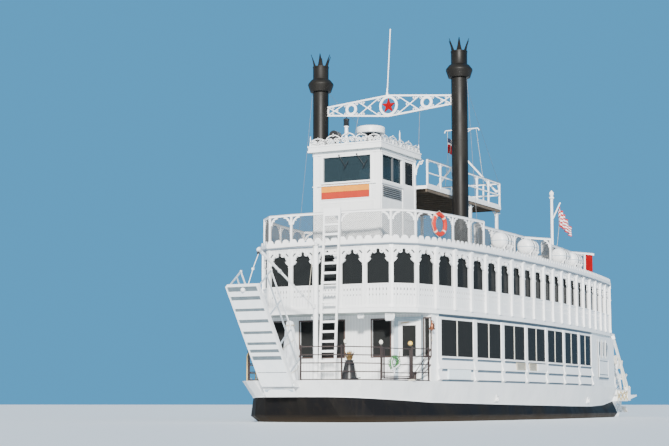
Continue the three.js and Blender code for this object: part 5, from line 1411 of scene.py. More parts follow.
# %% Rivets at the plates' joints and lugs for the truss
mesh = bmesh.new()
for side in (1, -1):
    for z in (8.30, 10.35, 12.60):
        for k in range(24):
            turn = math.radians(15 * k)
            out = Vector((math.cos(turn), math.sin(turn), 0))
            hub = Vector((STACK["x"], side * STACK["y"], z)) + out * (STACK["radius"] - 0.001)
            turned(mesh, [(0.0, 0.0), (0.012, 0.0), (0.008, 0.006), (0.0, 0.008)], 6,
                   stand(hub, Vector((-out.y, out.x, 0)), UP))
    for z in (11.82, 12.08):
        low = Vector((STACK["x"], side * (STACK["y"] - STACK["radius"] + 0.010), z))
        beam(mesh, low, low - PORT * (side * 0.060), 0.090, 0.030)
hand_over("funnel_rivets", mesh, funnel_black)

# %% Truss scrolls
TRUSS = {"z": 11.950, "half": 2.6307, "end": 0.320, "mid": 0.800}
truss_place = stand((STACK["x"] - 0.010, 0, TRUSS["z"]), PORT, UP)


def truss_half(y):
    """Half the truss's depth at y."""
    return (TRUSS["end"] + (TRUSS["mid"] - TRUSS["end"]) * (1 - abs(y) / TRUSS["half"])) / 2


mesh = bmesh.new()
for side in (1, -1):
    for level in (1, -1):
        for y, size, way in ((0.40, 0.078, 1), (1.10, 0.070, 1), (1.10, 0.070, -1), (1.36, 0.060, -1),
                             (1.86, 0.055, 1), (2.40, 0.048, 1)):
            edge = level * (truss_half(y) - 0.035)
            path = scroll((side * (y - way * size), edge - level * size * 0.9), size, turns=1.1,
                          mirror=side * way,
                          up=level)
            strip(mesh, path, 0.018, truss_place, 0.020)
    for y, radius in ((0.80, 0.060), (2.22, 0.042)):
        centre = (side * y, 0.0)
        plate(mesh, circle(centre, radius, 14), truss_place, 0.024, [circle(centre, radius * 0.55, 10)])
    for y in (0.42, 1.39, 1.81):
        h = truss_half(y)
        strip(mesh, [(side * y, h - 0.02), (side * y, h - 0.10)], 0.020, truss_place, 0.022)
        strip(mesh, [(side * y, 0.10 - h), (side * y, 0.02 - h)], 0.020, truss_place, 0.022)
plate(mesh, circle((0, 0), 0.330, 32), stand((STACK["x"] - 0.028, 0, TRUSS["z"]), PORT, UP), 0.056,
      [circle((0, 0), 0.301, 32)])
hand_over("truss_scrolls", mesh, white_trim)

mesh = bmesh.new()
for point in range(5):
    turn = math.radians(90 + 72 * point)
    tip, near = 0.296, 0.116
    for lean in (-36, 36):
        side_turn = turn + math.radians(lean)
        for face in (1, -1):
            base = Vector((STACK["x"] + face * 0.0155, 0, TRUSS["z"]))
            ridge = mesh.verts.new(base + Vector((face * 0.016, 0, 0)))
            a = mesh.verts.new(base + Vector((0, tip * math.cos(turn), tip * math.sin(turn))))
            b = mesh.verts.new(base + Vector((0, near * math.cos(side_turn), near * math.sin(side_turn))))
            mesh.faces.new((ridge, a, b))
bmesh.ops.remove_doubles(mesh, verts=mesh.verts, dist=0.0005)
hand_over("star_ridges", mesh, star_red, sharp=5)

# %% [markdown]
# ### Stays and aerial
#
# Taut wires run from the funnels and the truss to the deck. They are thin straight tubes with an
# eye at each end.

# %% Stays
mesh = bmesh.new()


def stay(mesh, start, end, radius=0.008):
    """A taut wire with an eye at each end."""
    tube(mesh, [start, end], radius, 5)
    for point in (start, end):
        turned(mesh, [(0.0, -0.022), (0.022, -0.010), (0.022, 0.010), (0.0, 0.022)], 8,
               Matrix.Translation(point))


stay(mesh, (STACK["x"] - 0.02, 1.30, TRUSS["z"] - truss_half(1.30)), (7.70, 1.42, 10.10), 0.010)
stay(mesh, (STACK["x"] - 0.02, -1.30, TRUSS["z"] - truss_half(1.30)), (7.70, -1.42, 10.10), 0.010)
for side in (1, -1):
    y = side * (STACK["y"] + 0.31)
    stay(mesh, (STACK["x"] + 0.05, y, 13.00), (STACK["x"] + 0.35, side * 3.80, 6.30), 0.006)
    stay(mesh, (STACK["x"] - 0.25, side * STACK["y"], 12.95), (0.56, side * 1.78, 9.70), 0.006)
hand_over("stays", mesh, wire)

mesh = bmesh.new()
turned(mesh, [(0.0, 12.33), (0.045, 12.33), (0.045, 12.46), (0.026, 12.50), (0.026, 12.62), (0.0, 12.64)],
       12,
       Matrix.Translation((STACK["x"], -0.06, 0)))
hand_over("aerial_mount", mesh, white_trim)

# %% Platform rail arcs
PLATFORM = {"fore": 7.740, "aft": 0.500, "half": 1.790, "z": 8.700, "rail": 9.690, "bays": 6}
mesh = bmesh.new()
step = (PLATFORM["fore"] - PLATFORM["aft"]) / PLATFORM["bays"]
for side in (1, -1):
    for bay in range(PLATFORM["bays"]):
        x0 = PLATFORM["fore"] - bay * step
        for x, way in ((x0, -1), (x0 - step, 1)):
            place = stand((x, side * PLATFORM["half"] - 0.012, 0), FORWARD, UP)
            centre = (way * 0.30, PLATFORM["rail"] - 0.315)
            turns = range(90, 181, 15)
            path = [(centre[0] - way * 0.27 * -math.cos(math.radians(t)),
                     centre[1] + 0.27 * math.sin(math.radians(t)))
                    for t in turns]
            strip(mesh, path, 0.034, place, 0.024)
corners = [(PLATFORM["fore"], PLATFORM["half"]), (PLATFORM["aft"], PLATFORM["half"]),
           (PLATFORM["aft"], -PLATFORM["half"]), (PLATFORM["fore"], -PLATFORM["half"])]
for (x0, y0), (x1, y1) in zip(corners, corners[1:]):
    toe = PLATFORM["z"] + 0.041
    beam(mesh, (x0, y0, toe), (x1, y1, toe), 0.030, 0.080)
for k in range(1, 5):
    y = -PLATFORM["half"] + 2 * PLATFORM["half"] * k / 5
    beam(mesh, (PLATFORM["aft"], y, PLATFORM["z"] + 0.002), (PLATFORM["aft"], y, PLATFORM["rail"] - 0.04),
         0.05, 0.05)
hand_over("platform_arcs", mesh, white_trim)

mesh = bmesh.new()
for (x0, y0), (x1, y1) in zip(corners, corners[1:]):
    beam(mesh, (x0, y0, PLATFORM["rail"] + 0.008), (x1, y1, PLATFORM["rail"] + 0.008), 0.060, 0.020)
hand_over("platform_capping", mesh, shade_and_cap_grey)

# %% Under the platform
# The beams are dark brown, painted shade like the platform's underside.
mesh = bmesh.new()
for k in range(13):
    x = 0.85 + k * 0.55
    beam(mesh, (x, -1.78, 8.535), (x, 1.78, 8.535), 0.060, 0.088)
for y in (-1.77, 1.77):
    beam(mesh, (0.48, y, 8.525), (7.80, y, 8.525), 0.060, 0.105)
hand_over("platform_beams", mesh, platform_under_shade)
mesh = bmesh.new()
for side in (1, -1):
    for x in (0.60, 3.40):
        place = stand((x, side * 1.69, 8.47), FORWARD, UP)
        for way in (1, -1):
            strip(mesh, [(way * 0.05, -0.36), (way * 0.08, -0.18), (way * 0.20, -0.05), (way * 0.38, 0.0)],
                  0.04,
                  place, 0.03)
        turned(mesh, [(0.0, 6.252), (0.085, 6.252), (0.085, 6.29), (0.06, 6.31), (0.0, 6.31)], 12,
               Matrix.Translation((x, side * 1.69, 0)))
hand_over("platform_brackets", mesh, white_trim)

# %% Mast yard and lights
MAST = {"x": 0.760, "y": 0.230, "yard": 12.040, "half": 0.650}
mesh = bmesh.new()
for side in (1, -1):
    tip = Vector((MAST["x"], MAST["y"] + side * MAST["half"], MAST["yard"]))
    tube(mesh, [tip, tip + Vector((0, side * 0.06, 0.01)), tip + Vector((0, side * 0.11, -0.03)),
                tip + Vector((0, side * 0.13, -0.10))], 0.020, 8)
    tube(mesh, [(MAST["x"], MAST["y"] + side * 0.05, 11.78),
                (MAST["x"], MAST["y"] + side * 0.45, MAST["yard"] - 0.01)], 0.014, 6)
turned(mesh, [(0.0, 12.45), (0.055, 12.45), (0.055, 12.56), (0.030, 12.60), (0.0, 12.61)], 12,
       Matrix.Translation((MAST["x"], MAST["y"], 0)))
turned(mesh, [(0.030, 10.88), (0.075, 10.90), (0.075, 11.04), (0.040, 11.06)], 12,
       Matrix.Translation((MAST["x"], MAST["y"], 0)))
beam(mesh, (0.660, 1.765, 9.330), (0.800, 1.765, 9.330), 0.110, 0.090)
hand_over("mast_fittings", mesh, white_trim)
mesh = bmesh.new()
tube(mesh, [(MAST["x"], MAST["y"] + 0.66, MAST["yard"] - 0.02), (MAST["x"] + 0.10, 1.230, 9.70)], 0.006, 5)
tube(mesh, [(MAST["x"], MAST["y"] - 0.40, MAST["yard"] - 0.02), (MAST["x"] + 0.10, -0.500, 9.70)], 0.006, 5)
hand_over("mast_halyards", mesh, old_rope)

# %% [markdown]
# ## Main cabin
#
# The cabin's long walls are thin sheets with pairs of tall windows cut in them. The panes are bonded
# nearly flush with the wall: a dark rubber seal goes round, and a slim mullion parts each pair. Below the
# windows the wall is lapped like clapboard: each board leans out to a lip and hides the head of the next
# one, which shows as a dark line.

# %% Cabin walls with their windows
CABIN = {"inset": 0.090, "wall": 0.080, "front": 10.750, "aft": -11.280, "low": 1.3903, "high": 3.7447,
         "sill": 2.280, "head": 3.570, "first_pillar": 10.060, "pitch": 2.292, "pairs": 7, "pillar": 0.290}
FIRST_PAIR_WIDER = 0.210
pillar_xs = [CABIN["first_pillar"] - CABIN["pitch"] * i for i in range(CABIN["pairs"] + 1)]
pillar_xs[0] += FIRST_PAIR_WIDER
cabin_port = [(x, half_breadth(x, HULL_EDGE) - CABIN["inset"])
              for x in [CABIN["front"], *pillar_xs, CABIN["aft"]]]
cabin_sides = {"port": cabin_port, "starboard": mirrored(cabin_port)}


def cabin_bays(side):
    """Each bay of a cabin side: its frame on the wall's face, half length, windowed or not, number."""
    loop = cabin_sides[side]
    for i in range(len(loop) - 1):
        middle, along, out, length = bay_of(loop, i)
        number = i if side == "port" else len(loop) - 2 - i
        yield stand(middle, along, UP), length / 2, 1 <= number <= CABIN["pairs"], number


def sunk(place, depth):
    """The same frame, moved in or out of the wall."""
    return place @ Matrix.Translation((0, 0, depth))


for side in ("port", "starboard"):
    mesh = bmesh.new()
    for place, half, windowed, number in cabin_bays(side):
        outline = [(-half, CABIN["low"]), (half, CABIN["low"]), (half, CABIN["high"]),
                   (-half, CABIN["high"])]
        opening = half - CABIN["pillar"] / 2
        hole = [(-opening, CABIN["sill"]), (opening, CABIN["sill"]), (opening, CABIN["head"]),
                (-opening, CABIN["head"])]
        plate(mesh, outline, sunk(place, -CABIN["wall"]), CABIN["wall"], [hole] if windowed else [])
    wall = hand_over("cabin_side_" + side, mesh, white_paint)
    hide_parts("cabin_wall_" + side)

# %% Seals and mullions
SEAL = {"wide": 0.024, "from": -0.022, "thick": 0.018}
seals, mullions, panes = bmesh.new(), bmesh.new(), bmesh.new()
for side in ("port", "starboard"):
    for place, half, windowed, number in cabin_bays(side):
        if not windowed:
            continue
        opening = half - CABIN["pillar"] / 2
        edge = opening - 0.0005
        low, high = CABIN["sill"] + 0.0005, CABIN["head"] - 0.0005
        outer = [(-edge, low), (edge, low), (edge, high), (-edge, high)]
        inner = opening - SEAL["wide"]
        hole = [(-inner, CABIN["sill"] + 0.024), (inner, CABIN["sill"] + 0.024),
                (inner, CABIN["head"] - 0.024),
                (-inner, CABIN["head"] - 0.024)]
        plate(seals, outer, sunk(place, SEAL["from"]), SEAL["thick"], [hole])
        plate(panes, hole, sunk(place, -0.020), 0.008)
        foot = place @ Vector((0, CABIN["sill"] + 0.002, -0.008))
        beam(mullions, foot, foot + UP * (CABIN["head"] - CABIN["sill"] - 0.004), 0.048, 0.022,
             over=place.col[2].xyz)
hand_over("cabin_window_seals", seals, rubber)
hand_over("cabin_window_panes", panes, cabin_tint)
hand_over("cabin_mullions", mullions, cream_paint)

# %% [markdown]
# Each lapped board is one slim profile pushed along its bay. At the pillars a scalloped bracket covers the
# joints of the boards, and its flank catches the sun from ahead. Blue-grey strips of painted shade lie in
# the laps, and a band of painted shade runs under the deck's edge above the windows.

# %% Lapped boards
BOARDS = [{"top": 2.135, "lip": 1.838}, {"top": 1.748, "lip": 1.468}]
LIP_OUT = 0.058
LAP_LINES = [(2.130, 2.214), (1.743, 1.834), (1.398, 1.464)]
boards, shades = bmesh.new(), bmesh.new()
for side in ("port", "starboard"):
    for place, half, windowed, number in cabin_bays(side):
        if not windowed:
            continue
        opening = half - CABIN["pillar"] / 2
        aft_end = place @ Vector((opening, 0, 0))
        section = stand(aft_end, place.col[2].xyz, UP)
        for board in BOARDS:
            plate(boards, [(0.002, board["top"]), (0.002, board["lip"]), (LIP_OUT, board["lip"]),
                           (LIP_OUT, board["lip"] + 0.018), (0.014, board["top"])], section, 2 * opening)
        plate(boards, [(0.002, 2.216), (0.060, 2.216), (0.060, 2.236), (0.014, 2.274), (0.002, 2.274)],
              section,
              2 * opening)
        # Painted shade in the laps, under each lip.
        for low, high in LAP_LINES:
            plate(shades, [(-opening, low), (opening, low), (opening, high), (-opening, high)],
                  sunk(place, 0.001),
                  0.008)
        # A band of painted shade under the overhang of the deck above.
        band = [(-half, 3.652), (half, 3.652), (half, 3.742), (-half, 3.742)]
        plate(shades, band, sunk(place, 0.001), 0.006)
hand_over("cabin_lapped_boards", boards, white_trim)
hand_over("cabin_lap_lines", shades, lap_shade)

# %% Scalloped brackets on the pillars
PILLAR_COVER = 0.250
SCALLOP = [(0.002, 2.285), (0.022, 2.285), (0.030, 2.160), (0.052, 2.020), (0.098, 1.890), (0.112, 1.845),
           (0.050, 1.815), (0.032, 1.770), (0.050, 1.650), (0.096, 1.520), (0.112, 1.475), (0.060, 1.440),
           (0.002, 1.425)]
mesh = bmesh.new()
for side in ("port", "starboard"):
    loop = cabin_sides[side]
    for i in range(1, len(loop) - 1):
        out = outward_at(loop, i)
        along = UP.cross(out)
        centre = Vector((*loop[i], 0))
        section = stand(centre + along * PILLAR_COVER / 2, out, UP)
        plate(mesh, SCALLOP, section, PILLAR_COVER)
        foot = centre + out * 0.010
        beam(mesh, foot + UP * 2.29, foot + UP * 3.65, PILLAR_COVER, 0.024, over=out)
hand_over("cabin_pillars", mesh, white_trim)

# %% [markdown]
# A few things break the rhythm of the boards on the port side: a smooth hatch, two tan ventilator grilles
# with a lighter cover beside them, and near the stern three upright vents, a blank board and a floodlight.

# %% Hatch, grilles and vents
def on_side(x, out=0.0):
    """A frame on the port cabin wall at x, with its third axis pointing outwards."""
    y = half_breadth(x, HULL_EDGE) - CABIN["inset"]
    ahead = half_breadth(x + 0.5, HULL_EDGE) - half_breadth(x - 0.5, HULL_EDGE)
    along = Vector((-1, -ahead, 0)).normalized()
    return sunk(stand((x, y, 0), along, UP), out)


def board_at(mesh, x, low, high, half, out, thick):
    """A flat board on the port cabin wall, centred at x."""
    plate(mesh, [(-half, low), (half, low), (half, high), (-half, high)], on_side(x, out), thick)


mesh = bmesh.new()
board_at(mesh, 9.005, 1.480, 1.822, 0.78, 0.020, 0.052)
board_at(mesh, 9.005, 1.494, 1.806, 0.75, 0.072, 0.006)
hand_over("side_hatch", mesh, hatch_blue)
mesh = bmesh.new()
board_at(mesh, 1.560, 1.895, 2.172, 0.56, 0.030, 0.040)
board_at(mesh, 1.560, 1.925, 2.142, 0.50, 0.070, 0.006)
hand_over("side_grille_cover", mesh, raft_shell)
mesh = bmesh.new()
for x, half in ((3.840, 0.44), (2.585, 0.40)):
    window_frame(mesh, on_side(x, 0.030), (-half + 0.03, 1.925), (half - 0.03, 2.145), 0.03, 0.036)
    for k in range(6):
        z = 1.945 + 0.036 * k
        place = on_side(x, 0.048)
        beam(mesh, place @ Vector((-half + 0.03, z, 0)), place @ Vector((half - 0.03, z, 0)), 0.024, 0.010,
             over=(UP + place.col[2].xyz * 0.6).normalized())
hand_over("side_grilles", mesh, grille_tan)

mesh, dark, black = bmesh.new(), bmesh.new(), bmesh.new()
VENTS = [-7.60, -8.42, -9.24]
for x in VENTS:
    window_frame(mesh, on_side(x), (-0.150, 2.780), (0.150, 3.400), 0.110, 0.018)
    board_at(black, x, 2.782, 3.398, 0.148, 0.002, 0.008)
    for k in range(4):
        place = on_side(x, 0.014)
        z = 2.90 + 0.125 * k
        beam(black, place @ Vector((-0.149, z, 0)), place @ Vector((0.149, z, 0)), 0.018, 0.006,
             over=(UP + place.col[2].xyz).normalized())
window_frame(mesh, on_side(-8.500), (-1.050, 1.860), (1.050, 2.620), 0.045, 0.020)
board_at(mesh, -8.500, 1.860, 2.620, 1.050, 0.002, 0.008)
hand_over("side_vents_and_board", mesh, white_paint)
# Dark strips under and across the blank board, in the blue-grey of the laps' painted shade.
board_at(dark, -8.500, 1.745, 1.812, 1.09, 0.002, 0.020)
for low, high in ((2.530, 2.565), (1.915, 1.950)):
    board_at(dark, -8.500, low, high, 0.96, 0.010, 0.004)
hand_over("side_board_lines", dark, lap_shade)
hand_over("side_vent_slots", black, lamp_black)

# %% [markdown]
# ### Front of the cabin
#
# The door stands in a grey-blue frame with pilasters. A copper bell hangs at the port corner, and three
# white floodlights hang under the deck's edge.

# %% Front wall joinery
front_wall = stand((CABIN["front"], 0, 0), PORT, UP)
FRONT_WINDOWS = [(0.96, 1.68), (2.99, 3.23), (-1.95, -0.15), (-3.20, -2.35)]
mesh = bmesh.new()
for low, high in FRONT_WINDOWS:
    window_frame(mesh, front_wall, (low, CABIN["sill"]), (high, CABIN["head"]), 0.045, 0.018)
hand_over("front_window_frames", mesh, brown_seal)
mesh = bmesh.new()
DOOR = {"y0": 1.990, "y1": 2.830, "z1": 3.500}
# On its hinged side the frame stands back by the thickness of the open leaf
window_frame(mesh, front_wall, (DOOR["y0"] - 0.002, 1.395), (DOOR["y1"] + 0.052, DOOR["z1"] + 0.004),
             0.075, 0.022)
for y in (1.865, 2.925):
    for step in (-0.022, 0.022):
        beam(mesh, (CABIN["front"] + 0.014, y + step, 1.40), (CABIN["front"] + 0.014, y + step, 3.70),
             0.016, 0.026)
beam(mesh, (CABIN["front"] + 0.030, 1.85, 3.615), (CABIN["front"] + 0.030, 2.94, 3.615), 0.060, 0.050)
hand_over("front_door_frame", mesh, shade_blue)

# %% Door leaf trim
mesh = bmesh.new()
leaf_place = stand((CABIN["front"] + 0.001, 0, 0), PORT, UP)
window_frame(mesh, leaf_place, (2.143, 2.273), (2.677, 3.347), 0.030, 0.010)
window_frame(mesh, leaf_place, (2.150, 1.560), (2.670, 2.120), 0.022, 0.007)
hand_over("front_door_mouldings", mesh, white_trim, body="front_door")
mesh = bmesh.new()
plate(mesh, [(2.141, 2.271), (2.679, 2.271), (2.679, 3.349), (2.141, 3.349)], sunk(leaf_place, -0.030),
      0.010)
hand_over("front_door_glass", mesh, cabin_tint, body="front_door")
mesh = bmesh.new()
tube(mesh, [(CABIN["front"] + 0.002, 2.062, 2.16), (CABIN["front"] + 0.050, 2.062, 2.18),
            (CABIN["front"] + 0.050, 2.062, 2.42), (CABIN["front"] + 0.002, 2.062, 2.44)], 0.010, 8)
tube(mesh, [(CABIN["front"] + 0.016, 2.10, 3.43), (CABIN["front"] + 0.020, 2.42, 3.46)], 0.014, 6)
hand_over("front_door_handle", mesh, brass, body="front_door")

# %% Bell
BELL_AT = Vector((10.960, 3.385, 3.180))
BELL = [(0.0, 0.0), (0.085, 0.0), (0.112, -0.012), (0.116, 0.012), (0.086, 0.055), (0.068, 0.130),
        (0.058, 0.190),
        (0.034, 0.225), (0.0, 0.232)]
mesh = bmesh.new()
turned(mesh, BELL, 20, Matrix.Translation(BELL_AT))
turned(mesh, [(0.0, -0.055), (0.022, -0.045), (0.026, -0.022), (0.010, 0.0), (0.0, 0.002)], 10,
       Matrix.Translation(BELL_AT))
tube(mesh, [BELL_AT + Vector((0, 0, 0.225)), BELL_AT + Vector((0, 0, 0.285))], 0.016, 8)
tube(mesh, [BELL_AT + Vector((-0.215, 0, 0.100)), BELL_AT + Vector((-0.150, 0, 0.260)),
            BELL_AT + Vector((0.0, 0, 0.300)), BELL_AT + Vector((0.055, 0, 0.262))], 0.013, 8)
tube(mesh, [BELL_AT + Vector((-0.212, 0, 0.200)), BELL_AT + Vector((-0.100, 0, 0.286))], 0.009, 6)
hand_over("bell", mesh, copper)
mesh = bmesh.new()
cord = [BELL_AT + Vector((0, 0.004 * k * (-1) ** k, -0.055 - 0.06 * k)) for k in range(6)]
tube(mesh, cord, 0.008, 6)
turned(mesh, [(0.0, -0.42), (0.020, -0.41), (0.022, -0.385), (0.008, -0.35), (0.0, -0.35)], 8,
       Matrix.Translation(BELL_AT))
hand_over("bell_rope", mesh, old_rope)

# %% Floodlights under the deck's edge
def floodlight(mesh, lens, at, aim, size=0.15):
    """A hooded lamp on a small yoke, hanging from a point and aimed along a direction."""
    aim = Vector(aim).normalized()
    place = stand(Vector(at) - UP * (size * 1.25), aim.cross(UP) * -1, UP)
    face = place @ Matrix.Rotation(math.radians(-22), 4, "X")
    s = size
    body = [(-s, -s * 0.62), (s, -s * 0.62), (s, s * 0.62), (-s, s * 0.62)]
    plate(mesh, body, face @ Matrix.Translation((0, 0, -s * 0.4)), s * 0.62)
    for low, high in (((-s, s * 0.56), (s, s * 0.68)), ((-s, -s * 0.68), (-s * 0.9, s * 0.62)),
                      ((s * 0.9, -s * 0.68), (s, s * 0.62))):
        plate(mesh, [low, (high[0], low[1]), high, (low[0], high[1])],
              face @ Matrix.Translation((0, 0, s * 0.22)),
              s * 0.55)
    plate(lens, [(-s * 0.86, -s * 0.5), (s * 0.86, -s * 0.5), (s * 0.86, s * 0.5), (-s * 0.86, s * 0.5)],
          face @ Matrix.Translation((0, 0, s * 0.225)), 0.008)
    for k in (-1, 1):
        tube(mesh, [place @ Vector((k * s * 1.06, 0, 0)), place @ Vector((k * s * 1.06, s * 1.12, 0)),
                    place @ Vector((0, s * 1.22, 0))], 0.010, 6)


mesh, lens = bmesh.new(), bmesh.new()
floodlight(mesh, lens, (12.02, 2.28, 3.742), (1, 0.35, 0))
floodlight(mesh, lens, (12.08, 1.20, 3.742), (1, 0.10, 0), 0.10)
floodlight(mesh, lens, (12.08, -0.62, 3.742), (1, -0.10, 0), 0.10)
floodlight(mesh, lens, (-8.20, 3.72, 3.742), (-0.5, 1, 0), 0.12)
hand_over("floodlights", mesh, white_trim)
hand_over("floodlight_lenses", lens, lens_glass)

# %% [markdown]
# ### Topsides
#
# A white half-round bead runs along the lower edge of the topsides. The outlets of the engine cooling
# water have raised white rims, each with a black disc in it as painted shade for the bore.

# %% Bead along the knuckle
KNUCKLE_LINE = [(15.0, 0.860), (10.5, 0.660), (4.5, 0.580), (-4.5, 0.500), (-8.0, 0.500), (-11.4, 0.740)]
KNUCKLE_EDGE = {"front": 14.640, "aft": -11.400, "narrower": 0.230}


def knuckle_height(x):
    """How high the knuckle lies at x."""
    for (x0, z0), (x1, z1) in zip(KNUCKLE_LINE, KNUCKLE_LINE[1:]):
        if x >= x1:
            return z0 + (z1 - z0) * (x0 - x) / (x0 - x1)
    return KNUCKLE_LINE[-1][1]


def knuckle_point(share, side):
    """A point of the knuckle, at a share of the way from the bow to the stern."""
    x = KNUCKLE_EDGE["front"] - share * (KNUCKLE_EDGE["front"] - KNUCKLE_EDGE["aft"])
    on_deck = HULL_EDGE["front"] - share * (HULL_EDGE["front"] + 11.400)
    y = max(half_breadth(on_deck, HULL_EDGE) - KNUCKLE_EDGE["narrower"], 0) if share else 0
    return Vector((x, side * y, knuckle_height(x)))


SHARES = [0, 0.003, 0.012, 0.03, 0.06, 0.1, 0.16, 0.25, 0.38, 0.52, 0.66, 0.8, 0.9, 1]
mesh = bmesh.new()
bead = [knuckle_point(s, -1) for s in SHARES[:0:-1]] + [knuckle_point(s, 1) for s in SHARES]
tube(mesh, [p + UP * 0.022 for p in bead], 0.026, 8)
hand_over("topsides_bead", mesh, white_trim)

# %% Water outlets
def topside(x, z, side=1):
    """A frame on the topsides at x and z, with its third axis pointing outwards and a little down."""
    share = (KNUCKLE_EDGE["front"] - x) / (KNUCKLE_EDGE["front"] - KNUCKLE_EDGE["aft"])
    low = knuckle_point(share, side)
    high = Vector((x, side * half_breadth(x, HULL_EDGE), 1.390))
    rise = (high - low).normalized()
    point = low + (high - low) * ((z - low.z) / (high.z - low.z))
    return stand(point, FORWARD * -side, rise)


rims, bore_shadows = bmesh.new(), bmesh.new()
for x, z in ((5.84, 0.790), (-5.40, 0.740)):
    for side in (1, -1):
        place = topside(x, z, side)
        window_frame(rims, place, (-0.110, -0.045), (0.110, 0.115), 0.050, 0.024)
        turned(rims, [(0.062, 0.0), (0.082, 0.0), (0.082, 0.060), (0.062, 0.060), (0.058, 0.0)], 14, place)
        # A black disc in each rim: painted shade for the inside of the bore.
        turned(bore_shadows, [(0.0, 0.002), (0.060, 0.002), (0.060, 0.020), (0.0, 0.020)], 14, place)
hand_over("outlet_rims", rims, white_trim)
hand_over("outlet_shade_discs", bore_shadows, lamp_black)

# %% [markdown]
# ## Foredeck and landing stage
#
# The landing stage is a light metal gangway hinged at the bow. Its frame is in the solid, and here it gets
# wide boards on its underside with joints between them, a dark strip in each joint that is painted shadow
# of the cross-beams, bright edge channels, treads on its walking side and a lamp near its head. All of it
# rides with the stage. The apron below the hinge stays on the bow, with an arch of painted shadow on it.

# %% Stage boards, edges and treads
STAGE = {"hinge": (15.160, -0.330, 1.230), "angle": 53.8, "length": 3.930, "half": 0.600}
# Where each joint of the underside, with its strip of painted shadow, starts and ends, from the hinge
STAGE_SHADED_JOINTS = [(-0.010, 0.010), (0.555, 0.590), (1.070, 1.235), (1.365, 1.500), (1.665, 1.785),
                (2.095, 2.215),
                (2.530, 2.670), (2.975, 3.095), (3.410, 3.560), (3.740, 3.900)]
lean = math.radians(STAGE["angle"])
stage_place = stand(STAGE["hinge"], (math.cos(lean), 0, math.sin(lean)), PORT)


def on_stage(s, y, n):
    """A point of the stage: s along it from the hinge, y to port, n up from its plate."""
    return stage_place @ Vector((s, y, n))


def stage_strip(mesh, s0, s1, half, n0, n1):
    """A flat strip across the stage."""
    plate(mesh, [(s0, -half), (s1, -half), (s1, half), (s0, half)],
          stage_place @ Matrix.Translation((0, 0, n0)),
          n1 - n0)


boards, beam_shadows, treads, edges = bmesh.new(), bmesh.new(), bmesh.new(), bmesh.new()
for (_, low), (high, _) in zip(STAGE_SHADED_JOINTS, STAGE_SHADED_JOINTS[1:]):
    stage_strip(boards, low, high, 0.562, -0.097, -0.083)
# A dark strip behind each joint: painted shadow of the cross-beams.
for low, high in STAGE_SHADED_JOINTS[1:]:
    stage_strip(beam_shadows, low - 0.010, high + 0.010, 0.562, -0.0825, -0.0805)
for k in range(13):
    s = 0.34 + 0.285 * k
    stage_strip(treads, s - 0.020, s + 0.020, 0.535, 0.0305, 0.043)
for side in (1, -1):
    y = side * (STAGE["half"] - 0.030)
    beam(edges, on_stage(0.06, y, 0.0495), on_stage(STAGE["length"] - 0.01, y, 0.0495), 0.072, 0.008,
         over=stage_place.col[2].xyz)
    lip = side * (STAGE["half"] - 0.018)
    beam(edges, on_stage(0.06, lip, -0.0945), on_stage(STAGE["length"] - 0.01, lip, -0.0945), 0.036, 0.008,
         over=stage_place.col[2].xyz)
    beam(edges, on_stage(0.10, side * (STAGE["half"] + 0.004), -0.020),
         on_stage(STAGE["length"] - 0.01, side * (STAGE["half"] + 0.004), -0.020), 0.008, 0.120,
         over=stage_place.col[2].xyz)
stage_strip(edges, STAGE["length"] - 0.004, STAGE["length"] + 0.012, 0.602, -0.092, 0.052)
hand_over("stage_boards", boards, stage_pale, body="stage")
hand_over("stage_joint_shade", beam_shadows, stage_shadow_paint, body="stage")
hand_over("stage_treads", treads, stage_metal, body="stage")
hand_over("stage_edges", edges, white_trim, body="stage")

# %% Apron below the hinge and lamp at the head
APRON = {"top": -0.118, "foot": -0.440, "half": 0.590, "arch_foot": -0.230, "arch_rise": 0.135,
         "arch_half": 0.440}
# A blue-grey plate on the apron's underside, cut to an arch at its foot: painted shadow above the arch.
white, arch_shade_plate = bmesh.new(), bmesh.new()
stage_strip(white, APRON["foot"], APRON["top"], APRON["half"], -0.060, -0.040)
arch = [(APRON["arch_foot"] + APRON["arch_rise"] * math.sin(math.pi * k / 16),
         APRON["arch_half"] * math.cos(math.pi * k / 16)) for k in range(17)]
corner = APRON["half"] - 0.050
arch_shade_outline = [(APRON["top"] - 0.010, -corner), (APRON["top"] - 0.010, corner),
                  (APRON["arch_foot"], corner)]
arch_shade_outline += arch + [(APRON["arch_foot"], -corner)]
plate(arch_shade_plate, arch_shade_outline, stage_place @ Matrix.Translation((0, 0, -0.064)), 0.004)
hand_over("bow_apron", white, white_trim)
hand_over("bow_apron_arch_shade", arch_shade_plate, shade_blue)
mesh = bmesh.new()
lamp = stand(on_stage(3.810, 0.020, -0.083), stage_place.col[1].xyz, stage_place.col[0].xyz)
turned(mesh, [(0.0, 0.0), (0.078, 0.0), (0.078, 0.030), (0.066, 0.060), (0.040, 0.084), (0.0, 0.092)], 16,
       lamp)
hand_over("stage_lamp", mesh, raft_shell, body="stage")

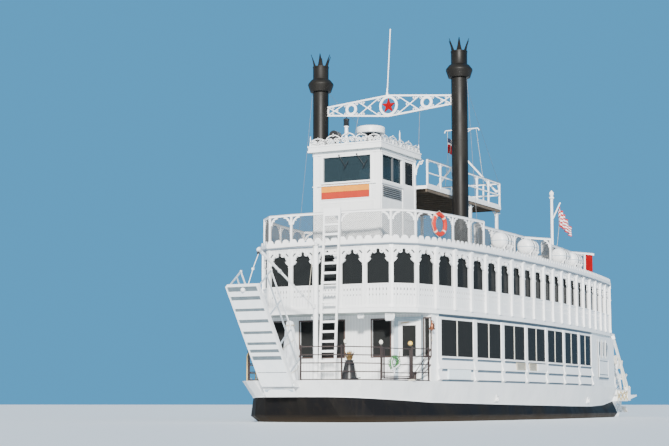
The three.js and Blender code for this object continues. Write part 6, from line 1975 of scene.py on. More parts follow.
# %% Handrail fittings
RAIL_POSTS = [0.450, 1.580, 2.720, 3.860]
mesh = bmesh.new()
for side in (1, -1):
    y = side * (STAGE["half"] - 0.030)
    tube(mesh, [on_stage(0.400, y, 0.974), on_stage(3.900, y, 0.974)], 0.026, 8)
    for s in RAIL_POSTS:
        turned(mesh, [(0.0, 0.046), (0.042, 0.046), (0.042, 0.060), (0.030, 0.085), (0.0, 0.085)], 12,
               stage_place @ Matrix.Translation((s, y, 0)))
        turned(mesh, [(0.0, 0.955), (0.030, 0.965), (0.038, 0.992), (0.026, 1.018), (0.0, 1.026)], 12,
               stage_place @ Matrix.Translation((s, y, 0)))
    hook = [on_stage(0.450, y, 0.650), on_stage(0.370, y, 0.640), on_stage(0.330, y, 0.810),
            on_stage(0.370, y, 0.966),
            on_stage(0.430, y, 0.974)]
    tube(mesh, hook, 0.017, 8)
hand_over("stage_rail_fittings", mesh, white_trim, body="stage")

# %% [markdown]
# ### Boom and its falls
#
# A white fall runs from the boom's tip to the stage's head, and two lifts run from the king post's head to
# the tip. They are taut and drawn for the stage as it hangs at rest. The fall is parted at its block: the
# half above rides with the boom and the half below with the stage, so that either can move alone.

# %% Boom fittings and falls
BOOM = {"heel": Vector((13.3691, 0.0136, 3.940)), "tip": Vector((16.500, -0.330, 5.660))}
KING = {"x": 13.220, "y": 0.030, "radius": 0.085}


def pulley(mesh, at, along, size=0.060):
    """A two-cheeked block with its sheave, hanging along a direction."""
    along = Vector(along).normalized()
    across = along.cross(PORT).normalized()
    place = stand(Vector(at), across, along)
    shell = [(math.sin(t) * size * 0.72, math.cos(t) * size)
             for t in (2 * math.pi * k / 12 for k in range(12))]
    for depth in (-0.030, 0.018):
        plate(mesh, shell[::-1], place @ Matrix.Translation((0, 0, depth)), 0.012)
    turned(mesh, [(0.0, -0.018), (size * 0.62, -0.018), (size * 0.50, -0.002), (size * 0.50, 0.002),
                  (size * 0.62, 0.018), (0.0, 0.018)], 12, place)


mesh = bmesh.new()
along = (BOOM["tip"] - BOOM["heel"]).normalized()
for share, grown in ((0.985, 0.030), (0.62, 0.020), (0.20, 0.020)):
    centre = BOOM["heel"].lerp(BOOM["tip"], share)
    radius = 0.022 + (0.060 - 0.022) * share
    tube(mesh, [centre - along * 0.035, centre + along * 0.035], radius + grown, 14)
hand_over("boom_bands", mesh, rail_top_grey, body="stage_boom")

mesh = bmesh.new()
fall_head = BOOM["tip"] + UP * -0.075
pulley(mesh, fall_head + UP * -0.06, UP)
sling_foot = on_stage(3.880, 0.160, 0.045)
bridle = fall_head.lerp(sling_foot, 0.52)
fall_way = (fall_head - bridle).normalized()
hand_over("boom_tip_block", mesh, lamp_black, body="stage_boom")
mesh = bmesh.new()
tube(mesh, [fall_head - UP * 0.10, bridle + fall_way * 0.065], 0.014, 8)
hand_over("boom_falls", mesh, white_trim, body="stage_boom")
# The boom swings up between its two lifts, which stay on the king post
LIFT = {"spread": 0.102, "head": 6.060, "radius": 0.007}
mesh = bmesh.new()
across = UP.cross(along).normalized()
king_head = Vector((KING["x"], KING["y"], LIFT["head"]))
for side in (1, -1):
    apart = across * (side * LIFT["spread"])
    tube(mesh, [king_head + apart, BOOM["tip"] + apart - along * 0.054], LIFT["radius"], 6)
tube(mesh, [king_head - across * 0.125, king_head + across * 0.125], 0.020, 8)
hand_over("boom_lifts", mesh, wire)
mesh = bmesh.new()
pulley(mesh, bridle, fall_way, 0.052)
tube(mesh, [bridle - fall_way * 0.045, sling_foot], 0.014, 8)
hand_over("stage_bridle", mesh, white_trim, body="stage")

# %% King post fittings
mesh = bmesh.new()
king_place = Matrix.Translation((KING["x"], KING["y"], 0))
r = KING["radius"]
for z in (2.55, 3.60, 4.30, 5.40):
    turned(mesh, [(r - 0.01, z - 0.032), (r + 0.010, z - 0.030), (r + 0.010, z + 0.030),
                  (r - 0.01, z + 0.032)], 16,
           king_place)
turned(mesh, [(0.0, 1.3905), (0.205, 1.3905), (0.205, 1.412), (0.115, 1.430), (r + 0.006, 1.520),
              (r - 0.01, 1.520)], 16,
       king_place)
turned(mesh, [(0.0, 6.141), (0.040, 6.141), (0.055, 6.175), (0.036, 6.215), (0.0, 6.228)], 14, king_place)
hand_over("king_post_bands", mesh, white_trim)
mesh = bmesh.new()
post_side = Vector((KING["x"] - 0.100, KING["y"], 0))
tube(mesh, [post_side + UP * 6.05, post_side + UP * 2.60], 0.009, 6)
horn_cleat = post_side + UP * 2.52
tube(mesh, [horn_cleat + UP * 0.10, horn_cleat - UP * 0.10], 0.016, 8)
tube(mesh, [Vector((KING["x"] - 0.05, KING["y"] - 0.05, 3.62)), Vector((12.990, -0.180, 2.55))], 0.010, 6)
tube(mesh, [Vector((KING["x"] + 0.10, KING["y"] - 0.03, 6.04)), Vector((12.720, -0.560, 4.060))], 0.008, 6)
hand_over("king_post_falls", mesh, old_rope)

# %% [markdown]
# ### Canvas over the winch
#
# The cover is one sheet of canvas wrapped round the winch. It is gathered at the top, falls in uneven
# pleats and flares at the foot. Each of its points lies on a circle that two sine waves fold into pleats,
# and the pleats deepen towards the deck. A rope winds round it and ties it near the top.

# %% Winch cover
COVER = {"x": 13.100, "y": -1.050, "foot": 1.400, "top": 3.440}
COVER_SHAPE = [(0.0, 0.322), (0.12, 0.296), (0.40, 0.246), (0.70, 0.208), (0.84, 0.188), (0.90, 0.150),
               (0.93, 0.128),
               (0.965, 0.150), (1.0, 0.112)]


def cover_radius(share):
    """The cover's mean radius at a share of its height."""
    for (s0, r0), (s1, r1) in zip(COVER_SHAPE, COVER_SHAPE[1:]):
        if share <= s1:
            return r0 + (r1 - r0) * (share - s0) / (s1 - s0)
    return COVER_SHAPE[-1][1]


mesh = bmesh.new()
AROUND, ROWS = 96, 44
cover_rings = []
for row in range(ROWS + 1):
    share = row / ROWS
    height = COVER["foot"] + share * (COVER["top"] - COVER["foot"])
    ring = []
    for k in range(AROUND):
        turn = 2 * math.pi * k / AROUND
        deep = 0.028 * (1 - share) ** 0.7 + 0.008
        pleats = math.sin(7 * turn + 1.6 * share) + 0.55 * math.sin(11 * turn - 2.3 * share + 1.0)
        sway = 0.010 * math.sin(9 * share + 2 * turn)
        radius = cover_radius(share) - 0.016 + deep * 0.62 * pleats / 1.55 + sway
        hem = 0.012 * math.sin(5 * turn) * (1 - share) ** 6
        ring.append(mesh.verts.new((COVER["x"] + radius * math.cos(turn),
                                    COVER["y"] + radius * math.sin(turn),
                                    height + hem + 0.012)))
    cover_rings.append(ring)
for low, high in zip(cover_rings, cover_rings[1:]):
    for k in range(AROUND):
        n = (k + 1) % AROUND
        mesh.faces.new((low[k], low[n], high[n], high[k]))
peak = mesh.verts.new((COVER["x"], COVER["y"], COVER["top"] + 0.045))
for k in range(AROUND):
    mesh.faces.new((cover_rings[-1][k], cover_rings[-1][(k + 1) % AROUND], peak))
cover = hand_over("winch_canvas", mesh, canvas, sharp=60)
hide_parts("winch_cover")

mesh = bmesh.new()
for z, size in ((3.300, 0.150), (3.322, 0.149)):
    tube(mesh, [(COVER["x"] + (size + 0.006 * math.sin(7 * t)) * math.cos(t),
                 COVER["y"] + (size + 0.006 * math.sin(7 * t)) * math.sin(t), z + 0.01 * math.sin(t))
                for t in (2 * math.pi * k / 28 for k in range(28))], 0.011, 6, closed=True)
tail = [Vector((COVER["x"] + 0.155, COVER["y"] + 0.03, 3.31)),
        Vector((COVER["x"] + 0.190, COVER["y"] + 0.05, 3.10)),
        Vector((COVER["x"] + 0.215, COVER["y"] + 0.04, 2.86)),
        Vector((COVER["x"] + 0.232, COVER["y"] + 0.06, 2.70))]
tube(mesh, tail, 0.010, 6)
spiral = []
for k in range(60):
    share = 0.10 + 0.60 * k / 59
    turn = 2 * math.pi * 1.15 * k / 59 + 0.3
    radius = cover_radius(share) + 0.024
    spiral.append((COVER["x"] + radius * math.cos(turn), COVER["y"] + radius * math.sin(turn),
                   COVER["foot"] + share * (COVER["top"] - COVER["foot"])))
tube(mesh, spiral, 0.010, 6)
hand_over("winch_cover_rope", mesh, old_rope)

# %% [markdown]
# ### Rails, hoops and the gate
#
# The port rail ends in raking stays that tie its bars to the deck. Two cream hoops stand at the starboard
# bow. On the rail hang small lamps, and the gate carries a wreath with a ribbon.

# %% Rail points
BOW_RAIL = {"inset": 0.110, "z": 2.500, "bars": (1.680, 1.960, 2.230, 2.500)}
POSTS_PORT = [0.370, 1.890, 3.500, 5.100, 6.060]
POSTS_STARBOARD = [1.050, 1.890, 3.500, 5.100, 6.060]


def bow_point(distance, z, side=1, inset_by=BOW_RAIL["inset"]):
    """A point of the bow rail, at a distance round the hull's edge from its nose."""
    x, y = point_along(hull_line, distance)
    x1, y1 = point_along(hull_line, distance + 0.05)
    along = Vector((x1 - x, y1 - y)).normalized()
    return Vector((x - along.y * inset_by, side * (y + along.x * inset_by), z))


mesh = bmesh.new()
for side, posts in ((1, POSTS_PORT), (-1, POSTS_STARBOARD)):
    end = posts[-1]
    for z, back in zip(BOW_RAIL["bars"][1:], (0.60, 0.66, 1.05)):
        tip = bow_point(end + 0.14, z, side)
        tube(mesh, [bow_point(end, z, side), tip], 0.016, 8)
        foot = bow_point(end - back, 1.402, side, BOW_RAIL["inset"] + 0.05)
        foot = tip.lerp(foot, 0.62 if z < 2.4 else 1.0)
        tube(mesh, [tip, foot], 0.016, 6)
    turned(mesh, [(0.0, -0.028), (0.024, -0.022), (0.030, 0.0), (0.024, 0.022), (0.0, 0.028)], 12,
           Matrix.Translation(bow_point(end + 0.14, BOW_RAIL["z"], side)))
    for distance in posts:
        turned(mesh, [(0.0, 1.3905), (0.062, 1.3905), (0.062, 1.404), (0.034, 1.412), (0.034, 1.425),
                      (0.0, 1.425)], 12,
               Matrix.Translation(bow_point(distance, 0, side)))
        turned(mesh, [(0.0, 2.521), (0.030, 2.523), (0.034, 2.540), (0.022, 2.560), (0.0, 2.566)], 12,
               Matrix.Translation(bow_point(distance, 0, side)))
hand_over("bow_rail_ends", mesh, rail_black)

# %% Cream hoops
mesh = bmesh.new()
HOOPS = [(14.10, -1.62, 0.175), (13.86, -2.10, 0.185)]
for x, y, half in HOOPS:
    across = Vector((0.62, -0.78, 0)).normalized()
    feet = [Vector((x, y, 1.40)) + across * (side * half) for side in (-1, 1)]
    arc = [Vector((x, y, 2.235)) + across * (half * -math.cos(t)) + UP * (half * math.sin(t))
           for t in (math.pi * k / 10 for k in range(11))]
    tube(mesh, [feet[0]] + arc + [feet[1]], 0.021, 10)
    for foot in feet:
        turned(mesh, [(0.0, 0.0), (0.048, 0.0), (0.048, 0.010), (0.022, 0.014), (0.0, 0.014)], 12,
               Matrix.Translation(foot - UP * 0.009))
hand_over("bow_hoops", mesh, lattice_yellow)

# %% Gate frame, lamps and wreath
gate_from = bow_point(POSTS_PORT[2], 0)
gate_to = bow_point(POSTS_PORT[3], 0)
gate_along = (gate_to - gate_from).normalized()
gate_out = Vector((-gate_along.y, gate_along.x, 0))
gate_out = gate_out if gate_out.x > 0 else -gate_out
gate_place = stand(gate_from + gate_out * 0.022, UP.cross(gate_out), UP)
span = (gate_to - gate_from).length
mesh = bmesh.new()
gate_way = 1 if gate_place.col[0].xyz.dot(gate_along) > 0 else -1
for low, high, z0, z1 in ((0.085, 0.150, 1.50, 2.44), (span - 0.180, span - 0.110, 1.50, 2.44),
                          (0.085, span - 0.070, 1.450, 1.500)):
    a, b = sorted((gate_way * low, gate_way * high))
    plate(mesh, [(a, z0), (b, z0), (b, z1), (a, z1)], gate_place, 0.012)
hand_over("gate_frame_plates", mesh, rail_black, body="gate")

leaves, ribbon = bmesh.new(), bmesh.new()
WREATH = {"u": 0.56, "z": 1.985, "radius": 0.190, "leaves": 150}
centre = gate_place @ Vector((gate_way * WREATH["u"], WREATH["z"], 0.075))
face_u, face_n = gate_place.col[0].xyz, gate_place.col[2].xyz
for k in range(WREATH["leaves"]):
    turn = 2 * math.pi * k / WREATH["leaves"]
    ring_out = face_u * math.cos(turn) + UP * math.sin(turn)
    lean = 2.399963 * k
    off = ring_out * (0.045 * math.cos(lean)) + face_n * (0.045 * math.sin(lean))
    root = centre + ring_out * WREATH["radius"] + off * 0.6
    tip = root + off * 1.6 + (UP * math.cos(turn) - face_u * math.sin(turn)) * 0.055
    wide = (tip - root).cross(ring_out).normalized() * 0.019
    if wide.length < 0.01:
        wide = face_n * 0.019
    raised = (root + tip) / 2 + off.normalized() * 0.010
    corners = [leaves.verts.new(p) for p in (root, raised + wide, tip, raised - wide)]
    inner = leaves.verts.new(root.lerp(tip, 0.45) - off.normalized() * 0.008)
    for a, b in ((0, 1), (1, 2), (2, 3), (3, 0)):
        leaves.faces.new((corners[a], corners[b], inner))
    leaves.faces.new((corners[0], corners[3], corners[2], corners[1]))
ring_path = [centre + (face_u * math.cos(t) + UP * math.sin(t)) * WREATH["radius"]
             for t in (2 * math.pi * j / 24 for j in range(24))]
tube(leaves, ring_path, 0.034, 8, closed=True)
hand_over("gate_wreath", leaves, leaf_green, body="gate", sharp=20)
flat = stand(centre + face_n * 0.062, face_u, UP)
strip(ribbon, [(-0.21, -0.25), (-0.10, -0.185), (0.02, -0.15), (0.12, -0.09), (0.25, 0.02)], 0.052, flat,
      0.006)
strip(ribbon, [(-0.17, 0.16), (-0.215, 0.05), (-0.20, -0.09), (-0.15, -0.17)], 0.046, flat, 0.006)
strip(ribbon, [(-0.02, -0.15), (-0.09, -0.30), (-0.06, -0.36)], 0.050, flat, 0.006)
hand_over("wreath_ribbon", ribbon, flag_white, body="gate")

# %% Lamps on the rail
LAMPS = [(3.500, 0.070, cream_paint), (5.000, 0.085, warm_lamp), (2.030, 0.060, cream_paint)]
for number, (distance, size, finish) in enumerate(LAMPS):
    mesh, base = bmesh.new(), bmesh.new()
    place = Matrix.Translation(bow_point(distance, BOW_RAIL["z"] + 0.068))
    turned(base, [(0.0, 0.0), (size * 0.70, 0.0), (size * 0.70, 0.020), (size * 0.34, 0.032),
                  (0.0, 0.032)], 12, place)
    turned(mesh, [(0.0, 0.033), (size * 0.60, 0.033), (size, 0.080), (size * 0.96, 0.120),
                  (size * 0.60, 0.165),
                  (0.0, 0.180)], 14, place)
    hand_over(f"rail_lamp_{number}", mesh, finish)
    hand_over(f"rail_lamp_base_{number}", base, lamp_black)

# %% [markdown]
# ### Deck gear
#
# A tall tapered planter stands by the rail with a small shrub in it, and the deck carries cleats, coils of
# rope and a bollard. Each is turned or bent from the same helpers.

# %% Planter
PLANTER = Vector((13.420, 1.430, 1.3905))
mesh = bmesh.new()
turned(mesh, [(0.0, 0.0), (0.285, 0.0), (0.290, 0.030), (0.262, 0.055), (0.205, 0.310), (0.150, 0.600),
              (0.135, 0.640),
              (0.150, 0.665), (0.150, 0.690), (0.124, 0.690), (0.116, 0.650), (0.0, 0.645)], 18,
       Matrix.Translation(PLANTER))
for k in range(9):
    turn = 2 * math.pi * k / 9
    out = Vector((math.cos(turn), math.sin(turn), 0))
    beam(mesh, PLANTER + out * 0.276 + UP * 0.045, PLANTER + out * 0.156 + UP * 0.600, 0.030, 0.014,
         over=out)
hand_over("planter", mesh, lamp_black)
mesh = bmesh.new()
for k in range(64):
    turn = 2.399963 * k
    reach = 0.05 + 0.165 * ((k * 37) % 64) / 64
    base = PLANTER + Vector((0.05 * math.cos(turn), 0.05 * math.sin(turn), 0.640))
    tip = PLANTER + Vector((reach * math.cos(turn), reach * math.sin(turn),
                            0.740 + 0.30 * ((k * 23) % 64) / 64))
    wide = Vector((-math.sin(turn), math.cos(turn), 0)) * 0.024
    middle = base.lerp(tip, 0.62) + UP * 0.05
    corners = [mesh.verts.new(p) for p in (base, middle + wide, tip, middle - wide, middle - UP * 0.006)]
    for a, b in ((0, 1), (1, 2), (2, 3), (3, 0)):
        mesh.faces.new((corners[a], corners[b], corners[4]))
    mesh.faces.new((corners[0], corners[3], corners[2], corners[1]))
hand_over("planter_shrub", mesh, dry_leaf)

# %% Cleats and rope coils
CLEAT_HALF = 0.16


def cleat(mesh, at, along):
    """A two-horned cleat on two feet."""
    at, along = Vector(at), Vector(along).normalized()
    tube(mesh, [at - along * CLEAT_HALF + UP * 0.085, at - along * CLEAT_HALF * 0.4 + UP * 0.070,
                at + along * CLEAT_HALF * 0.4 + UP * 0.070, at + along * CLEAT_HALF + UP * 0.085], 0.018, 8)
    for side in (-1, 1):
        foot = at + along * (side * CLEAT_HALF * 0.32)
        tube(mesh, [foot, foot + UP * 0.070], 0.020, 8)
        turned(mesh, [(0.0, 0.0), (0.044, 0.0), (0.044, 0.010), (0.0, 0.010)], 10, Matrix.Translation(foot))


mesh = bmesh.new()
for distance, side, inner in ((2.55, 1, 0.30), (5.62, 1, 0.24), (2.60, -1, 0.30), (5.62, -1, 0.24)):
    point = bow_point(distance, 1.3905, side, inner)
    nearby = bow_point(distance + 0.1, 1.3905, side, inner)
    cleat(mesh, point, nearby - point)
hand_over("deck_cleats", mesh, lamp_black)
mesh = bmesh.new()
COILS = [((13.20, 0.760), 0.155), ((11.900, 3.020), 0.150), ((12.900, -2.320), 0.170)]
for (x, y), size in COILS:
    loops = 5
    path = [(x + (size - 0.018 * t / (2 * math.pi)) * math.cos(t),
             y + (size - 0.018 * t / (2 * math.pi)) * math.sin(t),
             1.406 + 0.005 * math.sin(3 * t)) for t in (2 * math.pi * loops * k / 90 for k in range(91))]
    tube(mesh, path, 0.013, 6)
    path = [(x + (size - 0.02) * math.cos(t), y + (size - 0.02) * math.sin(t),
             1.430 + 0.004 * math.sin(2 * t))
            for t in (2 * math.pi * k / 30 for k in range(30))]
    tube(mesh, path, 0.013, 6, closed=True)
hand_over("rope_coils", mesh, old_rope)

# %% Fittings on the bollards
mesh = bmesh.new()
for side in (1, -1):
    place = Matrix.Translation((11.480, side * 2.955, 1.3905))
    for x, y in ((-0.095, 0.040), (-0.095, -0.040), (0.095, 0.040), (0.095, -0.040)):
        turned(mesh, [(0.0, 0.026), (0.013, 0.026), (0.013, 0.038), (0.0, 0.042)], 6,
               place @ Matrix.Translation((x, y, 0)))
    turned(mesh, [(0.066, 0.228), (0.086, 0.246), (0.086, 0.262), (0.078, 0.270)], 20, place)
    turned(mesh, [(0.0, 0.301), (0.062, 0.301), (0.050, 0.316), (0.0, 0.322)], 20, place)
hand_over("bollard_fittings", mesh, rail_black)

# %% [markdown]
# ## Paddle wheel
#
# The solid wheel has its shaft, three frames and twelve boards. Here each board gets two stained planks
# with a gap between, held by straps and bolts at every frame. White rims run round outside the frames,
# and the hub gets a bolted flange. All of it turns with the wheel.

# %% Planks and straps
WHEEL = {"x": -13.350, "z": 1.150, "buckets": 12, "board": 0.0225, "frames": (-2.050, 0.0, 2.050)}


def wheel_place(turn):
    """A frame at the wheel's centre: its axes run outwards at the turn, across, and round the wheel."""
    place = Matrix.Translation((WHEEL["x"], 0, WHEEL["z"])) @ Matrix.Rotation(-turn, 4, "Y")
    return place


planks, straps = bmesh.new(), bmesh.new()
for i in range(WHEEL["buckets"]):
    place = wheel_place(2 * math.pi * i / WHEEL["buckets"])
    for side in (-1, 1):
        face = WHEEL["board"] * side
        for r0, r1 in ((1.384, 1.585), (1.597, 1.798)):
            for y0, y1 in ((-2.296, -2.108), (-1.992, -0.058), (0.058, 1.992), (2.108, 2.296)):
                low, high = sorted((face + 0.001 * side, face + 0.026 * side))
                plate(planks, [(r0, y0), (r1, y0), (r1, y1), (r0, y1)],
                      place @ Matrix.Translation((0, 0, low)),
                      high - low)
        for y in WHEEL["frames"]:
            for off in (-0.085, 0.085):
                low, high = sorted((face + 0.027 * side, face + 0.036 * side))
                plate(straps, [(1.395, y + off - 0.024), (1.790, y + off - 0.024), (1.790, y + off + 0.024),
                               (1.395, y + off + 0.024)], place @ Matrix.Translation((0, 0, low)),
                      high - low)
                for radius in (1.47, 1.70):
                    bolt = place @ Matrix.Translation((radius, y + off, face + 0.036 * side))
                    if side < 0:
                        bolt = bolt @ Matrix.Rotation(math.pi, 4, "X")
                    turned(straps, [(0.0, -0.002), (0.020, -0.002), (0.018, 0.016), (0.0, 0.018)], 6, bolt)
hand_over("wheel_planks", planks, paddle_paint, body="paddle_wheel")
hand_over("wheel_straps", straps, rail_top_grey, body="paddle_wheel")

# %% Rims, braces and hub
mesh = bmesh.new()
for y in WHEEL["frames"]:
    for outer, inner, half in ((1.262, 1.226, 0.052), (1.345, 1.300, 0.030)):
        profile = [(outer, -half), (outer, half), (inner, half), (inner, -half), (outer, -half)]
        turned(mesh, profile, 48,
               Matrix.Translation((WHEEL["x"], y, WHEEL["z"])) @ Matrix.Rotation(math.pi / 2, 4, "X"))
    for i in range(WHEEL["buckets"]):
        turn = 2 * math.pi * (i + 0.5) / WHEEL["buckets"]
        place = wheel_place(turn)
        beam(mesh, place @ Vector((0.300, y, 0)), place @ Vector((1.130, y, 0)), 0.040, 0.030)
for i in range(WHEEL["buckets"]):
    a = wheel_place(2 * math.pi * i / WHEEL["buckets"])
    b = wheel_place(2 * math.pi * (i + 3) / WHEEL["buckets"])
    for y0, y1 in ((-2.0, -0.05), (0.05, 2.0)):
        start, end = (y0, y1) if i % 2 else (y1, y0)
        tube(mesh, [a @ Vector((1.175, start, 0)), b @ Vector((1.175, end, 0))], 0.018, 6)
hand_over("wheel_rims", mesh, white_trim, body="paddle_wheel")
mesh = bmesh.new()
for y in WHEEL["frames"]:
    for side in (-1, 1):
        place = (Matrix.Translation((WHEEL["x"], y + side * 0.061, WHEEL["z"]))
                 @ Matrix.Rotation(math.pi / 2 * side, 4, "X").inverted())
        turned(mesh, [(0.155, 0.0), (0.300, 0.0), (0.300, 0.016), (0.235, 0.026), (0.190, 0.070),
                      (0.155, 0.070)], 28,
               place)
        for k in range(12):
            turn = 2 * math.pi * (k + 0.5) / 12
            bolt = place @ Matrix.Translation((0.266 * math.cos(turn), 0.266 * math.sin(turn), 0.018))
            turned(mesh, [(0.0, 0.0), (0.020, 0.0), (0.018, 0.018), (0.0, 0.020)], 6, bolt)
hand_over("wheel_hub_flanges", mesh, rail_top_grey, body="paddle_wheel")

# %% [markdown]
# ### Beams that carry the wheel
#
# Each beam runs aft from the transom to a bearing block. The block has a bolted cap and a grease cup, the
# outer face has a lattice of crossed slats, and a pale brace runs up to the deck above.

# %% Beam trim
BEAM = {"y0": 2.640, "y1": 2.860}
caps, slats, trim = bmesh.new(), bmesh.new(), bmesh.new()
for side in (1, -1):
    y = side * (BEAM["y0"] + BEAM["y1"]) / 2
    cap_at = Vector((WHEEL["x"], y, 1.370))
    block(caps, (WHEEL["x"] - 0.250, y - 0.118, 1.371), (WHEEL["x"] + 0.250, y + 0.118, 1.420))
    turned(caps, [(0.0, 1.420), (0.052, 1.420), (0.052, 1.455), (0.040, 1.470), (0.040, 1.510),
                  (0.0, 1.520)], 14,
           Matrix.Translation((WHEEL["x"], y, 0)))
    for x in (-0.195, 0.195):
        for step in (-0.070, 0.070):
            turned(caps, [(0.0, 1.420), (0.026, 1.420), (0.026, 1.442), (0.014, 1.444), (0.014, 1.475),
                          (0.0, 1.480)],
                   6, Matrix.Translation((WHEEL["x"] + x, y + step, 0)))
    face = stand((0, side * BEAM["y1"], 0), FORWARD * -side, UP)
    for x0, x1 in ((-11.46, -12.02), (-12.02, -12.58), (-12.58, -13.06)):
        for za, zb in ((0.800, 1.200), (1.200, 0.800)):
            strip(slats, [(on_wall(x0, side), za), (on_wall(x1, side), zb)], 0.055,
                  face @ Matrix.Translation((0, 0, 0.002)), 0.020)
    for z in (0.770, 1.235):
        strip(trim, [(on_wall(-11.42, side), z), (on_wall(-13.10, side), z)], 0.045,
              face @ Matrix.Translation((0, 0, 0.001)), 0.028)
    for x in (-11.44, -13.08):
        strip(trim, [(on_wall(x, side), 0.750), (on_wall(x, side), 1.255)], 0.045,
              face @ Matrix.Translation((0, 0, 0.001)), 0.028)
    start = Vector((-11.470, side * 2.750, 3.620))
    end = Vector((-13.780, side * 2.750, 1.010))
    along = (end - start).normalized()
    for edge in (-0.050, 0.050):
        shift = along.cross(PORT) * edge
        beam(trim, start + shift, end + shift, 0.100, 0.012, over=along.cross(PORT))
    tube(trim, [Vector((-12.300, side * 2.752, 2.640)), Vector((-13.020, side * 2.752, 1.300))], 0.036, 8)
    for x, z in ((-11.56, 3.50), (-13.72, 1.10)):
        turned(trim, [(0.0, 0.0), (0.026, 0.0), (0.024, 0.016), (0.0, 0.018)], 6,
               stand((x, side * 2.796, z), FORWARD * -side, UP))
hand_over("bearing_caps", caps, cream_paint)
hand_over("beam_lattice", slats, lattice_yellow)
hand_over("beam_trim", trim, cream_paint)

# %% [markdown]
# ### Stern wall
#
# The cabin's stern wall faces the wheel, so it is plain: two framed windows, a panelled door outboard of
# each, and brass handholds beside the doors.

# %% Stern wall joinery
aft_wall = stand((CABIN["aft"], 0, 0), PORT * -1, UP)
mesh = bmesh.new()
for side in (1, -1):
    spans = sorted((side * 0.450, side * 1.350))
    window_frame(mesh, aft_wall, (spans[0], CABIN["sill"]), (spans[1], CABIN["head"]), 0.055, 0.020)
window_frame(mesh, aft_wall, (1.75, 1.43), (2.50, 3.45), 0.060, 0.024)
window_frame(mesh, aft_wall, (1.84, 2.40), (2.41, 3.35), 0.030, 0.012)
window_frame(mesh, aft_wall, (1.84, 1.52), (2.41, 2.28), 0.030, 0.012)
window_frame(mesh, aft_wall, (-2.50, 1.43), (-1.75, 3.45), 0.060, 0.024)
window_frame(mesh, aft_wall, (-2.41, 2.40), (-1.84, 3.35), 0.030, 0.012)
window_frame(mesh, aft_wall, (-2.41, 1.52), (-1.84, 2.28), 0.030, 0.012)
hand_over("stern_wall_joinery", mesh, white_trim)
mesh = bmesh.new()
for y in (-1.62, 1.62):
    for z in (1.75, 2.75):
        tube(mesh, [aft_wall @ Vector((y, z, 0.001)), aft_wall @ Vector((y, z, 0.055)),
                    aft_wall @ Vector((y, z + 0.38, 0.055)), aft_wall @ Vector((y, z + 0.38, 0.001))],
             0.013, 8)
for y in (2.33, -1.92):
    turned(mesh, [(0.0, 0.0), (0.020, 0.0), (0.020, 0.035), (0.034, 0.045), (0.034, 0.062), (0.0, 0.068)],
           12,
           aft_wall @ Matrix.Translation((y, 2.30, 0.012)))
hand_over("stern_handholds", mesh, brass)

# %% [markdown]
# ## Flags
#
# A flag is a flat cloth, so its shape is worked out from where each thread would be. It hangs from its
# hoist, and the loose length bunches into a few deep folds. The stern flag has plain red and white
# stripes, the small one on the mast a navy top, a white line and a red foot.

# %% Cloth in folds
def along_curve(points, share):
    """A point at a share of a curve given by a few points."""
    span = share * (len(points) - 1)
    i = min(int(span), len(points) - 2)
    t = span - i
    ease = t * t * (3 - 2 * t) * 0.35 + t * 0.65
    return tuple(a + (b - a) * ease for a, b in zip(points[i], points[i + 1]))


CLOTH_COLUMNS, CLOTH_ROWS = 84, 42


def hanging_cloth(top, foot, at_y, fold, waves, stripes, slack):
    """A limp cloth between a top edge and a foot edge, both curves of (x, z), with folds across it."""
    mesh = bmesh.new()
    grid = []
    for j in range(CLOTH_ROWS + 1):
        down = j / CLOTH_ROWS
        line = []
        for i in range(CLOTH_COLUMNS + 1):
            share = i / CLOTH_COLUMNS
            (x0, z0), (x1, z1) = along_curve(top, share), along_curve(foot, share)
            phase = 2 * math.pi * waves * share + 0.9 * math.sin(2.2 * down + 3 * share)
            opened = 0.25 + 0.75 * min(share * 6, 1)
            deep = fold * opened * (0.70 + 0.30 * math.sin(3.1 * down + 4 * share))
            x = x0 + (x1 - x0) * down + slack * math.sin(2 * phase) * min(share * 5, 1)
            y = at_y + deep * math.sin(phase) + 0.012 * math.sin(9 * down + 2 * phase)
            z = z0 + (z1 - z0) * down + 0.010 * math.sin(phase * 2 + 4 * down)
            line.append(mesh.verts.new((x, y, z)))
        grid.append(line)
    for j in range(CLOTH_ROWS):
        number = next(k for k, (until, _) in enumerate(stripes) if (j + 0.5) / CLOTH_ROWS <= until)
        for i in range(CLOTH_COLUMNS):
            face = mesh.faces.new((grid[j][i], grid[j + 1][i], grid[j + 1][i + 1], grid[j][i + 1]))
            face.material_index = stripes[number][1]
    return mesh


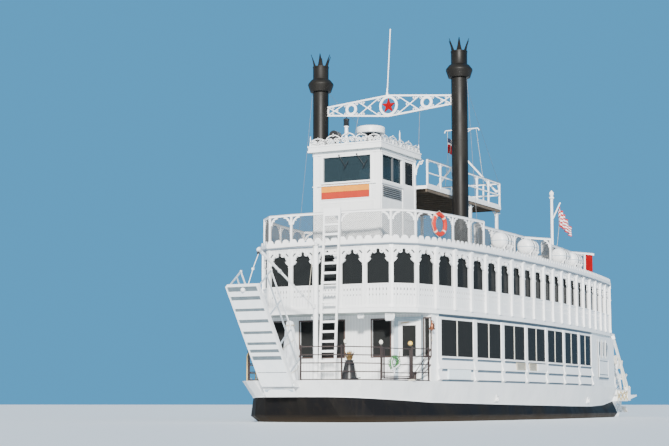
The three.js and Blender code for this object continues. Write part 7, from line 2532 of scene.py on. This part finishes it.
# %% Stern flag
BARS = 9
stern_stripes = [((k + 1) / BARS + (1e-6 if k == BARS - 1 else 0), k % 2) for k in range(BARS)]
TOP_EDGE = [(-10.630, 10.040), (-10.900, 9.860), (-11.230, 9.700), (-11.700, 9.500), (-12.330, 9.200)]
FOOT_EDGE = [(-10.620, 9.130), (-10.900, 9.060), (-11.260, 9.020), (-11.640, 8.900), (-12.290, 8.760)]
mesh = hanging_cloth(TOP_EDGE, FOOT_EDGE, 0.430, 0.105, 4.2, stern_stripes, 0.020)
ensign = hand_over("stern_ensign", mesh, [flag_red, flag_white], sharp=180)
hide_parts("stern_flag")
mesh = bmesh.new()
tube(mesh, [(-10.612, 0.430, 10.130), (-10.615, 0.430, 10.045)], 0.008, 6)
tube(mesh, [(-10.615, 0.428, 9.125), (-10.300, 0.430, 8.200), (-9.640, 0.430, 7.500)], 0.007, 6)
hand_over("ensign_halyard", mesh, old_rope)

# %% Small flag on the mast
MAST_FLAG = {"y": -0.410, "top": 11.730, "foot": 11.090}
mesh = bmesh.new()
rows, columns = 30, 36
grid = []
for j in range(rows + 1):
    down = j / rows
    line = []
    for i in range(columns + 1):
        share = i / columns
        phase = 2 * math.pi * 2.2 * share + 1.2 * down
        y = MAST_FLAG["y"] + 0.24 * share + 0.012 * math.sin(2 * phase)
        x = 0.760 + 0.055 * math.sin(phase) * min(share * 5, 1) - 0.05 * share
        z = MAST_FLAG["top"] - (MAST_FLAG["top"] - MAST_FLAG["foot"]) * down - 0.16 * share ** 1.5
        line.append(mesh.verts.new((x, y, z)))
    grid.append(line)
for j in range(rows):
    middle = (j + 0.5) / rows
    for i in range(columns):
        face = mesh.faces.new((grid[j][i], grid[j + 1][i], grid[j + 1][i + 1], grid[j][i + 1]))
        face.material_index = 0 if middle < 0.30 else (1 if middle < 0.40 else 2)
mast_flag = hand_over("mast_pennant", mesh, [flag_navy, flag_white, flag_red], sharp=180)
mesh = bmesh.new()
tube(mesh, [(0.760, -0.415, 12.040), (0.760, -0.414, 11.060), (0.860, -0.500, 9.640)], 0.007, 6)
hand_over("pennant_halyard", mesh, old_rope)
